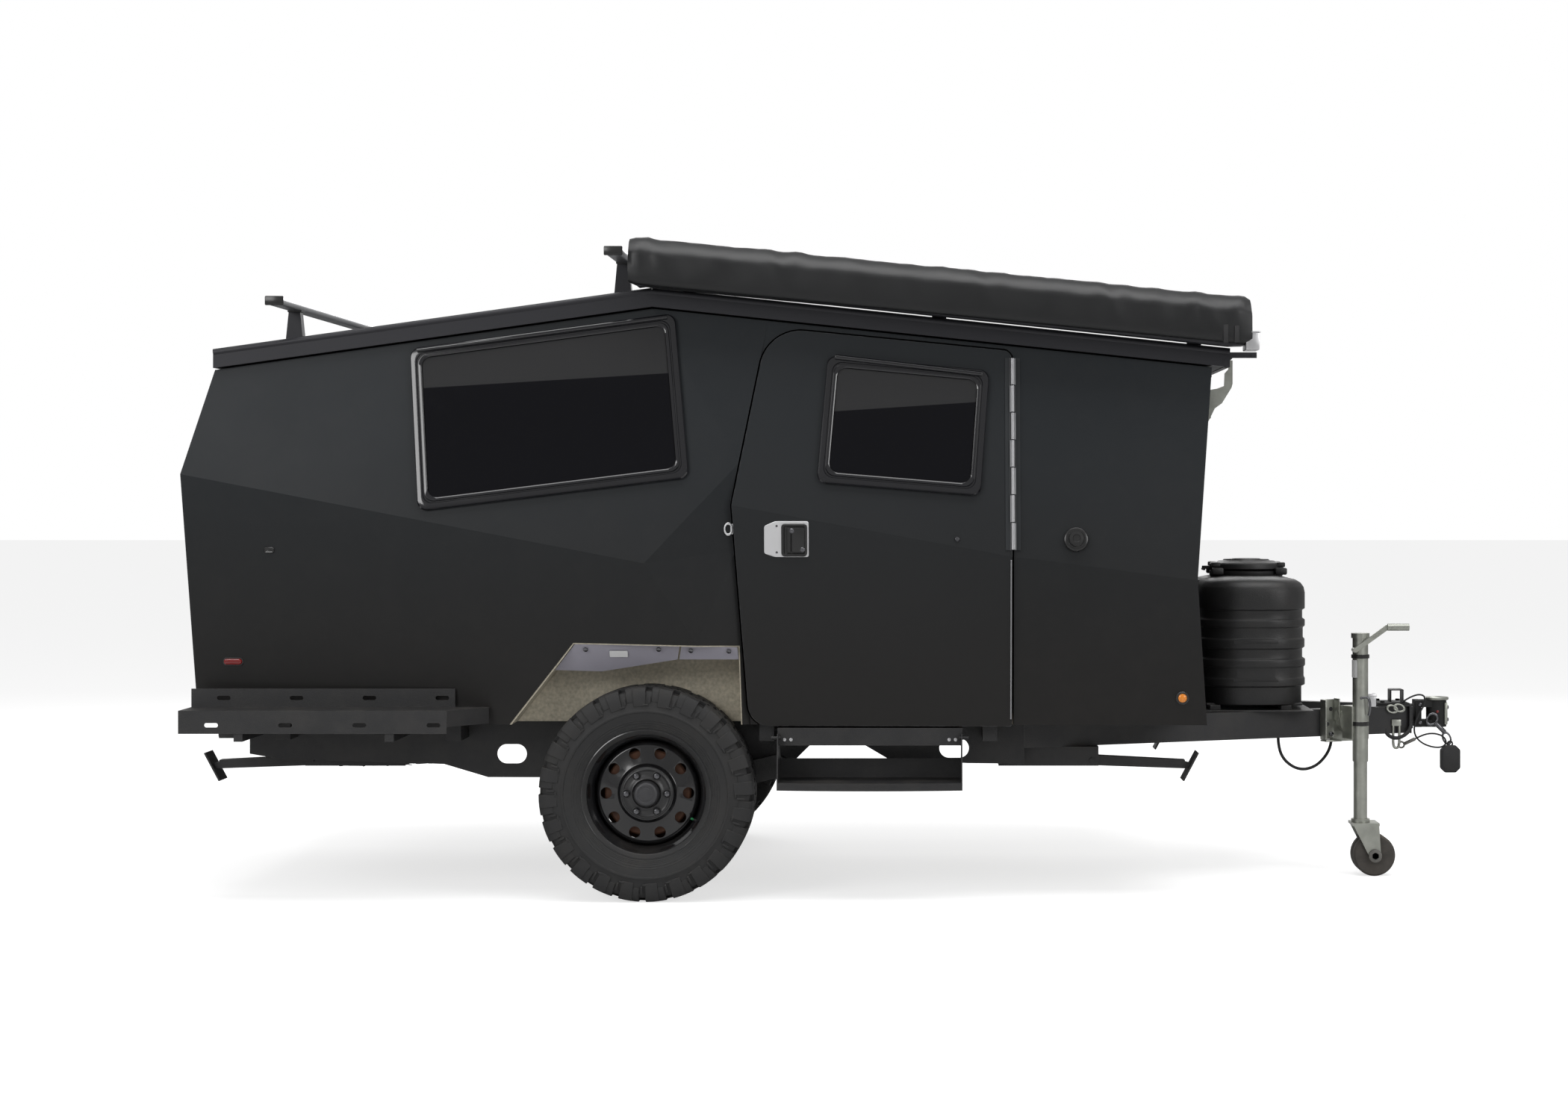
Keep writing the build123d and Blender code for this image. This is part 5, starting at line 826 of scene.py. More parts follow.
@dataclass
class Wheel:
    """Road wheel: all-terrain tyre, pressed steel rim and drum hub, modelled for the right side."""

    centre: Vector
    pitches: int = 24
    half_width: float = 117.4
    radius: float = 367.3
    vents: int = 10
    vent_radius: float = 19.5
    vent_circle: float = 141.0
    studs: int = 6
    stud_circle: float = 69.85

    def point(self, outward: float, radius: float, angle: float = 0.0) -> Vector:
        """Point of the wheel from its distance outward and from the axle, in millimetres."""
        turn = math.radians(angle)
        return self.centre + Vector((radius * math.sin(turn), -outward, radius * math.cos(turn))) / 1000

    def line(self, profile: Sequence[tuple[float, float]], angle: float = 0.0) -> list[Vector]:
        """Profile of (outward, radius) pairs as points in one plane through the axle."""
        return [self.point(outward, radius, angle) for outward, radius in profile]

    def carcass(self) -> bpy.types.Object:
        """Sidewalls with their fine rings, and the floor of the tread's grooves."""
        rings = []
        for radius in (228, 233, 238, 246, 254):
            rings += [(self.belly(radius - 1.1), radius - 1.1), (self.belly(radius) + 0.9, radius),
                      (self.belly(radius + 1.1), radius + 1.1)]
        guard = [(self.belly(279), 279), (self.belly(281) + 2.4, 281), (self.belly(286) + 2.4, 286),
                 (self.belly(289), 289)]
        half = [(0, 355), (60, 355), (97, 352), (106, 340), (111, 322), (114, 305), *reversed(guard),
                (self.belly(268), 268), (self.belly(262), 262), *reversed(rings), (96, 222), (98, 218),
                (94, 210), (88, 204), (60, 204)]
        left = [(-outward, radius) for outward, radius in reversed(half[1:])]
        return turned(self.line(left + half), self.centre, AXLE, self.pitches * 5)

    def belly(self, radius: float) -> float:
        """Half width of the sidewall at a radius, in millimetres."""
        share = (radius - 222) / (305 - 222)
        return 97 + 19 * math.sin(min(1.0, max(0.0, share)) * math.pi / 2)

    def tread_block(self, profile: Sequence[tuple[float, float]], start: float, width: float) -> bpy.types.Object:
        """Block of tread from its outline, wide by an angle in degrees.

        Args:
            profile: Outline as (outward, radius) pairs.
            start: Angle where it starts.
            width: Angle that it covers.

        Returns:
            The closed block.
        """
        block_piece = turned(self.line(profile, start), self.centre, AXLE, 2, math.radians(width), True)
        return bevelled(block_piece, 0.0012, 40, 1)

    def tread(self) -> bpy.types.Object:
        """Two kinds of shoulder lug on each side and staggered blocks between them."""
        top = self.radius
        edge = self.half_width
        long_lug = [(54, 350), (54, top), (92, top - 0.6), (104, top - 4), (edge - 5, top - 15),
                    (edge - 1.5, 332), (edge, 312), (edge - 1, 302), (edge - 9, 300), (100, 338)]
        short_lug = [(58, 350), (58, top), (90, top - 0.6), (100, top - 5), (edge - 9, top - 17),
                     (edge - 4, 330), (edge - 4, 318), (edge - 12, 316), (100, 338)]
        rib = [(edge - 2, 338), (edge + 0.4, 334), (edge + 1.6, 314), (edge - 1, 310)]
        foot = [(edge - 2, 310), (edge + 1.2, 309), (edge + 1.0, 304), (edge - 2, 303)]
        inner = [(6, 350), (6, top), (27, top), (27, 350)]
        outer = [(30, 350), (30, top), (50, top), (50, 350)]
        table = [(long_lug, 0.0, 7.4), (short_lug, 8.6, 4.9), (rib, 3.0, 1.2), (foot, 1.9, 3.4),
                 (inner, 0.4, 5.6), (inner, 7.6, 6.0), (outer, 4.0, 5.8), (outer, 11.4, 6.0)]
        half_pitch = 180 / self.pitches
        blocks = []
        for side in (1, -1):
            for profile, start, width in table:
                turned_to = [(side * outward, radius) for outward, radius in profile]
                shift = 0.0 if side > 0 else half_pitch
                blocks.append(self.tread_block(turned_to, start + shift, width))
        return ring_copies(joined("tread", blocks), self.pitches, self.centre, AXLE)

    def tyre(self) -> bpy.types.Object:
        """Whole tyre."""
        return smooth(joined("tyre", [self.carcass(), self.tread()]), 35)

    def rim(self) -> bpy.types.Object:
        """Rolled barrel with its stepped lip, and the pressed disc with vents and stud holes."""
        lip = [(98, 219), (97, 222), (93, 222), (90, 216), (85, 207), (60, 204), (40, 189), (-50, 189),
               (-62, 204), (-88, 206), (-93, 221), (-97, 222), (-98, 216), (-92, 205), (-66, 198), (-54, 182),
               (20, 182), (44, 184), (52, 190), (70, 194), (76, 199), (84, 201), (90, 206), (94, 212)]
        barrel = turned(self.line(lip + [lip[0]]), self.centre, AXLE, 96)
        disc = [(14, 181.5), (27, 178), (37, 172), (43, 165), (44, 160), (44, 104), (47, 99), (58, 95), (62, 91),
                (62, 43), (57, 43), (57, 88), (52, 92), (41, 97), (39, 103), (39, 158), (36, 163), (24, 172),
                (9, 181.5)]
        plate = turned(self.line(disc + [disc[0]]), self.centre, AXLE, 96)
        drills = []
        for count, circle, radius, phase in ((self.vents, self.vent_circle, self.vent_radius, 0.5),
                                             (self.studs, self.stud_circle, 7.5, 0.5)):
            drill = rod(self.point(20, circle, 360 / count * phase), self.point(90, circle, 360 / count * phase),
                        radius / 1000, 28)
            drills.append(ring_copies(drill, count, self.centre, AXLE))
        plate = bevelled(cut(plate, joined("drills", drills)), 0.0012, 50)
        stem = rod(self.point(78, 193, 118), self.point(88, 181, 118), 0.0032, 12, 0.001)
        stem_cap = rod(self.point(88, 181, 118), self.point(94, 175, 118), 0.0042, 12, 0.001)
        for piece, finish in ((barrel, RIM_BLACK), (plate, RIM_BLACK), (stem, RUBBER_BLACK), (stem_cap, CAP_GREEN)):
            dress(piece, finish)
        return smooth(joined("rim", [barrel, plate, stem, stem_cap]), 40)

    def hub(self) -> bpy.types.Object:
        """Rusty drum, centre pressing with recessed nuts, and the grey hub cap."""
        drum = turned(self.line([(-34, 0), (-34, 143), (-30, 149), (20, 149), (26, 143), (31, 80), (56, 78),
                                 (56, 40), (60, 38), (60, 0)]), self.centre, AXLE, 72)
        band = turned(self.line([(-34, 140), (-34, 168), (-31, 170), (-28, 168), (-28, 140)]), self.centre, AXLE, 72)
        face = turned(self.line([(62.3, 88), (66, 84), (66.5, 81), (64, 78.5), (63, 70), (64, 60), (68, 56),
                                 (70, 50), (63, 48)]), self.centre, AXLE, 72)
        pockets = []
        nuts = []
        for index in range(self.studs):
            angle = 360 / self.studs * (index + 0.5)
            pocket = turned([self.point(62.4, self.stud_circle, angle)
                             + Vector((0, -rise / 1000, 0))
                             + (self.point(0, 1, angle) - self.point(0, 0, angle)) * reach
                             for rise, reach in ((0, 16), (4.0, 15), (4.4, 13.5), (1.5, 12), (0.2, 11))],
                            self.point(62.4, self.stud_circle, angle), AXLE, 24)
            pockets.append(pocket)
            nuts.append(rod(self.point(60, self.stud_circle, angle), self.point(76, self.stud_circle, angle),
                            0.0098, 6, 0.0018))
            nuts.append(rod(self.point(75, self.stud_circle, angle), self.point(80, self.stud_circle, angle),
                            0.0062, 16, 0.0012))
        cap = turned(self.line([(62, 44), (78, 43), (94, 41), (99, 38), (101, 33), (101, 29), (99.4, 28),
                                (99.4, 22), (101, 21), (102, 12), (102.5, 0)]), self.centre, AXLE, 56)
        for group, finish in (([drum, band], DRUM_BROWN), ([face, *pockets], CENTRE_GREY), (nuts, NUT_CHROME),
                              ([cap], CAP_GREY)):
            for piece in group:
                dress(piece, finish)
        return smooth(joined("hub", [drum, band, face, *pockets, *nuts, cap]), 40)

    def build(self) -> None:
        """Makes the right wheel, its mirror image and the spare from one model."""
        tyre, rim, hub = self.tyre(), self.rim(), self.hub()
        spare = (Matrix.Translation(frame_centre("spare_tyre")) @ Matrix.Rotation(math.pi / 2, 4, "X")
                 @ Matrix.Translation(-self.centre))
        dress(tyre, TYRE_BLACK)
        for source, part, slot in ((tyre, "tyre", "tyre_rubber"), (rim, "rim", "rim_gloss")):
            mount(copied(source, "copy", spare), f"visual_spare_{part}", "trailer", None, [f"spare_{part}"])
        for source, part, slot in ((tyre, "tyre", "tyre_rubber"), (rim, "rim", "rim_gloss"),
                                   (hub, "hub", "drum_rust")):
            mount(mirrored(source, "copy"), f"visual_{part}_left", "wheel_left", None, [f"{part}_left"])
            mount(source, f"visual_{part}_right", "wheel_right", None, [f"{part}_right"])


def frame_centre(node: str) -> Vector:
    """Centre of a CAD node's box."""
    low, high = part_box(node)
    return (low + high) / 2


@dataclass
class GasCover:
    """Moulded cover for the gas cylinders: two banded half shells bolted along an upright flange."""

    corner: float = 0.150
    corner_steps: int = 9

    # Height in millimetres and how far the wall stands in from the cover's widest line
    BANDS: tuple[tuple[float, float], ...] = (
        (622, 13), (686, 13), (691, 1), (716, 1), (721, 5), (757, 5), (762, 0), (786, 0), (791, 10), (824, 10),
        (829, 2), (860, 2), (865, 8), (902, 8), (907, 1), (931, 1), (936, 10), (966, 10), (971, 1), (1030, 1),
        (1050, 5), (1066, 16), (1077, 34), (1084, 62), (1089, 100))

    def body(self) -> bpy.types.Object:
        """Banded body, extruded upward ring by ring and drawn in at its shoulder."""
        low, high = self.limits()
        size = high - low
        centre = (low + high) / 2
        deselect()
        bpy.ops.mesh.primitive_plane_add(size=1, location=(centre.x, centre.y, self.BANDS[0][0] / 1000))
        piece = bpy.context.object
        piece.scale = (size.x, size.y, 1)
        settle(piece)
        edit(piece)
        bpy.ops.mesh.bevel(offset=self.corner, segments=self.corner_steps, affect="VERTICES")
        before_z, before_inset = self.BANDS[0]
        self.shrink(size, 0.0, before_inset)
        for height, inset in self.BANDS[1:]:
            bpy.ops.mesh.extrude_region_move(TRANSFORM_OT_translate={"value": (0, 0, (height - before_z) / 1000)})
            self.shrink(size, before_inset, inset)
            before_z, before_inset = height, inset
        bpy.ops.object.mode_set(mode="OBJECT")
        return bevelled(tidy_shell(piece), 0.0028, 25)

    def limits(self) -> tuple[Vector, Vector]:
        """Corners of the body alone, inside its foot flange and its upright flange."""
        low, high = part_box("gas_cover")
        return low + Vector((0.030, 0.012, 0)), high - Vector((0.012, 0.012, 0))

    def shrink(self, size: Vector, before: float, after: float) -> None:
        """Draws the selected ring in or out from one inset to another, in millimetres."""
        scale = [(extent - 0.002 * after) / (extent - 0.002 * before) for extent in (size.x, size.y)]
        bpy.ops.transform.resize(value=(scale[0], scale[1], 1.0), center_override=self.middle())

    def middle(self) -> Vector:
        """Centre of the body."""
        low, high = self.limits()
        return (low + high) / 2

    def build(self) -> None:
        """Body, recessed panels, flanges, bolts and the lid."""
        low, high = self.limits()
        middle = self.middle()
        body = self.body()
        for side in (-1, 1):
            for bottom, top in ((0.708, 0.752), (0.846, 0.892)):
                body = cut(body, self.panel_tool(side, bottom, top))
        flange = self.flange(low, high)
        collar = turned([Vector((middle.x + r / 1000, middle.y, z / 1000)) for r, z in
                         ((100, 1080), (134, 1084), (138, 1090), (138, 1104), (134, 1107), (116, 1107))],
                        middle, UP, 56)
        bolts = [rod((x, -0.0125, z), (x, 0.0125, z), 0.0055, 12, 0.0015)
                 for x in (low.x - 0.003, high.x + 0.003) for z in (1.040, 0.930, 0.775, 0.640)]
        hooks = [block((middle.x + dx - 0.022, y - 0.012, 1.092), (middle.x + dx + 0.022, y + 0.012, 1.118), 0.006)
                 for y in (-0.105, 0.105) for dx in (-0.118, 0.118)]
        shell = smooth(joined("shell", [body, flange, collar, *hooks]), 34)
        mount(shell, "visual_gas_cover_shell", "trailer", MOULDED_BLACK)
        mount(smooth(joined("bolts", bolts)), "visual_gas_cover_bolts", "trailer", ZINC_PLATE)
        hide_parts("gas_cover")
        self.tray()
        self.lid(middle)

    def tray(self) -> None:
        """Steel tray with its folded edge and feet, under the cover."""
        low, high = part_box("gas_cover")
        sheet = block(low, (high.x, high.y, low.z + 0.004), 0.0012, 1)
        feet = [block((x, low.y + 0.05, low.z + 0.003), (x + 0.04, high.y - 0.05, low.z + 0.020), 0.002, 1)
                for x in (low.x + 0.060, low.x + 0.320)]
        inner, outer = self.limits()
        skirt = block((inner.x + 0.02, inner.y + 0.06, low.z + 0.018), (outer.x - 0.02, outer.y - 0.06, low.z + 0.026),
                      0.002, 1)
        mount(smooth(joined("tray", [sheet, *feet, skirt])), "visual_gas_tray", "trailer",
              CHASSIS_COAT)

    def panel_tool(self, side: int, bottom: float, top: float) -> bpy.types.Object:
        """Wedge that cuts a recessed panel with sloping ends into one flank."""
        low, high = self.limits()
        face_y = (low.y if side < 0 else high.y) - side * 0.004
        centre_x = self.middle().x
        half, slope, depth = 0.094, 0.014, 0.011
        tool = block(Vector((centre_x - half, min(face_y, face_y + side * 0.03), bottom)),
                     Vector((centre_x + half, max(face_y, face_y + side * 0.03), top)))
        edit(tool, "DESELECT")
        mesh = bmesh.from_edit_mesh(tool.data)
        for vertex in mesh.verts:
            if (vertex.co.y - face_y) * side < 0.001:
                vertex.co.x += slope if vertex.co.x < centre_x else -slope
                vertex.co.y -= side * (depth - 0.008)
        bmesh.update_edit_mesh(tool.data)
        bpy.ops.object.mode_set(mode="OBJECT")
        return tool

    def flange(self, low: Vector, high: Vector) -> bpy.types.Object:
        """Upright flange round the body, with ears over the shoulder for the top bolts."""
        outline = [(low.x - 0.008, 0.624), (low.x - 0.008, 1.052), (low.x + 0.004, 1.068), (low.x + 0.030, 1.072),
                   (low.x + 0.075, 1.090), (high.x - 0.075, 1.090), (high.x - 0.030, 1.072), (high.x - 0.004, 1.068),
                   (high.x + 0.008, 1.052), (high.x + 0.008, 0.624)]
        return plate_of([Vector((x, -0.008, z)) for x, z in outline], 0.016, 0.002, 30)

    def lid(self, middle: Vector) -> None:
        """Round stepped lid with four catches, hinged at its rear edge."""
        low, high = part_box("gas_cover_lid")
        top = high.z
        profile = [(0, 0), (40, 0), (52, -1), (55, -4), (60, -7), (72, -7), (76, -4), (84, -3.4), (88, -8), (104, -9),
                   (112, -14), (132, -16), (138, -20), (140, -26), (140, -38), (136, -41), (118, -41)]
        disc = turned([Vector((middle.x + r / 1000, middle.y, top + z / 1000)) for r, z in profile],
                      middle, UP, 72)
        tabs = [block((middle.x + dx - 0.016, y - 0.020, top - 0.032), (middle.x + dx + 0.016, y + 0.020, top - 0.014),
                      0.004) for y in (-0.070, 0.070) for dx in (-0.120, 0.120)]
        hinge_x, hinge_z = low.x + 0.006, low.z + 0.006
        arm = block((hinge_x - 0.004, -0.020, top - 0.040), (middle.x - 0.120, 0.020, top - 0.028), 0.003)
        barrel = rod((hinge_x, -0.033, hinge_z), (hinge_x, 0.033, hinge_z), 0.0048, 14)
        lid = smooth(joined("lid", [disc, *tabs, arm, barrel]), 36)
        mount(lid, "visual_gas_cover_lid", "gas_lid", MOULDED_BLACK, ["gas_cover_lid"])


@dataclass
class AwningBag:
    """Coated cover over the rolled awning: soft rounded top, flat flanks, creases where it is drawn tight."""

    along: int = 190
    around: int = 30
    # Place along the bag from the rear (share), height share, tilt, depth and width of each crease
    CREASES: tuple[tuple[float, float, float, float, float], ...] = (
        (0.020, 0.75, 0.9, 9.0, 0.010), (0.050, 0.6, -0.7, 8.0, 0.014), (0.140, 0.72, 0.8, 4.5, 0.016),
        (0.235, 0.70, -0.9, 8.0, 0.013), (0.262, 0.72, 0.8, 6.0, 0.012), (0.37, 0.60, -0.4, 2.5, 0.020),
        (0.45, 0.75, 0.5, 4.0, 0.014), (0.56, 0.72, -0.8, 6.0, 0.013), (0.585, 0.66, 0.7, 3.5, 0.016),
        (0.68, 0.68, 0.9, 3.0, 0.018), (0.765, 0.70, -0.9, 8.0, 0.012), (0.79, 0.72, 0.9, 6.0, 0.013),
        (0.85, 0.68, -0.5, 4.5, 0.016), (0.905, 0.72, 0.8, 8.0, 0.012), (0.935, 0.55, -0.9, 6.0, 0.012),
        (0.975, 0.72, 0.9, 10.0, 0.010))

    def section(self, angle: float) -> tuple[float, float]:
        """Point of the rounded section, as shares of half depth and height from the bag's middle."""
        across, rise = math.cos(angle), math.sin(angle)
        if rise < 0:
            return (math.copysign(abs(across) ** 0.22, across), math.copysign(abs(rise) ** 0.45, rise))
        power = 0.95 if across > 0 else 0.5
        return (math.copysign(abs(across) ** power, across), rise ** 0.72)

    def build(self) -> None:
        """Shapes the bag from a cylinder and gives it its creases; no cloth simulation is run on it."""
        low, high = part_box("awning_bag")
        rear_x, front_x = low.x + 0.004, high.x - 0.004
        half_depth = (high.y - low.y) / 2
        rear = Vector((rear_x, (low.y + high.y) / 2, high.z - 0.079))
        slope = -math.atan2((high.z - low.z) - 0.158, front_x - rear_x)
        length = front_x - rear_x
        deselect()
        bpy.ops.mesh.primitive_cylinder_add(vertices=self.around, radius=1, depth=1)
        bag = bpy.context.object
        edit(bag, "DESELECT")
        mesh = bmesh.from_edit_mesh(bag.data)
        for edge in mesh.edges:
            a, b = edge.verts
            edge.select_set(abs(a.co.z - b.co.z) > 0.5)
        bmesh.update_edit_mesh(bag.data)
        bpy.ops.mesh.subdivide(number_cuts=self.along - 1)
        bpy.ops.mesh.select_all(action="DESELECT")
        choose(bag, "FACE", lambda face: len(face.verts) > 4)
        for _ in range(5):
            bpy.ops.mesh.inset(thickness=0.16, depth=0)
        bpy.ops.object.mode_set(mode="OBJECT")
        for vertex in bag.data.vertices:
            share = vertex.co.z + 0.5
            angle = math.atan2(vertex.co.y, vertex.co.x)
            radius = math.hypot(vertex.co.x, vertex.co.y)
            across, rise = self.section(angle)
            end = min(share, 1 - share)
            pinch = 1 - 0.10 * math.exp(-end / 0.006)
            y = -across * radius * half_depth * pinch
            outer_slope = 0.024 * max(0.0, across) * max(0.0, rise)
            z = rise * radius * (0.077 if rise > 0 else 0.088) * pinch - outer_slope
            bulge = 0.012 * (1 - radius) * (1 if share > 0.5 else -1)
            x = rear.x + share * length + bulge * 0.4
            vertex.co = Vector((x, rear.y + y, rear.z + math.tan(slope) * share * length + z))
        bag.data.update()
        self.crease(bag, rear, length, slope)
        settle(bag)
        smooth(bag, 60)
        mount(bag, "visual_awning_bag", "pop_up_roof", BAG_VINYL, ["awning_bag"])

    def crease(self, bag: bpy.types.Object, rear: Vector, length: float, slope: float) -> None:
        """Presses folds and a slow unevenness into the bag, inward from its nominal skin."""
        normals = [vertex.normal.copy() for vertex in bag.data.vertices]
        for vertex, normal in zip(bag.data.vertices, normals):
            share = (vertex.co.x - rear.x) / length
            height = (vertex.co.z - rear.z - math.tan(slope) * share * length) / 0.158 + 0.5
            depth = 0.0
            for place, level, tilt, deep, width in self.CREASES:
                off = share - place - tilt * (height - level) * 0.045
                fold = math.exp(-(off / width) ** 2) - 0.55 * math.exp(-((off - 1.6 * width) / (1.2 * width)) ** 2)
                reach = math.exp(-((height - level) / 0.34) ** 2)
                depth += deep * fold * reach
            waves = noise.noise(Vector((share * 26, height * 2.5, vertex.co.y * 6))) * 2.6
            fine = noise.noise(Vector((share * 90, height * 7, vertex.co.y * 20))) * 1.0
            push = min(1.5, -0.85 * depth + waves * (0.3 + height) + 1.6 * fine * height - 0.6)
            vertex.co += normal * push / 1000
        bag.data.update()


@dataclass(frozen=True)
class SidePlane:
    """Flat facet of the right side, y = base + along x + rise z, in millimetres from the axle."""

    base: float
    along: float
    rise: float

    @classmethod
    def through(cls, first: Point, second: Point, third: Point) -> "SidePlane":
        """Facet through three points."""
        normal = (Vector(second) - Vector(first)).cross(Vector(third) - Vector(first))
        along, rise = -normal.x / normal.y, -normal.z / normal.y
        return cls(first[1] - along * first[0] - rise * first[2], along, rise)

    @property
    def outward(self) -> Vector:
        """Direction away from the trailer, square to the facet."""
        return Vector((self.along, -1, self.rise)).normalized()

    def corner(self, x: float, z: float) -> Point:
        """Point on the facet in millimetres."""
        return (x, self.base + self.along * x + self.rise * z, z)

    def place(self, x: float, z: float, proud: float = 0.0) -> Vector:
        """Point on the facet, or above it by a distance in millimetres, in metres."""
        return at(*self.corner(x, z)) + self.outward * (proud / 1000)


PEAK = (11, -870, 2031)
SIDE_VERTEX = (-5, -1005, 1156)
HINGE_CREASE = (1249, -982, 1179)
DOOR_SILL = (1249, -932, 600)
UPPER_REAR = SidePlane.through((-1498, -870, 1820), PEAK, SIDE_VERTEX)
UPPER_FRONT = SidePlane.through(PEAK, (1941, -870, 1829), HINGE_CREASE)
LOWER_REAR = SidePlane.through(UPPER_REAR.corner(-1604, 1460), SIDE_VERTEX, (-5, -945, 600))
LOWER_DOOR = SidePlane.through(UPPER_FRONT.corner(291, 1353), HINGE_CREASE, DOOR_SILL)
LOWER_FRONT = SidePlane.through(HINGE_CREASE, UPPER_FRONT.corner(1881, 1097), DOOR_SILL)
FENDER = SidePlane(-955 + 0.7002 * 876, 0.0, -0.7002)
# Right tongue rail: middle of its start, how far it runs forward and inward, half its width, and a line inside it
RAIL_START_X, RAIL_START_Y = 1300, 672
RAIL_RUN, RAIL_RUN_IN = 1460, 632
RAIL_HALF = 25
INSIDE_RAIL = 33
# Corners of the windows as (X, Z), on their facets
BIG_WINDOW = ((-823, 1891), (90, 2013), (146, 1446), (-780, 1331))
DOOR_WINDOW = ((616, 1865), (1173, 1813), (1141, 1381), (580, 1427))
DOOR_SKIN = 12.0
LONGEST_CORNER_EDGE = 0.08


def pressed(plane: SidePlane, corners: Sequence[tuple[float, float]], radius: float,
            steps: Sequence[tuple[float, float]], skin: float = 0.3, hollow: bool = False) -> bpy.types.Object:
    """Plate drawn on a facet, its corners rounded, then inset and raised step by step.

    Args:
        plane: Facet that it lies on.
        corners: Its corners as (X, Z) in millimetres.
        radius: Radius of the corners in millimetres.
        steps: Inset and rise of each step in millimetres.
        skin: How far its foot stands above the facet.
        hollow: Whether the innermost face is opened.

    Returns:
        The new object.
    """
    piece = drawn([plane.place(x, z, skin) for x, z in corners], True)
    edit(piece)
    if radius and not hollow:
        bpy.ops.mesh.bevel(offset=radius / 1000, segments=5, affect="VERTICES")
        bpy.ops.mesh.select_all(action="SELECT")
    bpy.ops.mesh.select_mode(type="FACE")
    mesh = bmesh.from_edit_mesh(piece.data)
    mesh.normal_update()
    if mesh.faces[:][0].normal.dot(plane.outward) < 0:
        bpy.ops.mesh.flip_normals()
    for inset, rise in steps:
        bpy.ops.mesh.inset(thickness=max(inset, 0.01) / 1000, depth=rise / 1000)
    if hollow:
        bpy.ops.mesh.delete(type="FACE")
        choose(piece, "EDGE", lambda edge: edge.calc_length() < LONGEST_CORNER_EDGE)
        bpy.ops.mesh.bevel(offset=radius / 1000, segments=5, affect="EDGES")
    bpy.ops.object.mode_set(mode="OBJECT")
    return piece


def rectangle(x: float, z: float, width: float, height: float) -> list[tuple[float, float]]:
    """Corners of an upright rectangle about its centre."""
    return [(x + a * width / 2, z + b * height / 2) for a, b in ((-1, 1), (1, 1), (1, -1), (-1, -1))]


def button(plane: SidePlane, x: float, z: float, profile: Sequence[tuple[float, float]],
           skin: float = 0.0) -> bpy.types.Object:
    """Round piece on a facet, spun from (radius, height) pairs in millimetres."""
    foot = plane.place(x, z, skin)
    across = plane.outward.cross(UP).normalized()
    return turned([foot + across * (r / 1000) + plane.outward * (h / 1000) for r, h in profile], foot,
                  plane.outward, 32)


def slab(outline: Sequence[tuple[float, float]], y_low: float, y_high: float,
         rounding: float = 0.001) -> bpy.types.Object:
    """Sheet or bar cut to an (X, Z) outline, thick from one Y to another, in millimetres."""
    return plate_of([at(x, y_low, z) for x, z in outline], (y_high - y_low) / 1000, rounding, math.degrees(0.5))


def line_of(name: str, points: Sequence[Vector], radius: float) -> bpy.types.Object:
    """Smooth round line through a route's control points, as one open NURBS spline."""
    curve = bpy.data.curves.new(name, "CURVE")
    curve.dimensions = "3D"
    spline = curve.splines.new("NURBS")
    spline.points.add(len(points) - 1)
    for point, place in zip(spline.points, points):
        point.co = (*place, 1.0)
    spline.order_u = 3
    spline.use_endpoint_u = True
    spline.resolution_u = 10
    curve.bevel_depth = radius / 1000
    curve.bevel_resolution = 4
    curve.use_fill_caps = True
    line = bpy.data.objects.new(name, curve)
    bpy.context.scene.collection.objects.link(line)
    return line


def wire_piece(points: Sequence[Point], radius: float) -> bpy.types.Object:
    """Bent metal rod along (X, Y, Z) points in millimetres, as a mesh."""
    pick(line_of("rod", [at(*point) for point in points], radius))
    bpy.ops.object.convert(target="MESH")
    return settle(bpy.context.object)


def brick(low: Point, high: Point, rounding: float = 1.5) -> bpy.types.Object:
    """Box between two corners in millimetres, with rounded edges."""
    return block(at(*low), at(*high), rounding / 1000)


def pin(start: Point, end: Point, radius: float, sides: int = 18, rounding: float = 1.0) -> bpy.types.Object:
    """Round bar between two points in millimetres."""
    return rod(at(*start), at(*end), radius / 1000, sides, rounding / 1000)


def ring(centre: Point, major: float, minor: float, stretch: Point = (1, 1, 1),
         turn: Point = (0, 0, 0)) -> bpy.types.Object:
    """Metal ring or link, from a torus stretched and turned.

    Args:
        centre: Its centre in millimetres.
        major: Radius to the middle of its wire, in millimetres.
        minor: Radius of its wire.
        stretch: Factor along each axis.
        turn: Turn about each axis in radians.

    Returns:
        The new object.
    """
    deselect()
    bpy.ops.mesh.primitive_torus_add(major_radius=major / 1000, minor_radius=minor / 1000, major_segments=28,
                                     minor_segments=10, rotation=(math.pi / 2, 0, 0))
    piece = settle(bpy.context.object)
    piece.scale = stretch
    piece.rotation_euler = turn
    piece.location = at(*centre)
    return smooth(settle(piece), 60)


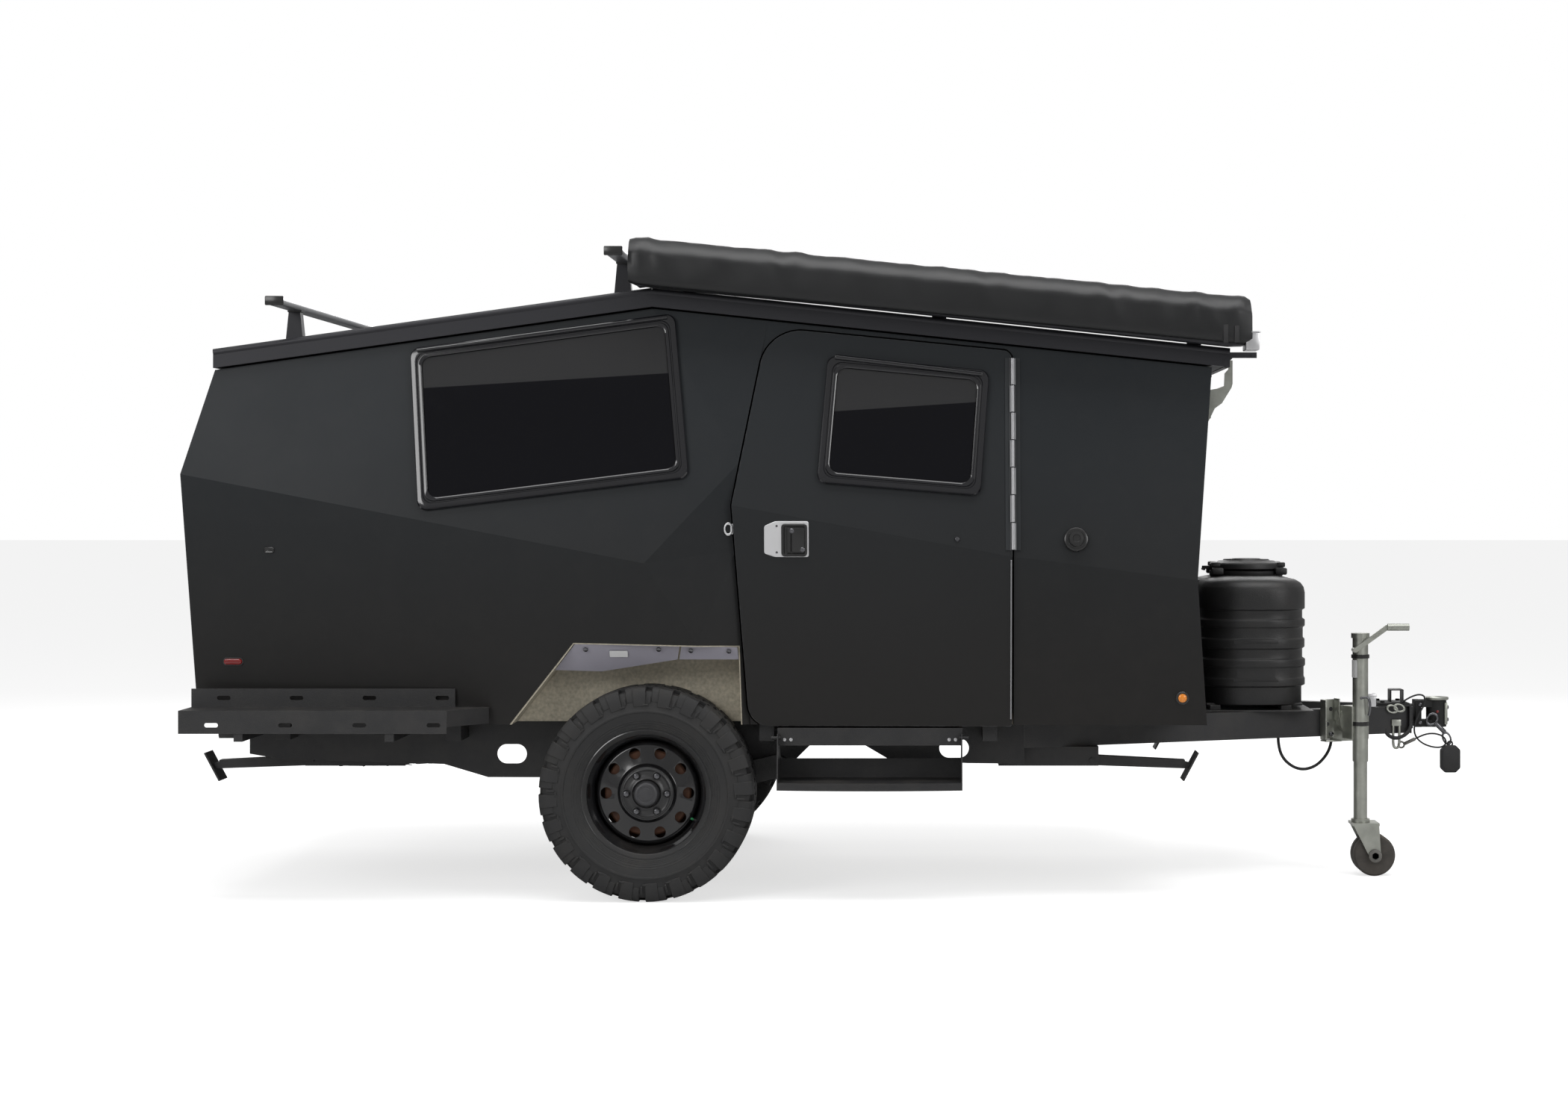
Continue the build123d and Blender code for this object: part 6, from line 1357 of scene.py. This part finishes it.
def inflate(piece: bpy.types.Object, pressure: float, cap: float, voxel: float) -> bpy.types.Object:
    """Swells a closed soft piece with a short cloth simulation, its movement capped.

    Args:
        piece: Closed mesh.
        pressure: Pressure inside it.
        cap: Most that a point may move, in metres.
        voxel: Size that it is remeshed to, in metres.

    Returns:
        The same object with the settled shape applied.
    """
    finish_modifier(piece, "REMESH", mode="VOXEL", voxel_size=voxel)
    before = [vertex.co.copy() for vertex in piece.data.vertices]
    cloth = piece.modifiers.new("cloth", "CLOTH")
    cloth.settings.quality = 4
    cloth.settings.mass = 0.3
    cloth.settings.use_pressure = True
    cloth.settings.uniform_pressure_force = pressure
    cloth.settings.bending_stiffness = 2.0
    cloth.settings.effector_weights.gravity = 0.0
    cloth.collision_settings.use_collision = False
    for step in range(1, 15):
        bpy.context.scene.frame_set(step)
    depsgraph = bpy.context.evaluated_depsgraph_get()
    after = [vertex.co.copy() for vertex in piece.evaluated_get(depsgraph).data.vertices]
    piece.modifiers.remove(cloth)
    bpy.context.scene.frame_set(1)
    for vertex, old, new in zip(piece.data.vertices, before, after):
        step_made = new - old
        vertex.co = old + step_made * min(1.0, cap / max(step_made.length, 1e-6))
    piece.data.update()
    return piece


@dataclass
class GasHose:
    """Hose that hangs in a loop inside the right tongue rail."""

    ROUTE: tuple[tuple[float, float], ...] = (
        (2250, 512), (2250, 458), (2279, 404), (2336, 372), (2396, 382), (2440, 422), (2461, 468), (2461, 512))

    def build(self) -> None:
        points = [at(x, (x - RAIL_START_X) * RAIL_RUN_IN / RAIL_RUN - RAIL_START_Y + INSIDE_RAIL, z)
                  for x, z in self.ROUTE]
        hose = line_of("visual_gas_hose", points, 5.5)
        mount(hose, "visual_gas_hose", "trailer", RUBBER_BLACK, ["gas_hose"])


@dataclass
class SideWindow:
    """Top-hung window: stepped frame with a bead round the pane, and its hinge rail."""

    name: str
    plane: SidePlane
    corners: tuple[tuple[float, float], ...]
    body: str
    node: str
    skin: float = 0.0
    STEPS: tuple[tuple[float, float], ...] = (
        (0, 10), (3, 5), (9, 2), (8, -0.4), (2, -3), (4, 0), (2, 4.5), (7, 0.5), (3.5, -2), (1.5, -54))

    def build(self, *sides: Side) -> None:
        """Makes the frame on each of the given sides."""
        frame_piece = pressed(self.plane, self.corners, 28, self.STEPS, self.skin + 0.3, True)
        (x0, z0), (x1, z1) = self.corners[:2]
        proud = self.skin + 20
        rail = rod(self.plane.place(x0 + 26, z0 - 7, proud), self.plane.place(x1 - 26, z1 - 14, proud), 0.0085, 16,
                   0.002)
        piece = smooth(joined(self.name, [frame_piece, rail]), 30)
        for side in sides:
            twin = copied(piece, "copy", MIRROR if side is Side.LEFT else None)
            mount(twin, f"{self.name}_{side.value}", self.body, GLOSS_FRAME, [self.node])
        bpy.data.objects.remove(piece)


@dataclass
class DoorFurniture:
    """Handle plate with its paddle, keeper, bolt, grip knob, catch and marker lamps."""

    def build(self) -> None:
        """Makes each fitting on its facet."""
        outline = [(403, 1284), (440, 1300), (555, 1300), (555, 1178), (440, 1178), (403, 1190)]
        plate = pressed(LOWER_DOOR, outline, 7, [(0, 3.4), (1.6, 1.2), (6, 0)], DOOR_SKIN + 0.3)
        mount(smooth(plate), "visual_handle_plate", "side_door", HANDLE_SILVER, ["door_handle"])
        rim = pressed(LOWER_DOOR, rectangle(506, 1236, 88, 112), 12, [(0, 5), (2, 2), (6, 0), (3, -5)], DOOR_SKIN + 3)
        paddle = pressed(LOWER_DOOR, rectangle(520, 1236, 46, 84), 7, [(0, 6), (2, 3), (4, 0.5)], DOOR_SKIN + 4)
        lip = pressed(LOWER_DOOR, rectangle(488, 1236, 14, 84), 4, [(0, 4), (1.5, 1.5)], DOOR_SKIN + 4)
        mount(smooth(joined("paddle", [rim, paddle, lip])), "visual_handle_paddle", "side_door",
              FITTING_BLACK)
        screws = [button(LOWER_DOOR, x, z, [(9, 0), (8.6, 3), (6, 5), (2, 5.2), (0, 4)], DOOR_SKIN + 10)
                  for x, z in ((498, 1268), (534, 1204))]
        screws += [button(LOWER_DOOR, x, z, [(4, 0), (3.6, 1.4), (0, 1.8)], DOOR_SKIN + 4.6)
                   for x, z in ((446, 1284), (446, 1194))]
        screws.append(button(UPPER_FRONT, 1061, 1236, [(9, 0), (9, 3), (7, 6), (3, 7), (0, 6.5)], DOOR_SKIN))
        mount(smooth(joined("screws", screws)), "visual_door_screws", "side_door", NUT_CHROME)
        strip = pressed(LOWER_DOOR, [(1243, 1168), (1248, 1168), (1248, 622), (1243, 622)], 0, [(0, 3), (0.8, 0.8)],
                        DOOR_SKIN)
        mount(strip, "visual_door_edge_strip", "side_door", HINGE_STEEL)
        knob = button(UPPER_FRONT, 1467, 1236, [(42, 0.3), (42, 7), (40, 11), (36, 13), (30, 13), (28, 15), (27, 29),
                                                (24, 33), (14, 34.5), (12, 32), (0, 32)])
        catch = pressed(LOWER_REAR, rectangle(-1300, 1200, 34, 20), 6, [(0, 4), (2, 2), (4, -1.5)])
        mount(smooth(joined("knob", [knob, catch])), "visual_hull_fittings", "trailer", FITTING_BLACK,
              ["hull_fittings"])
        keeper = [brick((286, -960, 1254), (296, -944, 1290), 2), ring((279, -962, 1272), 14, 3.2, (0.9, 1, 1.35))]
        mount(joined("keeper", keeper), "visual_door_keeper", "trailer", HANDLE_SILVER)
        self.lamps()

    def lamps(self) -> None:
        """Marker lamps on the sides and tail lamps on the rear wall."""
        red = pressed(LOWER_REAR, rectangle(-1436, 814, 64, 20), 9.9, [(0, 5), (1.5, 3), (3, 1)], 1.2)
        amber = button(LOWER_FRONT, 1832, 694, [(15, 4), (14.6, 7), (11, 10), (5, 11.5), (0, 12)])
        tails = [slab([(-1571, 742), (-1593, 748), (-1595, 872), (-1577, 878)], 563, 697, 0.004)]
        bezels = [button(LOWER_FRONT, 1832, 694, [(23, 0.3), (23, 4), (20, 6.5), (15.5, 6.5), (15, 3)]),
                  pressed(LOWER_REAR, rectangle(-1436, 814, 72, 28), 13, [(0, 2), (1, 0.6)]),
                  slab([(-1568, 734), (-1580, 736), (-1584, 886), (-1573, 886)], 555, 705, 0.002)]
        for name, group, slot, finish in (("red_lens", [red, *tails], "lamp_red", LENS_RED),
                                          ("amber_lens", [amber], "lamp_red", LENS_AMBER),
                                          ("lamp_bezels", bezels, "fitting_black", FITTING_BLACK)):
            piece = smooth(joined(name, group), 30)
            replaced = ["hull_lamps"] if "lens" in name else []
            mount(mirrored(piece, "copy"), f"visual_{name}_left", "trailer", finish, replaced)
            mount(piece, f"visual_{name}_right", "trailer", finish, replaced)


@dataclass
class TentSkirt:
    """Folded fabric under the pop-up roof, in two runs that meet below the ridge, pleated while shut."""

    half_width: float = 0.800
    height: float = 0.066
    folds: int = 8
    depth: float = 0.034

    def run(self, name: str, end: tuple[float, float], ridge: tuple[float, float]) -> None:
        """Makes one run, from the ridge round one end of the hull.

        Args:
            name: Name of the piece.
            end: X and Z of the run's top edge at the end of the hull, in millimetres.
            ridge: X and Z of its top edge at the ridge.
        """
        low = [at(x, y, z) - Vector((0, 0, self.height)) for x, y, z in (
            (ridge[0], -self.half_width * 1000, ridge[1]), (end[0], -self.half_width * 1000, end[1]),
            (end[0], self.half_width * 1000, end[1]), (ridge[0], self.half_width * 1000, ridge[1]))]
        skirt = drawn(low)
        edit(skirt)
        centre = at(ridge[0], 0, ridge[1])
        length = abs(end[0] - ridge[0]) / 1000
        for fold in range(self.folds):
            inward = self.depth if fold % 2 == 0 else -self.depth
            folded_in = 0.0 if fold % 2 == 0 else self.depth
            before_x, before_y = length - folded_in, self.half_width - folded_in
            bpy.ops.mesh.extrude_region_move(TRANSFORM_OT_translate={"value": (0, 0, self.height / self.folds)})
            bpy.ops.transform.resize(value=((before_x - inward) / before_x, (before_y - inward) / before_y, 1),
                                     center_override=centre)
        bpy.ops.object.mode_set(mode="OBJECT")
        tidy_shell(skirt)
        finish_modifier(skirt, "SOLIDIFY", thickness=0.0012, offset=0)
        skirt.name = name
        dress(skirt, SKIRT_CANVAS)
        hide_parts("tent_skirt")
        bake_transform(skirt)

    def build(self) -> None:
        """Makes both runs."""
        self.run("visual_tent_skirt_rear", (-1428, 1835), (11, 2035))
        self.run("visual_tent_skirt_front", (1882, 1839), (11, 2035))


@dataclass
class Mattress:
    """Foam mattress, crowned by a cloth simulation."""

    def build(self) -> None:
        """Makes the pad inside its CAD box."""
        low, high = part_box("mattress")
        shrink = Vector((0.008, 0.008, 0.006))
        pad = block(low + shrink, high - shrink, 0.035, 4)
        inflate(pad, 3.0, 0.006, 0.022)
        smooth(finish_modifier(pad, "SMOOTH", factor=0.5, iterations=4), 60)
        mount(pad, "visual_mattress", "trailer", MATTRESS_CLOTH, ["mattress"])


@dataclass
class Tongue:
    """Fittings on the tongue, the jack, the coupler and the roof's front corner, beyond the solids."""

    label_radius: float = 30.6
    cable_length: float = 0.545

    def add(self, name: str, body: str, slot: str, finish: Skin, pieces: Sequence[bpy.types.Object],
            both: bool = False) -> bpy.types.Object:
        """Joins pieces into one and mounts it, on both sides of the trailer where asked."""
        piece = smooth(joined(name, list(pieces)), 40)
        if both:
            mount(mirrored(piece, "copy"), f"visual_{name}_left", body, finish)
        return mount(piece, f"visual_{name}", body, finish)

    def beside_rail(self, piece: bpy.types.Object) -> bpy.types.Object:
        """Turns a piece made along +X at the origin to lie along the right rail's outer face."""
        angle = math.atan2(RAIL_RUN_IN, RAIL_RUN)
        start = at(RAIL_START_X, -RAIL_START_Y - RAIL_HALF * math.cos(angle) ** 2, 0)
        start.x += RAIL_HALF * math.sin(angle) * math.cos(angle) / 1000
        piece.data.transform(Matrix.Translation(-at(0, 0, 0)))
        piece.data.transform(Matrix.Translation(start) @ Matrix.Rotation(angle, 4, "Z"))
        return piece

    def rail_fittings(self) -> None:
        """Folded bracket with its bolts, tube stub, junction box, links and hooks."""
        bracket = self.beside_rail(brick((1195, -9, 489), (1250, -0.5, 636), 2))
        fold = self.beside_rail(brick((1195, -40, 489), (1201, -4, 636), 1.5))
        flange = self.beside_rail(brick((1195, -44, 482), (1262, -2, 488), 1.5))
        ears = [self.beside_rail(brick((x, -46, 560), (x + 5, -9, 640), 1.5)) for x in (1248, 1338)]
        self.add("jack_bracket_fold", "trailer", "zinc", ZINC_PLATE, [bracket, fold, flange, *ears])
        bolts = [self.beside_rail(pin((x, -18, z), (x, -8, z), 9, 6, 1.5)) for x, z in ((1216, 545), (1236, 508))]
        holes = [self.beside_rail(pin((x, -9.4, z), (x, -6, z), 8, 20, 0)) for x, z in ((1212, 600), (1236, 600))]
        self.add("jack_bracket_bolts", "trailer", "zinc", NUT_CHROME, bolts)
        self.add("jack_bracket_holes", "trailer", "fitting_black", RUBBER_BLACK, holes)
        box = [brick((2590, -128, 601), (2628, -92, 650), 3), brick((2588, -130, 640), (2630, -90, 645), 1)]
        links = [ring((x, x / 60 - 156, z), 13, 3.2, (1.45, 1, 1), (0, 0.3, 0)) for x, z in ((2690, 592), (2716, 596))]
        self.add("junction_box", "trailer", "zinc", BAR_ALUMINIUM, box)
        hooks = [pin((x, -96, 540), (x, -96, 470), 5) for x in (2696, 2719)]
        bend = ((2696, 474), (2696, 452), (2707.5, 444), (2719, 452), (2719, 474))
        hooks += [wire_piece([(x, -96, z) for x, z in bend], 5),
                  brick((2690, -102, 528), (2725, -86, 552), 2)]
        self.add("rail_hook", "trailer", "zinc", ZINC_PLATE, [*hooks, *links])
        stub = brick((2698, -20, 608), (2749, 44, 659), 3)
        cut(stub, brick((2702.5, -40, 612.5), (2744.5, 60, 654.5), 1))
        self.add("tube_stub", "trailer", "chassis_black", CHASSIS_COAT, [stub])
        loop = wire_piece([(2660, -97, 540), (2664, -100, 512), (2680, -100, 489), (2708, -101, 481), (2738, -98, 492),
                           (2764, -84, 515), (2768, -70, 540)], 7)
        self.add("nose_loop", "trailer", "cord_black", RUBBER_BLACK, [loop])
        plates = [brick((2640, -84, 608), (2762, 84, 612), 1.5)]
        bolts = [pin((x, y, 611), (x, y, 619), 9, 6, 1.5) for x in (2662, 2738) for y in (-58, 58)]
        self.add("nose_plate", "trailer", "chassis_black", CAST_BLACK, plates + bolts)

    def cable(self) -> None:
        """Breakaway cable, looped from the nose round under the coupler to its crimp."""
        points = [at(*place) for place in (
            (2718, -64, 606), (2740, -66, 618), (2770, -66, 636), (2800, -62, 644), (2822, -58, 636), (2822, -56, 606),
            (2800, -56, 572), (2782, -56, 530), (2782, -56, 492), (2806, -56, 462), (2848, -56, 445), (2886, -56, 444),
            (2904, -56, 462), (2892, -58, 486), (2858, -60, 498), (2816, -60, 494), (2782, -62, 476))]
        line = line_of("visual_breakaway_cable", points, 3.2)
        mount(line, "visual_breakaway_cable", "trailer", RUBBER_BLACK)
        crimp = self.add("cable_crimp", "trailer", "zinc", WORN_STEEL, [
            pin((2784, -62, 477), (2745, -63, 459), 6.5, 14, 1.5), ring((2732, -63, 455), 11, 3.4)])

    def coupler(self) -> None:
        """Disc, side plate, bolts and the cased pendant on its snap link."""
        disc = turned([at(2874 + r, 0, z) for r, z in ((0, 632), (18, 632), (22, 630), (44, 630), (46, 628), (46, 621),
                                                       (43, 619), (30, 619))], at(2874, 0, 0), UP, 40)
        plate = brick((2900, -34, 528), (2911, 34, 610), 2)
        self.add("coupler_disc", "coupler", "zinc", ZINC_PLATE, [disc, plate])
        bolts = [pin((2909, y, z), (2917, y, z), 7, 6, 1.5) for y in (-20, 20) for z in (546, 592)]
        bolts += [pin((2806, -46, z), (2806, -38, z), 7, 6, 1.5) for z in (536, 604)]
        self.add("coupler_bolts", "coupler", "zinc", NUT_CHROME, bolts)
        self.add("coupler_dot", "coupler", "lamp_red", LENS_RED, [pin((2872, -40, 577), (2872, -36, 577), 5)])
        link = [ring((2850, -46, 549), 15, 3.4, (1.2, 1, 1.5), (0, 0.7, 0)),
                ring((2905, -46, 478), 14, 3.4, (1, 1, 1.6), (0, -0.4, 0)),
                pin((2862, -46, 536), (2898, -46, 500), 9, 16, 3)]
        self.add("snap_link", "coupler", "zinc", NUT_CHROME, link)
        low, high, c = (2880, 350), (2954, 452), 17
        outline = [(low[0] + c, low[1]), (high[0] - c, low[1]), (high[0], low[1] + c), (high[0], high[1] - c),
                   (high[0] - c, high[1]), (low[0] + c, high[1]), (low[0], high[1] - c), (low[0], low[1] + c)]
        inner = [(2917 + (x - 2917) * 0.84, 401 + (z - 401) * 0.88) for x, z in outline]
        case = [slab(outline, -62, -38, 0.004), slab(inner, -65, -35, 0.002), ring((2917, -50, 458), 9, 3)]
        self.add("hanging_case", "coupler", "cord_black", RUBBER_BLACK, case)

    def jack(self) -> None:
        """Blank label, two collars, the pull pin and the caster wheels' caps."""
        centre = frame_centre("jack_leg")
        x, y = (centre.x - AXLE_X) * 1000, centre.y * 1000
        radius = self.label_radius
        label = turned([at(x, y - radius, 722), at(x, y - radius, 786)], at(x, y, 0), UP, 12,
                       math.radians(70))
        label.data.transform(Matrix.Translation(at(x, y, 0)) @ Matrix.Rotation(math.radians(-30), 4, "Z")
                             @ Matrix.Translation(-at(x, y, 0)))
        self.add("jack_label", "jack_body", "zinc", LABEL_WHITE, [label])
        collars = []
        for z, height, out in ((792, 14, 2.5), (545, 15, 1.2)):
            profile = [(-1.5, z), (out - 1, z), (out, z + 1), (out, z + height - 1), (out - 1, z + height),
                       (-1.5, z + height), (-1.5, z)]
            collars.append(turned([at(x, y - radius - grown, up) for grown, up in profile], at(x, y, 0), UP, 40))
        self.add("jack_collars", "jack_body", "fitting_black", FITTING_BLACK, collars)
        bent = ((-6, -34, 646), (14, -38, 655), (30, -38, 642), (30, -34, 600), (26, -26, 585))
        self.add("jack_pull_pin", "jack_body", "zinc", NUT_CHROME, [
            wire_piece([(x + ahead, y + aside, z) for ahead, aside, z in bent], 4.5)])
        wheel_low, wheel_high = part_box("jack_wheels")
        cx, cz = ((wheel_low.x + wheel_high.x) / 2 - AXLE_X) * 1000, (wheel_low.z + wheel_high.z) * 500
        face = wheel_low.y * 1000
        caps = [pin((cx, face - 1, cz), (cx, face + 5, cz), radius, sides, 1.5)
                for radius, sides in ((15, 6), (24, 28))]
        self.add("caster_caps", "jack_wheel_pair", "zinc", WORN_STEEL, caps)

    def roof_corner(self) -> None:
        """Bar caps, the bag's end plate, channel and straps, screws, and the fender's label and bolts."""
        caps = []
        for x, z in ((-1263, 2050), (-110, 2220)):
            for side in (-1, 1):
                cap = brick((x - 32, side * 1001 - 4, z - 16), (x + 32, side * 1001 + 4, z + 16), 3.9)
                caps += [cap, brick((x - 24, side * 680 - 26, z - 20), (x + 24, side * 680 + 26, z + 2), 3)]
        self.add("roof_bar_caps", "pop_up_roof", "rail_black", FITTING_BLACK, caps)
        plate = [brick((2044, -1000, 1882), (2090, -894, 1944), 3), brick((2040, -1004, 1941), (2094, -890, 1946), 1.5)]
        self.add("bag_end_plate", "pop_up_roof", "bar_aluminium", BAR_ALUMINIUM, plate)
        channel = slab([(-30, 2122), (2040, 1920), (2040, 1898), (1990, 1897), (11, 2104), (-30, 2099)], -985, -905,
                       0.002)
        self.add("bag_channel", "pop_up_roof", "rail_black", RAIL_BLACK, [channel])
        straps = [brick((x, -1013, 1906), (x + 16, -1008, 1960 + (2044 - x) * 0.0975), 1.2) for x in (2004, 1966)]
        self.add("bag_straps", "pop_up_roof", "bag_black", RUBBER_BLACK, straps)
        screws = [pin((x, -938, 550), (x, -930, 550), 6, 14, 1.2) for x in (470, 492, 1034, 1056)]
        screws += [pin((x, -1015, 640), (x, -1008, 640), 5, 12, 1) for x in (-1420, -1180, -940, -700)]
        self.add("white_screws", "trailer", "zinc", BAR_ALUMINIUM, screws)
        label = pressed(FENDER, rectangle(-98, 846, 62, 22), 3, [(0, 0.6)], 3.4)
        self.add("fender_label", "trailer", "fender_grey", LABEL_WHITE, [label], True)
        bolts = [button(FENDER, x, z, [(8, 0), (8, 4), (5, 5.5), (0, 5)], 3.2) for x, z in
                 ((-210, 862), (40, 862), (150, 858), (280, 856))]
        self.add("fender_bolts", "trailer", "zinc", NUT_CHROME, bolts, True)

    def build(self) -> None:
        """Makes every group."""
        self.rail_fittings()
        self.cable()
        self.coupler()
        self.jack()
        self.roof_corner()


@dataclass
class Studio:
    """Floor, light and camera of the photograph.

    The camera looks straight across the trailer, and its frame is shifted from the lens axis.
    """

    focal_px: float = 3696.0
    axis_px: Point = (1245.0, 667.0, 0.0)
    frame_px: tuple[float, float] = (2100.0, 1500.0)
    ahead: float = 0.967
    height: float = 1.378
    distance: float = 10.390
    sensor: float = 36.0
    floor_size: float = 160.0

    def camera(self) -> bpy.types.Object:
        """Camera at the photograph's place."""
        width, height = self.frame_px
        data = bpy.data.cameras.new("photo_camera")
        data.sensor_width = self.sensor
        data.lens = self.sensor * self.focal_px / width
        data.shift_x = (width / 2 - self.axis_px[0]) / width
        data.shift_y = (self.axis_px[1] - height / 2) / width
        data.clip_end = 400
        camera = bpy.data.objects.new("photo_camera", data)
        bpy.context.scene.collection.objects.link(camera)
        camera.location = (self.ahead + AXLE_X, -self.distance, self.height)
        camera.rotation_euler = (math.pi / 2, 0, 0)
        bpy.context.scene.camera = camera
        return camera

    def lamp(self, name: str, place: Point, target: Point, size: tuple[float, float], power: float) -> None:
        """Soft rectangular lamp.

        Args:
            name: Name of the lamp.
            place: Where it stands, in metres.
            target: Point that it faces.
            size: Its width and height in metres.
            power: Radiant power in watts.
        """
        data = bpy.data.lights.new(name, "AREA")
        data.shape = "RECTANGLE"
        data.size, data.size_y = size
        data.energy = power
        lamp = bpy.data.objects.new(name, data)
        bpy.context.scene.collection.objects.link(lamp)
        lamp.location = place
        lamp.rotation_euler = (Vector(target) - Vector(place)).to_track_quat("-Z", "Y").to_euler()

    def world(self) -> None:
        """Even pale surroundings, white where the camera sees them straight or through glass."""
        world = bpy.data.worlds.new("studio")
        bpy.context.scene.world = world
        world.use_nodes = True
        wire = Wiring(world.node_tree)
        background = world.node_tree.nodes["Background"]
        path = wire.add("ShaderNodeLightPath")
        seen = wire.maths("MAXIMUM", path.outputs["Is Camera Ray"], path.outputs["Is Transmission Ray"])
        strength = wire.maths("MULTIPLY_ADD", seen, 0.62, 0.38)
        wire.feed(background, {"Color": (1.0, 1.0, 1.0, 1.0), "Strength": strength})

    def floor(self) -> None:
        """White floor that keeps the shadow and meets the white surroundings."""
        bpy.ops.mesh.primitive_plane_add(size=self.floor_size, location=(0, 0, 0))
        floor = bpy.context.object
        floor.name = "studio_floor"
        material = bpy.data.materials.new("studio_floor")
        material.use_nodes = True
        nodes = material.node_tree.nodes
        wire = Wiring(material.node_tree)
        shader = nodes["Principled BSDF"]
        wire.feed(shader, {"Base Color": (0.62, 0.62, 0.62, 1.0), "Roughness": 1.0, "Specular IOR Level": 0.0})
        path = wire.add("ShaderNodeLightPath")
        glow = wire.add("ShaderNodeEmission")
        wire.feed(glow, {"Strength": wire.maths("MULTIPLY", path.outputs["Is Camera Ray"], 0.66)})
        total = wire.add("ShaderNodeAddShader")
        wire.feed(total, {0: shader.outputs[0], 1: glow.outputs[0]})
        wire.join(total.outputs[0], nodes["Material Output"].inputs["Surface"])
        floor.data.materials.append(material)

    def build(self) -> None:
        """Sets up the whole studio."""
        self.camera()
        self.world()
        self.floor()
        self.lamp("overhead", (0.4, -1.5, 6.5), (0.4, 0, 1.0), (8.0, 4.0), 330)
        self.lamp("front_left", (-5.5, -7.5, 4.2), (-0.5, 0, 1.0), (4.0, 3.0), 210)
        self.lamp("front_right", (6.0, -6.0, 3.5), (1.0, 0, 1.0), (3.0, 3.0), 130)
        self.lamp("back", (0.0, 7.0, 4.5), (0, 0, 1.0), (7.0, 3.0), 200)
        bpy.context.scene.view_settings.view_transform = "Standard"


def main() -> None:
    """Builds the studio and each sub-assembly in order."""
    logging.basicConfig(level=logging.INFO, format="%(message)s")
    bpy.ops.object.select_all(action="DESELECT")
    Studio().build()
    dress_frame()
    GasHose().build()
    Wheel(centre=frame_centre("tyre_right")).build()
    GasCover().build()
    AwningBag().build()
    SideWindow("visual_window_frame", UPPER_REAR, BIG_WINDOW, "trailer", "window_frames").build(Side.LEFT, Side.RIGHT)
    SideWindow("visual_front_window", UPPER_FRONT, DOOR_WINDOW, "trailer", "window_frames").build(Side.LEFT)
    SideWindow("visual_door_window", UPPER_FRONT, DOOR_WINDOW, "side_door", "door_window_frame",
               DOOR_SKIN).build(Side.RIGHT)
    DoorFurniture().build()
    TentSkirt().build()
    Mattress().build()
    Tongue().build()


if __name__ == "__main__":
    main()
